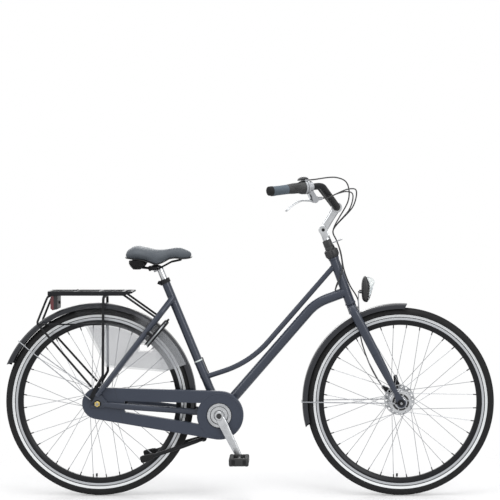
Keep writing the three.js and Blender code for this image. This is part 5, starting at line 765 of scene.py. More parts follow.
def window(margin):
    """The window between the case's arms, drawn in by a margin."""
    share = lambda x: (x - rear_axle.x) / reach_of_stays
    top = lambda x: 407 - 12.5 * share(x) - 46 - margin
    foot = lambda x: 291 - 75.5 * share(x) + 43 + margin
    rear, reach = rear_axle.x + 98 + margin, 80 + margin
    front = bracket.x - reach
    highest = degrees(asin((top(front) - bracket.z) / reach))
    lowest = degrees(asin((foot(front) - bracket.z) / reach))
    corner = 5
    return [
        (rear + corner, top(rear + corner)), (rear + corner * 0.3, top(rear) - corner * 0.3),
        (rear, top(rear) - corner), (rear, foot(rear) + corner),
        (rear + corner * 0.3, foot(rear) + corner * 0.3), (rear + corner, foot(rear + corner)),
        *arc(bracket, reach, 180 - lowest, 180 - highest, 16),
    ]


case_lip = [
    (6, -66), (3.2, -65.9), (1.5, -65.2), (0.4, -63.9), (0, -62), (0, -49), (0.4, -47.1), (1.5, -45.8),
    (3.2, -45.1), (6, -45), (6, -46.6), (3, -46.6), (1.6, -48), (1.6, -63), (3, -64.4), (6, -64.4),
]
case_parts = [
    (belt_ring(case_lip), case_plastic),
    (plate(belt(6), -case_outside, -case_outside + 1.6, [
        window(0), arc(bracket, 46.5, 0, 355, 71), arc(rear_axle, 12, 0, 345, 23),
    ]), case_plastic),
    (plate(belt(6), -case_inside - 1.6, -case_inside, [
        window(0), arc(bracket, 15, 0, 345, 23), arc(rear_axle, 30, 0, 350, 35),
    ]), case_plastic),
    (plate(window(-1.6), -case_outside + 0.4, -case_inside - 0.4, [window(0)]), case_plastic),
    (turned(barrel(15, 19, -45.8, -34.3), bracket, Y, 40), case_plastic),
    (turned([(46.5, -66.9), (47.6, -67), (48.6, -66.6), (49, -65.6), (46.5, -65.6)],
            bracket, Y, 96), case_plastic),
    (turned([(78.6, -65.6), (79.4, -66.7), (80.6, -67), (81.6, -66.4), (82, -65.6)],
            bracket, Y, 120), case_plastic),
]
# The rear cover's seam is a shallow dark groove across both arms, leaning back.
for seam_start, seam_end in (((-498, 404.2), (-486, 361.6)), ((-478, 330), (-466, 277.4))):
    (x0, z0), (x1, z1) = seam_start, seam_end
    case_parts.append((plate([(x0, z0), (x0 + 0.8, z0), (x1 + 0.8, z1), (x1, z1)], -66.05, -65.2), nylon))
piece("chaincase_moulded", case_parts, "frame", ["chaincase"], bevel=0.5)

# Chain and sprocket: links of pressed and hardened steel on a toothed plate cut from sheet, both
# oiled. They run inside the case.

# Oiled chain steel: dull grey with a film of oil that darkens it in patches.
chain_steel = finish("oiled_chain_steel", {"Metallic": 1.0, "Roughness": 0.38}, (6, 3),
                     ("#4d4e50", "#808285"))
dress("chain", chain_steel, 0.4)
dress("rear_sprocket", chain_steel, 0.2)

# Cranks: forged aluminium arms, tapered to round eyes and polished. The right one carries the
# spider, turned with fine steps, and the chainring; a black cap closes each crank's bolt hole.


def ring(spot, across, up, wide, high, squareness=2.0, sides=28):
    """A ring of points: round at squareness 2, boxier above it."""
    spots = []
    for k in range(sides):
        c, s = cos(2 * pi * (k + 0.5) / sides), sin(2 * pi * (k + 0.5) / sides)
        spots.append(spot + across * (copysign(abs(c) ** (2 / squareness), c) * wide)
                     + up * (copysign(abs(s) ** (2 / squareness), s) * high))
    return spots


def drawn(base, axis, across, up, stations, squareness=2.0, sides=28):
    """A skin through rings along an axis, from (distance, half width, half height) stations."""
    return loft([ring(base + axis * far, across, up, wide, high, squareness, sides)
                 for far, wide, high in stations])


def toothed(centre, teeth):
    """A toothed plate on the chain line, its pitch circle set by the chain's pitch."""
    chain_pitch = 12.7
    tip = chain_pitch / (2 * sin(pi / teeth)) - 1.3
    outline = []
    for i in range(teeth):
        for share, drop in ((-0.3, 4.5), (-0.17, 1.6), (-0.06, 0), (0.06, 0), (0.17, 1.6), (0.3, 4.5)):
            spot = centre + heading(360 * (i + share) / teeth) * (tip - drop)
            outline.append((spot.x, spot.z))
    return plate(outline, -56.7, -54.3, [arc(centre, 19, 0, 345, 23)])


crank_length, crank_heading = 170, -63.5
eyes = {side: bracket - heading(crank_heading) * (side * crank_length) for side in (RIGHT, LEFT)}
for side, name in ((RIGHT, "right"), (LEFT, "left")):
    eye = eyes[side]
    axis = (eye - bracket).normalized()
    up = axis.cross(Y).normalized()
    stations = [(-0.02, 76, 13), (0.0, 76, 15.4), (0.1, 76, 17), (0.25, 76, 16.8), (0.4, 76.6, 15.6),
                (0.6, 77.5, 14.2), (0.8, 78.3, 13), (0.93, 78.8, 12), (1.0, 79, 11)]
    crank_parts = [
        (loft([ring(bracket + axis * (crank_length * share) + Y * (side * y), Y, up, 6.5, half, 3.2)
               for share, y, half in stations]), polished),
        (turned([(9, 69.5), (16, 69.5), (17, 70.5), (17, 82.4), (15.6, 84), (10.5, 84), (9, 83.2)],
                bracket, Y * side, 56), polished),
        (turned([(0, 82), (9.4, 82), (10.2, 82.8), (10.2, 83.6), (9, 84.3), (3, 84.6), (0, 84.6)],
                bracket, Y * side, 40), nylon),
        (turned(barrel(5.3, 12.5, 71, 86, 1), eye, Y * side, 48), polished),
    ]
    if side == RIGHT:
        crank_parts += [
            (turned([(0, -69.5), (20, -69.5), (20, -62.8), (21, -62.5), (33, -62.5), (33.5, -66),
                     (34, -66.5), (36.6, -66.5), (36.9, -66.1), (38.4, -66.1), (38.7, -66.5), (41, -66.5),
                     (41.3, -66.1), (42.6, -66.1), (42.9, -66.5), (44, -66.5), (44.5, -66), (44.5, -56.7),
                     (60, -56.7), (60, -54.3), (20, -54.3), (20, -50), (0, -50)], bracket, Y, 96), polished),
            # This thin ring of black oxide steel, at the step between the spider's raised outer ring and its
            # inner face, is painted shade: it stands for the shade in that groove.
            (turned([(31.4, -62), (31.4, -63.1), (32.4, -63.4), (33.6, -63.1), (33.6, -62)],
                    bracket, Y, 96), oxide),
            (turned([(17.2, -68), (19.2, -70.2), (20, -70), (20, -68)], bracket, Y, 72), oxide),
            (toothed(bracket, 38), chain_steel),
        ]
    else:
        crank_parts.append((turned(barrel(0, 8.4, -75.5, 69.5), bracket, Y, 32), oxide))
    piece(f"crank_{name}_forged", crank_parts, "crankset", [f"crank_{name}"], sharp=28)

# Pedals: moulded nylon, two ribbed tread bars joined by end plates round a barrel that turns on
# the pedal's steel axle.

for side, name, tilt in ((RIGHT, "right", 0), (LEFT, "left", 90 + seat_lean)):
    eye = eyes[side]
    forward, up = heading(tilt), heading(tilt + 90)
    place = lambda distance, y: eye + forward * distance + Y * (side * y)
    pedal_parts = [
        (turned([(0, 69), (4.9, 69), (4.9, 86.3), (7.4, 86.3), (8, 87), (8, 90), (0, 90)],
                eye, Y * side, 32), polished),
        (turned([(0, 90), (9.6, 90), (11, 91.4), (11, 97), (9, 102), (8.4, 136), (9, 170), (11, 175),
                 (11, 180.6), (9.6, 182), (0, 182)], eye, Y * side, 36), nylon),
    ]
    for end in (-1, 1):
        rings = []
        for k in range(47):
            proud = 1 if k % 2 else 0.87
            wide = 8.5 * (1 if 0 < k < 46 else 0.7)
            rings.append(ring(place(end * 27.5, 91 + 2 * k * 0.978), forward, up,
                              wide * (0.93 + 0.07 * proud), 15.5 * proud, 4, 24))
        pedal_parts.append((loft(rings), nylon))
        pedal_parts.append((drawn(place(0, 136 + end * 43.5), Y * side, forward, up, (
            (-2.6, 33, 13.4), (-1.8, 34, 14.4), (1.8, 34, 14.4), (2.6, 33, 13.4)), 5, 32), nylon))
        for shift in (-20, 20):
            pedal_parts.append((block(place(shift, 136 + end * 43.7), 12, 5.8, 17, tilt), rubber))
        pedal_parts.append((block(place(0, 136 + end * 20), 50, 3, 9, tilt), nylon))
    piece(f"pedal_{name}_moulded", pedal_parts, f"pedal_{name}", [f"pedal_{name}"],
          bevel=0.4, sharp=40)

# Fork: a steel steerer and forged crown, and two oval legs that taper to plate ends, welded and
# enamelled with the frame.

crown_top = head_foot - steering_axis
crown_middle = crown_top - steering_axis * 17
leg_axis = (crown_middle - front_axle).normalized()
leg_lean = degrees(atan2(leg_axis.z, leg_axis.x))
leg_length = (crown_middle - front_axle).length
leg_across = leg_axis.cross(Y).normalized()


def fork_point(share, side):
    """A point on a fork leg's middle line, by its share of the way up from the axle."""
    foot_side, crown_side = 53.2, 46
    y = foot_side + (crown_side - foot_side) * min(1, share / 0.6)
    return front_axle + leg_axis * (leg_length * share) + Y * (side * y)


fork_parts = [
    (turned(barrel(0, 18, -34, 0, 1.4), crown_top, steering_axis, 56), enamel),
    (drawn(crown_middle, Y, leg_across, leg_axis, (
        (-34, 13, 11), (-31, 15.4, 13), (-16, 16.2, 13.6), (0, 16.2, 13.6), (16, 16.2, 13.6), (31, 15.4, 13),
        (34, 13, 11)), 3.4, 32), enamel),
    (turned(barrel(0, 12.7, 0, 215, 0, (0.9, 1)), crown_top, steering_axis, 40), oxide),
]
for side in (RIGHT, LEFT):
    leg_shape = [(0.1, 4.6, 8), (0.13, 5.3, 9.6), (0.18, 5.8, 11), (0.3, 7.4, 14.2), (0.45, 9, 16.2),
                 (0.6, 9.4, 16.8), (0.75, 9.5, 17), (0.9, 9.5, 17), (0.955, 9.5, 16.2)]
    rings = [ring(fork_point(share, side), Y, leg_across, wide, high, 2.2, 32)
             for share, wide, high in leg_shape]
    shoulder = crown_middle + Y * (side * 31)
    rings += [
        ring(fork_point(0.985, side) - Y * (side * 2), (Y + leg_axis * 0.3 * side).normalized(),
             leg_across, 9, 14.6, 2.3, 32),
        ring(shoulder + Y * (side * 6) + leg_axis * 9, (Y + leg_axis * side).normalized(), leg_across,
             7, 12, 2.4, 32),
        ring(shoulder + leg_axis * 10, leg_axis * side, leg_across, 4, 10, 2.4, 32),
    ]
    fork_parts.append((loft(rings), enamel))
    foot, edge = front_dropout_side, front_axle + leg_axis * 40
    tip_a, tip_b = edge + heading(leg_lean + 90) * -9, edge + heading(leg_lean + 90) * 9
    fork_parts.append((plate([
        *arc(front_axle, 18, leg_lean + 100, leg_lean + 260, 18), (tip_a.x, tip_a.z), (tip_b.x, tip_b.z),
    ], side * foot, side * (foot + front_dropout_thickness),
        [arc(front_axle, axle_slot, 0, 345, 23)]), enamel))
    fork_parts.append((turned(barrel(0, 4, 0, 5, 0.6, 0),
                              front_axle - X * 19 + Y * (side * 50.7), Y * side, 24), enamel))
# A fine seam rings each leg at mid height, where the taper was drawn on.
for side in (RIGHT, LEFT):
    seam_share = 0.52
    rings = [ring(fork_point(seam_share + s, side), Y, leg_across, 9.3, 16.7, 2.2, 40) for s in (0, 0.0022)]
    fork_parts.append((loft(rings), oxide))
piece("fork_welded", fork_parts, "steering", ["fork"], bevel=0.6)

# Headset adjuster: a fluted nylon sleeve on the steerer, with a smooth neck above it, flattened in
# front to let the cables by, and a wire loop that gathers them.

headset_base = head_top + steering_axis * 0.3
fore = heading(head_lean)
flutes = []
for height, radius in ((0, 20.8), (1.5, 21.6), (8, 25.6), (9.5, 26), (26, 26), (28, 25.6), (33, 18.8)):
    spots = []
    for k in range(144):
        turn = 2 * pi * k / 144
        dip = max(0.0, cos(6 * turn)) ** 3 * (3.2 if 1 < height < 31 else 0.6)
        direction = Y * cos(turn) + fore * sin(turn)
        spots.append(headset_base + steering_axis * height + direction * (radius - dip))
    flutes.append(spots)
neck = []
for height, radius in ((30, 18.6), (40, 18.6), (41, 17.8), (43, 17.8), (44, 18.6), (47, 18.6), (66, 18.6),
                       (68, 17.4)):
    flat = 15 if height > 45 else radius
    turns = [2 * pi * (k + 0.5) / 96 for k in range(96)]
    neck.append([headset_base + steering_axis * height + Y * (cos(turn) * radius)
                 + fore * min(flat, sin(turn) * radius) for turn in turns])
loop_base = headset_base + steering_axis * 52
loop_spot = lambda reach, y: loop_base + fore * reach + Y * y
piece("headset_adjuster_moulded", [
    (loft(flutes), nylon),
    (loft(neck), nylon),
    (tube(bent([loop_spot(12, 11), loop_spot(53, 16), loop_spot(53, -16), loop_spot(12, -11)], 6, 12),
          2, 14, Z), stainless),
], "steering", ["headset_adjuster"], sharp=40)

# Stem: a forged post and a tilting arm, polished aluminium. The arm's tongue turns on a pin
# between the post's cheeks, and its clamp grips the handlebar with one blackened bolt.

headset_top = head_top + steering_axis * 68.3
stem_pivot = headset_top + steering_axis * 41
bar_middle = stem_pivot + Vector((50.156, 0, 83.221))
post_front = steering_axis.cross(Y).normalized()
cheek_profile = [(0, 9.3), (16, 9.3), (17, 10.2), (17, 15.8), (15.8, 17), (9, 17), (8.6, 16.4), (0, 16.4)]
post_parts = [
    (turned(barrel(0, 12.7, -36, 0.6), headset_top, steering_axis, 40), polished),
    (turned(barrel(0, 15, 0.3, 15.5, (1.4, 1.3), 0), headset_top, steering_axis, 48), polished),
    (loft([ring(headset_top + steering_axis * h, post_front, Y, a, b, n, 40) for h, a, b, n in (
        (6, 14.6, 14.6, 2), (10, 14.8, 15.4, 2.4), (14, 14.6, 16.6, 3.4), (17.5, 14.4, 17, 4.5),
        (18.1, 14.2, 16.6, 5))]), polished),
]
for side in (RIGHT, LEFT):
    post_parts.append((turned(cheek_profile, stem_pivot, Y * side, 48), polished))
    post_parts.append((drawn(stem_pivot + Y * (side * 13.15), -steering_axis, post_front, Y,
                             ((26, 14, 3.85), (14, 14.4, 3.85), (0, 16.2, 3.85)), 5, 32), polished))
    post_parts.append((turned([(0, 16.4), (5.2, 16.4), (6.2, 17), (6.2, 18.2), (5, 19.4), (2.6, 19.6),
                               (0, 19)], stem_pivot, Y * side, 32), oxide))
piece("stem_post_forged", post_parts, "steering", ["stem_post"], sharp=28)

arm_axis = (bar_middle - stem_pivot).normalized()
arm_up = arm_axis.cross(Y).normalized()
arm_shape = [(-0.02, 8.7, 13.6), (0.05, 8.8, 14.8), (0.22, 8.8, 15), (0.3, 11, 15), (0.4, 14.6, 14.6),
             (0.5, 16.2, 14.8), (0.8, 18, 15.8), (0.95, 18.6, 16.2)]
piece("stem_arm_forged", [
    (turned(barrel(0, 17, -9, 9, 0.6), stem_pivot, Y, 56), polished),
    (drawn(stem_pivot, bar_middle - stem_pivot, Y, arm_up, arm_shape, 2.8, 36), polished),
    (turned(barrel(11.5, 20, -22, 22, 1.2), bar_middle, Y, 64), polished),
    (turned(barrel(0, 4.6, 0, 4, (0.6, 0.8), 0), bar_middle + heading(150) * 17.4, heading(150), 6), oxide),
    (turned(barrel(20, 20.1, -0.5, 0.5), bar_middle, Y, 64), oxide),
], "handlebar", ["stem_arm"], sharp=28)

# Handlebar: one bent aluminium tube, rising from the clamp and swept back to the grips, swelled
# between the clamp and the levers, and powder coated black.

# Powder coat: black, low sheen, with the pebbled skin of the fused powder.
powder = finish("black_powder_coat", {"Roughness": 0.48, "Specular IOR Level": 0.2}, (40, 3),
                ("#101113", "#1c1d20"), grain=(1.2, 1), relief=(0.25, 0.06))

bar_end = {side: Vector((bar_middle.x - 247, side * 303, bar_middle.z + 59)) for side in (RIGHT, LEFT)}
bar_shoulder = {side: Vector((bar_middle.x - 60, side * 186, bar_middle.z + 80)) for side in (RIGHT, LEFT)}
bar_corner = {side: bar_middle + Y * (side * 62) for side in (RIGHT, LEFT)}
bar_line = bent([bar_end[LEFT], bar_shoulder[LEFT], bar_corner[LEFT], bar_corner[RIGHT], bar_shoulder[RIGHT],
                 bar_end[RIGHT]], 38, 6)
bar_sizes = [11.1 + 3 * max(0, min(1, (abs(spot.y) - 46) / 18, (188 - abs(spot.y)) / 22))
             for spot in bar_line]
piece("handlebar_bent", [
    (tube(bar_line, [(size, size) for size in bar_sizes], 32, Z), powder),
], "handlebar", ["handlebar"])

# Grips: soft slate rubber sleeves moulded with raised rings and pushed over the bar, each closed at
# the bar's end by a black rubber cap.

# Grip rubber: matt and warm to the hand, slightly chalky on its high rings.
grip_rubber = finish("moulded_grip_rubber", {
    "Roughness": 0.72, "IOR": 1.5, "Specular IOR Level": 0.35,
}, (8, 4), ("#4c565f", "#626d76"), grain=(0.8, 2), relief=(0.4, 0.1))

grip_axis = {side: (bar_shoulder[side] - bar_end[side]).normalized() for side in (RIGHT, LEFT)}
grip_length = {RIGHT: 76, LEFT: 146}


def on_bar(side, distance):
    """A point on the bar's straight end, from the tip inward."""
    return bar_end[side] + grip_axis[side] * distance


for side, name in ((RIGHT, "right"), (LEFT, "left")):
    length = grip_length[side]
    cap = [(0, -4), (11.5, -4), (14.6, -3.2), (16.2, -1.6), (16.6, 0.5), (16.6, 13), (16.2, 13.6),
           (11.6, 13.6), (11.6, -0.3), (0, -0.3)]
    profile = [(11.6, 13.6), (16.2, 13.8), (16.4, 15)]
    distance = 17.5
    while distance < length - 6:
        waist = 16.1 - 1.1 * sin(pi * min(1, distance / (length * 0.9)))
        profile += [(waist, distance), (waist + 0.45, distance + 0.6), (waist + 0.45, distance + 2.2),
                    (waist, distance + 2.8)]
        distance += 4.5
    profile += [(16, length - 4), (16.5, length - 3), (16.5, length - 0.8), (15.8, length), (11.6, length)]
    piece(f"grip_{name}_moulded", [(turned(profile, bar_end[side], grip_axis[side], 56), grip_rubber),
                                   (turned(cap, bar_end[side], grip_axis[side], 56), rubber)],
          "handlebar", [f"grip_{name}"])

# Twist shifter: a ribbed nylon sleeve that flares to its housing, a cast metal collar clamped to
# the bar with a black moulded hood on top.

twist_rings = []
for distance, radius, ribbed in ((76.3, 16, 0), (77.6, 17, 0), (84, 17.6, 1), (98, 18.9, 1), (114, 19, 1),
                                 (122, 19.4, 1), (130, 22, 1), (136, 23.9, 0), (143.4, 24, 0),
                                 (144.3, 23.2, 0)):
    spots = []
    axis = grip_axis[RIGHT]
    side_a = axis.cross(Z).normalized()
    side_b = axis.cross(side_a)
    for k in range(144):
        turn = 2 * pi * k / 144
        reach = radius - (0.9 if ribbed and k % 6 < 2 else 0)
        spots.append(on_bar(RIGHT, distance) + (side_a * cos(turn) + side_b * sin(turn)) * reach)
    twist_rings.append(spots)
piece("shifter_grip_moulded", [(loft(twist_rings), nylon)], "shifter", ["shifter_grip"],
      sharp=40)

# Satin aluminium: cast and tumbled, a soft even grey.
satin = finish("tumbled_aluminium", {"Metallic": 1.0, "Roughness": 0.42}, (11, 4), ("#8f9195", "#adafb2"))

housing_start = 144.6
bar_up = (Z - grip_axis[RIGHT] * grip_axis[RIGHT].z).normalized()
bar_across = bar_up.cross(grip_axis[RIGHT]).normalized()
dome = drawn(on_bar(RIGHT, housing_start) + bar_up * 25, grip_axis[RIGHT], bar_across, bar_up, (
    (0.6, 14.8, 8.1), (8, 14.9, 8.1), (13, 14.4, 8), (16.4, 12, 6), (17.8, 10.2, 4.4)), 2.3, 32)
hood_shape = [(-20, 6, 2.2, 2.8), (-16, 10, 4, 4.6), (-9, 13.4, 5.6, 6.2), (-1, 15.4, 6.4, 7),
              (8, 15.8, 6.6, 5.8), (14, 14, 5.4, 4.6), (17.6, 11, 3.4, 3.4)]
hood = loft([ring(on_bar(RIGHT, housing_start + shift) + bar_up * (25 + lift), bar_across, bar_up, wide,
                  high, 2.3, 32)
             for shift, wide, high, lift in hood_shape])
piece("shifter_housing_cast", [
    (turned(barrel(11.6, 25, 144.6, 162.6, 1, (1, 1.2)), bar_end[RIGHT], grip_axis[RIGHT], 64), satin),
    (dome, satin), (hood, nylon),
    (turned([(25, 152.6), (25.15, 152.8), (25.15, 154.2), (25, 154.4), (24.6, 153.5)],
            bar_end[RIGHT], grip_axis[RIGHT], 64), oxide),
], "handlebar", ["shifter_housing"])

# Brake levers: cast brackets clamped to the bar, each with a fork that holds the pivot pin, and
# curved aluminium blades shaped for the fingers.

clamp_start = 165.6


def lever_frame(side):
    """Toward the bar's end, away from the bar, across the blade, and the pivot."""
    outward = grip_axis[side] * -1
    down = (Vector((0, 0, -1)) + outward * outward.z).normalized()
    away = Matrix.Rotation(radians(side * 10), 3, outward) @ down
    across = outward.cross(away).normalized()
    return outward, away, across, on_bar(side, clamp_start + 27) + away * 47


for side, name in ((RIGHT, "right"), (LEFT, "left")):
    outward, away, across, pivot = lever_frame(side)
    root = on_bar(side, clamp_start + 7.5) + away * 12.25
    bracket_parts = [
        (turned(barrel(11.6, 17.5, clamp_start, clamp_start + 15, 1), bar_end[side], grip_axis[side], 56),
         satin),
        (turned([(0, 16.8), (4, 16.8), (4.4, 18), (4.4, 19.6), (2.2, 20), (2.2, 18.6), (0, 18.6)],
                on_bar(side, clamp_start + 7.5), away * -1, 20), oxide),
        (tube([pivot, pivot - outward * 32.2], [(7.4, 7.4), (5.7, 5.7)], 28, across), satin),
        (turned([(3, 28), (4.6, 28), (4.6, 32.4), (3, 32.8)], pivot, outward * -1, 24), oxide),
    ]
    for cheek in (-1, 1):
        offset = across * (cheek * 7.4)
        bracket_parts.append((drawn(root + offset, pivot - root, across, outward, [
            (share, 2.6, high) for share, high in ((0, 7.4), (0.3, 8.6), (0.7, 10.2), (0.92, 11), (1, 11.2))
        ], 4, 24), satin))
        bracket_parts.append((turned(barrel(0, 13, 4.9, 10, (1, 0.8)), pivot, across * cheek, 40), satin))
    bracket_parts.append((drawn(root, pivot - root, across, outward,
                                ((-0.02, 9.6, 7.2), (0.2, 9.6, 8), (0.45, 9.6, 9)), 4), satin))
    piece(f"lever_bracket_{name}_cast", bracket_parts, "handlebar",
          [f"lever_bracket_{name}"], bevel=0.4)

    blade_shape = [(0, 0.02, 4, 4), (0.07, 0.026, 4, 4.1), (0.14, 0.03, 4.1, 4), (0.26, 0.02, 5.8, 3.6),
                   (0.35, 0.008, 6, 3.4), (0.45, 0, 6, 3.2), (0.55, 0.018, 6, 3.1), (0.65, 0.05, 6, 3),
                   (0.75, 0.098, 5.8, 2.9), (0.85, 0.16, 5.4, 2.8), (0.93, 0.215, 5.1, 3),
                   (0.98, 0.25, 4.9, 3.6), (1.0, 0.268, 4.2, 2.8)]
    line = [pivot + outward * (122 * reach) + away * (122 * drop) for reach, drop, _, _ in blade_shape]
    rings = []
    for i, (_, _, wide, high) in enumerate(blade_shape):
        tangent = (line[min(i + 1, 12)] - line[max(i - 1, 0)]).normalized()
        rings.append(ring(line[i], across, tangent.cross(across).normalized(), wide, high, 2.5, 28))
    piece(f"brake_lever_{name}_forged", [
        (turned(barrel(0, 9.36, -4.5, 4.5, (0.76, 0.7)), pivot, across, 40), polished),
        (turned(barrel(0, 3, -9.9, 9.9), pivot, across, 24), oxide),
        (loft(rings), polished),
    ], f"lever_{name}", [f"brake_lever_{name}"])

# Hub brakes: pressed plates that close the drums, with a reaction arm strapped to the frame and an
# arm that the cable pulls. They are black on the front and the rear alike.

for (name, centre, body, start, radius, plate_end, boss, outer,
     reaction, reaction_end, pull, pull_start, pull_end) in (
    ("front", front_axle, "steering", 40.3, 30, 45.2, 13, 49.3, (-14.75, 86), 42.8, (-59.25, 47), 42, 45.2),
    ("rear", rear_axle, "frame", 42.3, 44, 48, 14, 61.7, (88.75, -9), 52, (60.75, -43), 51.5, 56),
):
    root, tip = (15, 7.5) if name == "front" else (14, 7.5)
    reaction_spot = centre + X * reaction[0] + Z * reaction[1]
    pull_spot = centre + X * pull[0] + Z * pull[1]
    brake_parts = [
        (turned([(5.3, start), (radius - 1, start), (radius, start + 1), (radius, plate_end - 1.4),
                 (radius - 1.6, plate_end), (boss + 2, plate_end), (boss, plate_end + 1.4),
                 (boss, outer - 0.8), (boss - 1, outer), (5.3, outer)], centre, Y, 64), powder),
        (plate(strap(centre, root, reaction_spot, tip), start, reaction_end,
               [arc(reaction_spot, 3, 0, 330, 11), arc(centre, 6, 0, 330, 11)]), powder),
        (plate(strap(centre, root, pull_spot, tip), pull_start, pull_end,
               [arc(pull_spot, 3, 0, 330, 11), arc(centre, 6, 0, 330, 11)]), powder),
        (turned(barrel(0, 5, reaction_end - 0.2, reaction_end + 3.2, (0.4, 0.6), (0.8, 0.6)),
                sided(reaction_spot, 0), Y, 6), oxide),
        (turned([(0, pull_end - 0.2), (4, pull_end - 0.2), (4.6, pull_end + 0.4), (4.6, pull_end + 2.2),
                 (0, pull_end + 2.6)], sided(pull_spot, 0), Y, 20), oxide),
    ]
    if name == "rear":
        clip = sided(reaction_spot, 59.6)
        brake_parts.append((block(clip, 14, 15, 14), powder))
    piece(f"{name}_brake_pressed", brake_parts, body, [f"{name}_brake"], bevel=0.4)

# Mudguards: channels of black laminate, domed across with folded flanges, each end cut on a slant
# and edged with a fine bead.

# Glossy laminate: deep black with a clear skin, and the fine scuffs of road grit.
laminate = finish("glossy_guard_laminate", {
    "Specular IOR Level": 0.35, "Coat Weight": 0.25, "Coat Roughness": 0.1,
}, (1000 / 12, 4), ("#17191e", "#22242b"), (0.24, 0.42))

# The channel's section as (side, height from the crown), the outer skin and then the inner one.
guard_outer = [(-26.5, -20), (-26.5, -9), (-26.3, -6.6), (-25.3, -4.4), (-23, -2.5), (-19, -1.3),
               (-12, -0.5), (-4, -0.05), (4, -0.05), (12, -0.5), (19, -1.3), (23, -2.5), (25.3, -4.4),
               (26.3, -6.6), (26.5, -9), (26.5, -20)]
guard_inner = [(y * 24.9 / 26.5, h - 1.5 if abs(y) < 26 else h) for y, h in reversed(guard_outer)]


def channel(centre, radius, start, end, steps, slants):
    """A mudguard between two headings, with its two end cuts slanted."""
    rings = []
    for i in range(steps + 1):
        turn = start + (end - start) * i / steps
        slant = slants[0] if i == 0 else slants[1] if i == steps else 0
        up = heading(turn) + heading(turn + 90) * slant
        spot = centre + heading(turn) * radius
        rings.append([spot + Y * y + up * h for y, h in guard_outer + guard_inner])
    return loft(rings)


def guard_bead(centre, radius, start, end, side):
    """The rolled edge along one flange."""
    path = [centre + heading(start + (end - start) * i / 72) * (radius - 19.2) + Y * (side * 25.7)
            for i in range(73)]
    return tube(path, 0.95, 10)


guard_centre = rear_axle - X * 6 + Z * 2
# Each guard's crown as (radius, first heading, last heading).
front_guard, rear_guard = (365, 86, 195.2), (guard_radius, -8, 158.3)
for name, body, centre, crown, steps, slants, bead_ends in (
    ("front", "steering", front_axle, front_guard, 72, (-0.55, 0.75), (87, 192.6)),
    ("rear", "frame", guard_centre, rear_guard, 110, (0, 0.85), (-7.6, 155.4)),
):
    piece(f"{name}_mudguard_rolled", [(channel(centre, *crown, steps, slants), laminate)] + [
        (guard_bead(centre, crown[0], *bead_ends, side), laminate) for side in (RIGHT, LEFT)
    ], body, [f"{name}_mudguard"])

# Guard stays: one bent stainless wire each, round the back of the guard from dropout to dropout,
# its ends held by small blackened screws.


stay_wire = 2
strap_side = rear_dropout_side + dropout_thickness + fit_gap
strap_thickness = 3


def guard_stay(foot_x, foot_side, foot_z, centre, radius, turn):
    """A bent wire stay with a screw at each foot."""
    back = centre + heading(turn) * radius
    foot = lambda side: Vector((foot_x, side * (foot_side + 4), foot_z))
    corner = lambda side: sided(back, side * 28.85)
    parts = [(tube(bent([foot(1), corner(1), corner(-1), foot(-1)], 7, 12), stay_wire, 16, Z), stainless)]
    for side in (RIGHT, LEFT):
        base = Vector((foot_x, 0, foot_z))
        parts.append((turned(barrel(0, 4.5, foot_side, foot_side + 6, 0, (0.9, 0.8)), base, Y * side, 24),
                      oxide))
    return parts


def stay_radius(crown, facets, turn):
    """Where the wire lies at a heading: clear of the crown, and of the faceted solid's crown too."""
    radius, start, end = crown
    step = (end - start) / facets
    offset = (turn - start) % step - step / 2
    reach = radius * cos(radians(step / 2)) / cos(radians(offset))
    return max(reach, radius) + stay_wire + fit_gap


piece("front_guard_stay_bent",
      guard_stay(front_axle.x - 19, 55.8, front_axle.z, front_axle, stay_radius(front_guard, 12, 180), 180),
      "steering", ["front_mudguard_stay"])
rear_stay_side = strap_side + strap_thickness + fit_gap
rear_stay_turn = 142.6
piece("rear_guard_stay_bent",
      guard_stay(rear_axle.x - 21.25, rear_stay_side, rear_axle.z + 13.5, guard_centre,
                 stay_radius(rear_guard, 18, rear_stay_turn), rear_stay_turn),
      "frame", ["rear_mudguard_stay"])

# Carrier: steel tube and flat bar, welded and powder coated black. The struts and the twin rear
# legs share the straps at the dropouts, the side rails taper in front, and two braces run forward
# to the seat stays.

platform_top, platform_bottom = 761, 745
leg_side = 60
platform_rear, platform_front = rear_axle.x - 185.85, rear_axle.x + 127.05
strut_x = rear_axle.x + 19.75
strut_side = strap_side + strap_thickness / 2
strut_parts = []
hoop_run = lambda side: [
    rear_axle + Vector((-3.25, side * strut_side, 63)), rear_axle + Vector((19.75, side * strut_side, 103)),
    Vector((strut_x, side * leg_side, platform_bottom - fit_gap - 5)),
]
strut_parts.append((tube(bent(hoop_run(1) + hoop_run(-1)[::-1], 16, 8), 5, 24), powder))
for side in (RIGHT, LEFT):
    root, foot = rear_axle + X * -3.25 + Z * 63, rear_axle + X * -21.25 + Z * 21
    strut_parts.append((plate(
        strap(foot, 8, root, 7, 8), side * strap_side, side * (strap_side + strap_thickness),
        [arc(foot, 2.6, 0, 330, 11)],
    ), powder))
piece("carrier_struts_welded", strut_parts, "frame", ["carrier_struts"], bevel=0.5)

knee_x, knee_z = platform_rear - 39.1, platform_bottom - 101
leg_radius = 4
leg_foot_side = rear_stay_side + leg_radius
leg_run = lambda side: [
    rear_axle + Vector((-21.25, side * leg_foot_side, 64)), Vector((knee_x, side * leg_side, knee_z)),
    Vector((platform_rear, side * leg_side, platform_bottom - fit_gap - leg_radius)),
]
brace_z = platform_bottom - 105
leg_parts = [(tube(bent(leg_run(1) + leg_run(-1)[::-1], 14, 8), leg_radius, 24), powder)]
for side in (RIGHT, LEFT):
    inner_share = (brace_z - (rear_axle.z + 103)) / (platform_bottom - (rear_axle.z + 103))
    inner_y = strut_side + (leg_side - strut_side) * inner_share
    brace_ends = ((knee_x + leg_radius, leg_side), (strut_x - 5 - fit_gap, inner_y))
    leg_parts.append((tube([Vector((x, side * y, brace_z)) for x, y in brace_ends], 3.2, 18), powder))
piece("carrier_legs_bent", leg_parts, "frame", ["carrier_rear_legs"])

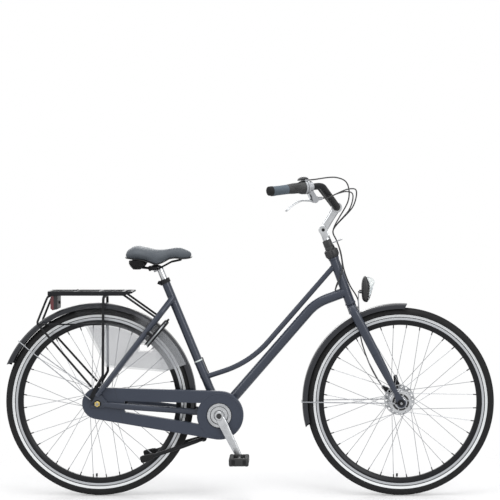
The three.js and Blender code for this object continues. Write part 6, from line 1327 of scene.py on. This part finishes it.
rail_long = platform_front - platform_rear
middle_x = (platform_rear + platform_front) / 2
hook_x, brace_x = rear_axle.x - 85.25, rear_axle.x + 92.75
platform_parts = []
for side in (RIGHT, LEFT):
    platform_parts.append((loft([
        [Vector((x, side * 56 + y, platform_top - 8 + z)) for y, z in (
            (-4, low + 1.5), (-2.5, low), (2.5, low), (4, low + 1.5), (4, 6.5), (2.5, 8), (-2.5, 8),
            (-4, 6.5))]
        for x, low in ((platform_rear, -8), (platform_front - 36, -8), (platform_front, 1.5))
    ]), powder))
    platform_parts.append((block(Vector((middle_x, side * 21, platform_top - 3)), rail_long, 8, 6), powder))
    brace_foot = Vector((brace_x, side * 50, platform_bottom + 3))
    platform_parts.append((tube([brace_foot, seat_stay_point(0.195, side)], 4, 20), powder))
    platform_parts.append((block(Vector((brace_x, side * 50, platform_bottom + 8)), 11, 11, 14), powder))
for x in (platform_rear + 5.5, hook_x, (hook_x + brace_x) / 2, brace_x, platform_front - 5.5):
    platform_parts.append((block(Vector((x, 0, platform_top - 3)), 11, 112, 6), powder))
platform_parts.append((block(Vector((platform_rear + 5.5, 0, platform_bottom + 4.5)), 11, 112, 9), powder))
platform_parts.append((plate(around(hook_x, platform_top, [
    (-2.75, -1), (2.75, -1), (2.75, 3), (1.4, 4.5), (-1.4, 4.5), (-2.75, 3),
]), -21, 21), powder))
piece("carrier_platform_welded", platform_parts, "frame", ["carrier_platform"], bevel=0.8)

# Tail lamp: a moulded black housing bolted under the platform's tail, with a red lens to the rear
# that is ribbed inside.

# Red lens: clear acrylic dyed through, moulded with upright ribs inside.
lens_red, lens_shader, lens_place = new_material("red_acrylic_lens", {
    "Roughness": 0.12, "IOR": 1.49, "Coat Weight": 0.5, "Coat Roughness": 0.05,
})
lens_ribs = add_node(lens_red, "ShaderNodeTexWave", {"bands_direction": "Y", "Scale": 1000 / 18},
                     {"Vector": (lens_place, "Object")})
add_node(lens_red, "ShaderNodeMix", {"data_type": "RGBA", 6: linear("#38090e"), 7: linear("#6a1820")},
         {0: (lens_ribs, "Fac")}, {2: (lens_shader, "Base Color")})
add_node(lens_red, "ShaderNodeBump", {"Strength": 0.3, "Distance": 0.0004},
         {"Height": (lens_ribs, "Fac")}, {0: (lens_shader, "Normal")})

lamp_rear = platform_rear + 7.6
lamp_foot = platform_bottom - fit_gap - 55
piece("tail_light_moulded", [
    (plate(around(lamp_rear, lamp_foot, [
        (5, 4.5), (9, 0.8), (25, 4), (26, 6), (26, 53.5), (24.5, 55), (5, 55),
    ]), -41.6, 41.6), nylon),
    (plate(around(lamp_rear, lamp_foot, [
        (0, 9), (1, 6.4), (6.4, 1), (9.4, 0.4), (12, 1.6), (12, 52.4), (5, 53.6), (1.2, 50), (0, 46),
    ]), -42, 42), lens_red),
    (turned(barrel(0, 6, -2, 6, (0.6, 1), (0.8, 1)),
            Vector((lamp_rear + 26, 0, lamp_foot + 27.5)), X, 28), nylon),
], "frame", ["tail_light"], bevel=1.2)

# Coat guards: thin frosted sheets clipped outside the rear guard, with a slot for the lock's bolt,
# so that the spokes show through as pale shadows.

# Frosted sheet: clear vinyl with a pale print inside the wheel that thickens toward the front edge
# and leaves the sheet clear over the tyre and the guard behind the stays.
frosted = finish("frosted_clear_sheet", {
    "Roughness": 0.35, "IOR": 1.46, "Specular IOR Level": 0.4,
}, (1000 / 14, 3), ("#b4b7bb", "#c4c6ca"))
sheet_place = add_node(frosted, "ShaderNodeTexCoord")
sheet_along = add_node(frosted, "ShaderNodeSeparateXYZ", None, {0: (sheet_place, "Object")})
sheet_reach = add_node(frosted, "ShaderNodeVectorMath", {"operation": "DISTANCE", 1: rear_axle * 0.001},
                       {0: (sheet_place, "Object")})
sheet_print = [add_node(frosted, "ShaderNodeMapRange", dict(zip(
    ("From Min", "From Max", "To Min", "To Max"), span)), {"Value": source}) for span, source in (
        ((0.275, 0.3, 0.24, 0.012), (sheet_reach, "Value")),
        ((-0.43, -0.33, 0.012, 0.32), (sheet_along, "X")),
    )]
add_node(frosted, "ShaderNodeMath", {"operation": "MAXIMUM"},
         {0: (sheet_print[0], "Result"), 1: (sheet_print[1], "Result")},
         {0: (frosted.node_tree.nodes["Principled BSDF"], "Alpha")})

sheet_outline = [(-0.2534, 0.8967), (-0.2127, 0.8459), (-0.1313, 0.7481), (0.0622, 0.3574), (0.6624, 0.3066),
                 (0.8559, 0.3716)]
sheet_slot = [(0.3955, 0.5055), (0.5321, 0.5055), (0.5321, 0.582), (0.3955, 0.582)]
on_guard = lambda pairs: [(rear_axle.x + a * guard_radius, rear_axle.z + h * guard_radius) for a, h in pairs]
sheet_ends = on_guard(sheet_outline)
angle_of = lambda spot: degrees(atan2(spot[1] - guard_centre.z, spot[0] - guard_centre.x))
sheet_edge = [*sheet_ends[1:-1],
              *arc(guard_centre, 356, angle_of(sheet_ends[-1]), angle_of(sheet_ends[0]), 40)]
for side, name in ((RIGHT, "right"), (LEFT, "left")):
    piece(f"coat_guard_{name}_cut", [
        (plate(sheet_edge, side * 26.8, side * 28, [on_guard(sheet_slot)]), frosted),
    ], "frame", [f"coat_guard_{name}"])

# Ring lock: a stamped steel horseshoe, powder coated, whose hardened bolt slides round inside it.
# Its slot lets the bolt's knob travel, and two lugs behind it sit on the seat stays.

stay_run = (stay_top - stay_foot).normalized()
foot_reach = stay_foot - rear_axle
foot_dot = foot_reach.dot(stay_run)
lock_reach = guard_radius - 50
lock_seat = stay_foot + stay_run * (
    sqrt(foot_dot**2 + lock_reach**2 - foot_reach.length_squared) - foot_dot)
seat_reach = lock_seat - rear_axle
lock_heading = degrees(atan2(seat_reach.z, seat_reach.x) - asin(33.07 / lock_reach))
lock_out, lock_along = heading(lock_heading), heading(lock_heading + 90)
lock_centre = rear_axle + lock_out * lock_reach
lock_radius = 66


def lock_spoke(angle):
    """A direction from the lock's centre, from the left round over its closed end."""
    return Y * cos(radians(angle)) + lock_out * sin(radians(angle))


def horseshoe(section, start, end, steps):
    """A closed section carried round the lock; section may be a function of the angle."""
    rings = []
    for i in range(steps + 1):
        angle = start + (end - start) * i / steps
        direction = lock_spoke(angle)
        pairs = section(angle) if callable(section) else section
        rings.append([lock_centre + direction * (lock_radius + b) + lock_along * a for a, b in pairs])
    return loft(rings)


def lock_shell(angle):
    """The shell's section: boxy outside, a round channel inside, and a slot between the two."""
    slot = 4.35 if angle > 79 else 0.2
    ends = min(1.0, 0.9 + min(angle + 35, 215 - angle) * 0.03)
    pairs = []
    first = degrees(asin(slot / 9))
    for k in range(33):
        turn = radians(90 - first - (360 - 2 * first) * k / 32)
        c, s = cos(turn), sin(turn)
        pairs.append((copysign(abs(c) ** 0.5, c) * 9 * ends, copysign(abs(s) ** 0.5, s) * 8 * ends))
    pairs[0], pairs[-1] = (slot, 8 * ends), (-slot, 8 * ends)
    inner = degrees(asin(slot / 5.1))
    for k in range(25):
        turn = radians(90 + inner + (360 - 2 * inner) * k / 24)
        pairs.append((cos(turn) * 5.1, sin(turn) * 5.1))
    return pairs


lock_cylinder = lock_centre + lock_spoke(14) * lock_radius
lock_parts = [(horseshoe(lock_shell, -35, 215, 100), powder)]
for side in (RIGHT, LEFT):
    lug = lock_centre + Y * (side * 56.4) + lock_along * 15.5
    lock_parts.append((drawn(lug, lock_along, Y, lock_out, (
        (-6.5, 6.4, 6.4), (11, 6.4, 6.4), (14.4, 5.6, 5.6), (15.4, 4.4, 4.4)), 4, 24), powder))
lock_parts.append((turned([(0, 0), (7, 0), (7, 9.6), (6.2, 10.4), (4.6, 10.4), (4.4, 9.8), (0, 9.8)],
                          lock_cylinder, lock_along * -1, 32), satin))
lock_parts.append((block(lock_cylinder - lock_along * 9.8, 1.2, 4.6, 0.5, lock_heading), oxide))
piece("ring_lock_stamped", lock_parts, "frame", ["ring_lock"], sharp=40)

bolt_cap = [(-4, -0.4), (4, -0.4), (4, 12), (3.4, 16), (2, 17), (-2, 17), (-3.4, 16), (-4, 12)]
piece("lock_bolt_hardened", [
    (horseshoe([(cos(radians(t)) * 4.5, sin(radians(t)) * 4.5) for t in range(0, 360, 18)],
               84, 213, 72), machined),
    (horseshoe(bolt_cap, 85, 91, 6), nylon),
], "lock_bolt", ["lock_bolt"])

# Centre stand: two splayed steel legs on one pin, powder coated, each with a rubber foot, folded
# back under the chain stays.

stand_parts = [(turned([(0, -20.4), (3.6, -20.4), (4.4, -19.4), (5, -19), (5, 19), (4.4, 19.4),
                        (3.6, 20.4), (0, 20.4)],
                       stand_pivot, Y, 32), oxide)]
for side in (RIGHT, LEFT):
    stand_parts.append((turned(barrel(5.2, 12, 12.4, 19, 1), stand_pivot, Y * side, 44), powder))
    root = stand_pivot + Y * (side * 19.7)
    knee = stand_pivot + Vector((-77.5, side * 44, -25))
    foot = stand_pivot + Vector((-203.5, side * 62, -64))
    path = flowing([root, root.lerp(knee, 0.35), root.lerp(knee, 0.75), knee, knee.lerp(foot, 0.3), foot], 5)
    sizes = [7.2 + 0.8 * min(1, i / 6) - 1.0 * max(0, (i - 15) / (len(path) - 16)) for i in range(len(path))]
    stand_parts.append((tube(path, [(size, size) for size in sizes], 28, Z), powder))
    toe, up = heading(17), heading(107)
    stand_parts.append((drawn(foot, toe, Y, up, (
        (-26, 9.4, 9.4), (-24.4, 11.2, 11.8), (-19, 12, 12.8), (8, 11.8, 11.4), (20.4, 10.4, 9.2),
        (22, 8.4, 7.4)), 3.6, 32), rubber))
    for shift in (-15, -9, -3, 3, 9):
        high = 13.2 - (shift + 15) * 0.06
        stand_parts.append((drawn(foot + toe * shift, toe, Y, up, [
            (s, 12.5 - cut, high - cut) for s, cut in ((-1.5, 0.4), (-1, 0), (1, 0), (1.5, 0.4))
        ], 3.6, 32), rubber))
piece("kickstand_bent", stand_parts, "kickstand", ["kickstand"], sharp=40)

# Headlamp: a tall moulded housing on a bent steel strap bolted to the crown. Its clear lens swells
# forward in a wedge over a bright plated dish.

# Clear acrylic: polished, faintly green in its thickness.
acrylic = new_material("clear_acrylic_lens", {
    "Roughness": 0.04, "IOR": 1.49, "Transmission Weight": 0.92, "Base Color": linear("#eef3f2"),
})[0]

# Vapour-plated plastic: the mirror inside a lamp, hazed a little with age.
plated, plated_shader, plated_place = new_material("plated_reflector", {
    "Metallic": 1.0, "Roughness": 0.18, "Base Color": linear("#c9ccd0"),
})
plated_facets = add_node(plated, "ShaderNodeTexVoronoi", {"Scale": 1000 / 6},
                         {"Vector": (plated_place, "Object")})
add_node(plated, "ShaderNodeBump", {"Strength": 0.35, "Distance": 0.0004},
         {"Height": (plated_facets, "Distance")}, {0: (plated_shader, "Normal")})

lamp_foot_z = crown_middle.z + 25
lamp_x = crown_middle.x + 50


def lamp_ring(share, back, front, wide, trim=0.0):
    """A level ring of the lamp at a share of its height, between two distances from its middle."""
    spot = Vector((lamp_x + (back + front) / 2, 0, lamp_foot_z + 97 * share))
    return ring(spot, Y, X, wide - trim, (front - back) / 2 - trim, 2.4, 44)


shell_shape = [(0, -3, 5, 8), (0.02, -7, 7.4, 13), (0.06, -11, 9, 18), (0.13, -14, 10.6, 22),
               (0.25, -15.6, 12.4, 25.4), (0.45, -16.4, 14.6, 27), (0.6, -16.6, 15.4, 27),
               (0.72, -16, 13.6, 26.4), (0.83, -14, 9.6, 24), (0.92, -11, 4.6, 20), (0.975, -8, 0.6, 14),
               (1, -5, -2, 8)]
glass_shape = [(0.08, 3, 12, 16), (0.16, 3, 15.4, 20.4), (0.28, 3, 19, 23.6), (0.42, 3, 23, 25),
               (0.56, 3, 27, 25), (0.68, 3, 30.4, 24), (0.77, 2, 33, 22), (0.83, 0, 32.4, 20),
               (0.89, -2, 27, 17.4), (0.94, -4, 18, 14), (0.965, -6, 10, 11)]
strap_x, strap_foot, strap_high = crown_middle.x + 21, crown_middle.z - 3, crown_middle.z + 64
headlight_parts = [
    (loft([lamp_ring(*station) for station in shell_shape]), nylon),
    (loft([lamp_ring(share, front - 4, front + 1.2, wide - 2.6)
           for share, _, front, wide in shell_shape[2:-2]]), plated),
    (loft([lamp_ring(*station) for station in glass_shape]), acrylic),
    (block(Vector((strap_x + 1.5, 0, (strap_foot + strap_high) / 2)), 3, 16, strap_high - strap_foot + 3),
     stainless),
    (block(Vector(((strap_x + lamp_x - 10) / 2, 0, strap_high)), lamp_x - 10 - strap_x, 16, 3), stainless),
    (turned(barrel(0, 7, -7, 5, 1), Vector((lamp_x - 18, 0, strap_high)), X, 28), nylon),
    (turned(barrel(0, 4.8, 0, 6, 0, (0.8, 0.6)),
            Vector((crown_middle.x + 18.3, 0, strap_foot + 8)), X, 6), oxide),
]
piece("headlight_moulded", headlight_parts, "steering", ["headlight"], bevel=0.4)

# Seatpost: a polished aluminium tube that slides in the frame, with a forged head whose black
# plates grip the saddle's rails under two bolts.

post_head = Vector((seat_tube_top.x - 41.75, 0, seat_tube_top.z + 43.3))
post_top = seat_tube_top + seat_axis * 47
seatpost_parts = [
    (turned(barrel(0, 12.5, -190, 47, (0.1, 1), (0.2, 3)), seat_tube_top, seat_axis, 48), polished),
    (tube(flowing([post_top - seat_axis * 12, post_top - seat_axis * 4, post_top.lerp(post_head, 0.45),
                   post_head + Z * -3], 6),
          [(12.4, 12.4)] * 7 + [(11.6, 12)] * 6 + [(11, 14)] * 6, 32), polished),
    (drawn(post_head, Y, X, Z, (
        (-29, 14, 6.4), (-27.6, 16.4, 8), (-14, 18.4, 8.8), (0, 19, 9), (14, 18.4, 8.8), (27.6, 16.4, 8),
        (29, 14, 6.4)), 3.6, 32), powder),
]
for ahead in (-12.5, 12.5):
    seatpost_parts.append((turned(barrel(0, 4.6, -11.4, -8.6, (0.2, 0.5), 0),
                                  post_head + X * ahead, Z, 6), oxide))
piece("seatpost_forged", seatpost_parts, "saddle", ["seatpost"], bevel=0.3)

# Saddle cover: foam under a vinyl skin stretched over the base, broad at the tail and narrow at
# the nose. Its fullness comes from a short simulation.

# Soft vinyl: slate grey, with a leather grain and the sheen of use on its high parts.
vinyl = finish("grained_vinyl", {"IOR": 1.5, "Specular IOR Level": 0.35}, (45, 4), ("#454a50", "#545a60"),
               (0.5, 0.66))
vinyl_grain = add_node(vinyl, "ShaderNodeTexVoronoi", {"Scale": 1000 / 2.2},
                       {"Vector": (add_node(vinyl, "ShaderNodeTexCoord"), "Object")})
add_node(vinyl, "ShaderNodeBump", {"Strength": 0.35, "Distance": 0.0002},
         {"Height": (vinyl_grain, "Distance")}, {0: (vinyl.node_tree.nodes["Principled BSDF"], "Normal")})

# Stations from the tail to the nose, as shares: place, crown, skirt and half width.
saddle_shares = [(0, 0.56, 0.4, 0.56), (0.02, 0.738, 0.37, 0.78), (0.074, 0.892, 0.34, 0.93),
                 (0.148, 1, 0.31, 1), (0.266, 0.938, 0.25, 0.98), (0.377, 0.846, 0.12, 0.84),
                 (0.46, 0.79, 0, 0.68), (0.56, 0.79, 0.1, 0.53), (0.66, 0.845, 0.3, 0.43),
                 (0.75, 0.895, 0.35, 0.38), (0.861, 0.885, 0.31, 0.33), (0.935, 0.8, 0.33, 0.28),
                 (0.985, 0.68, 0.37, 0.2), (1, 0.56, 0.43, 0.13)]
saddle_tail, saddle_foot = post_head.x - 99.5, post_head.z + 17
place_line = flowing([Vector((place * 2.44, crown * 0.65, skirt * 0.65))
                      for place, crown, skirt, _ in saddle_shares], 3)
width_line = flowing([Vector((place * 2.44, half, 0)) for place, _, _, half in saddle_shares], 3)
stations = [(saddle_tail + a.x * 100, saddle_foot + a.y * 100, saddle_foot + a.z * 100, b.y * 100)
            for a, b in zip(place_line, width_line)]
outline_points = flowing([Vector((y, 0, h)) for y, h in (
    (-0.84, 0), (-1, 0.3), (-0.97, 0.58), (-0.82, 0.83), (-0.5, 0.97), (0, 1), (0.5, 0.97), (0.82, 0.83),
    (0.97, 0.58), (1, 0.3), (0.84, 0))], 3)
padding = 1.6
pad_rings = [[Vector((x, p.x * (half - padding),
                      skirt + padding * 0.6 + p.z * (crown - skirt - padding * 1.8)))
              for p in outline_points] for x, crown, skirt, half in stations]
for ring_points, inward in ((pad_rings[0], padding), (pad_rings[-1], -padding)):
    for point in ring_points:
        point.x += inward
saddle_cover = piece("saddle_cover_sewn", [(loft(pad_rings), vinyl)], "saddle",
                     ["saddle_cover"])
bpy.context.view_layer.objects.active = saddle_cover
remesh = saddle_cover.modifiers.new("remesh", "REMESH")
remesh.mode, remesh.voxel_size, remesh.use_smooth_shade = "VOXEL", 0.0045, True
bpy.ops.object.modifier_apply(modifier="remesh")
rest = [vertex.co.copy() for vertex in saddle_cover.data.vertices]
cloth = saddle_cover.modifiers.new("cloth", "CLOTH")
cloth.settings.use_pressure, cloth.settings.uniform_pressure_force = True, 4
cloth.settings.effector_weights.gravity = 0
for moment in range(1, 21):
    bpy.context.scene.frame_set(moment)
swollen = saddle_cover.evaluated_get(bpy.context.evaluated_depsgraph_get()).to_mesh()
moved = [vertex.co.copy() for vertex in swollen.vertices]
saddle_cover.modifiers.remove(cloth)
for vertex, start, spot in zip(saddle_cover.data.vertices, rest, moved):
    shift = spot - start
    most = 0.002 if start.z * 1000 > saddle_foot + 12 else 0.0008
    vertex.co = start + shift * min(1, most / max(shift.length, 1e-9))
bpy.context.scene.frame_set(1)
smooth = saddle_cover.modifiers.new("finer", "SUBSURF")
smooth.levels = smooth.render_levels = 1

# Saddle base: a moulded shell, two ribbed elastomer springs at the tail, and a pair of powder
# coated steel rails that run forward to the nose.

post_rail = lambda side: [
    Vector((post_head.x + ahead * 170, side * 21, post_head.z + above * 35)) for ahead, above in (
        (-0.385, 0.629), (-0.262, 0.057), (0.109, -0.114), (0.15, 0), (0.403, 0.671), (0.615, 0.886))
]
base_parts = [(loft([[Vector((x, y * half * 0.82, skirt - 0.3 + z)) for y, z in (
    (-1, -2.5), (-0.96, -3.8), (0.96, -3.8), (1, -2.5), (1, 0), (-1, 0))]
    for x, _, skirt, half in stations]), nylon)]
for side in (RIGHT, LEFT):
    base_parts.append((tube(bent(post_rail(side), 14, 6), 3.5, 20), powder))
    cone = Vector((post_head.x - 55.5, side * 55, post_head.z - 3))
    profile = [(0, 0), (13, 0), (14, 1)]
    for k in range(7):
        height = 1.6 + k * 4.4
        wide = 15 + 15 * sin(pi / 2 * min(1, height / 24))
        profile += [(wide - 1.6, height), (wide, height + 0.7), (wide, height + 2),
                    (wide - 1.6, height + 2.7)]
    profile += [(28, 33), (0, 33)]
    base_parts.append((turned(profile, cone, Z, 48), rubber))
    base_parts.append((block(cone + Vector((0, side * -17, 5.5)), 11, 45, 11), nylon))
piece("saddle_base_moulded", base_parts, "saddle", ["saddle_base"], bevel=0.5)

# Cables: steel wire in plastic sleeves, in open loops from the levers and the shifter to the guide.
# Two go on into the down tube, and the third follows the fork. The loops and the two lower cables
# in the down tube ride no body.

# Cable sleeve: extruded black plastic, smooth and a little glossy.
sleeve = finish("extruded_cable_sleeve", {"Base Color": linear("#18191b")}, (16, 3), gloss=(0.3, 0.46))

guide_spot = head_top + steering_axis * 52.3 + fore * 33
guide_at = lambda lane, above: Vector((0, lane * 6.5, 0)) + guide_spot + steering_axis * above


def cable(node, points, body, far_body=None):
    """A sleeved cable along a smooth line on a body; one that runs between two bodies rides neither."""
    path = flowing(points, 10)
    made = piece(f"{node}_sleeved", [(tube(path, 2.5, 16, X), sleeve)], None if far_body else body,
                 [node])
    if far_body:
        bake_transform(made)


def upper_cable(node, start, direction, lead, route, lane):
    """A cable from a control, by way of its loop, to its lane in the guide."""
    loop = [bar_middle + Vector(spot) for spot in route]
    cable(node, [start, start + direction * lead, *loop, guide_at(lane, 40), guide_at(lane, 4.3)],
          "handlebar", "steering")


barrel_end = lambda side: lever_frame(side)[3] - lever_frame(side)[0] * 33.1
upper_cable("cable_gear_upper", on_bar(RIGHT, 162.9) + Z * 24.7, grip_axis[RIGHT], 26,
            [(-4, -112, 110), (38, -48, 88), (44, -16, 30)], -1)
upper_cable("cable_front_brake_upper", barrel_end(RIGHT), grip_axis[RIGHT], 22,
            [(40, -88, 68), (72, -34, 62), (62, -6, 6)], 0)
upper_cable("cable_rear_brake_upper", barrel_end(LEFT), grip_axis[LEFT], 22,
            [(38, 84, 60), (62, 36, 48), (50, 14, -4)], 1)
for node, side in (("cable_gear_lower", RIGHT), ("cable_rear_brake_lower", LEFT)):
    cable(node, [guide_at(side, 4), guide_at(side * 1.4, -30), *[
        head_top + Vector((x, side * y, z)) for x, y, z in (
            (34, 26, -34.3), (23, 27, -78.3), (11, 18, -108.3), (7, 8, -122.8))
    ]], "steering", "frame")
cable("cable_front_brake_lower", [guide_at(0, 4), guide_at(0, -40), *[
    head_top + Vector(spot) for spot in (
        (40, 4, -46.3), (62, 12, -104.3), (92, 26, -156.3), (96, 31.5, -194.3), (100, 31.5, -244.3),
        (106, 31.5, -311.3), (138, 37, -404.3), (168, 43, -460.3), (181, 43.6, -478.8))
]], "steering")
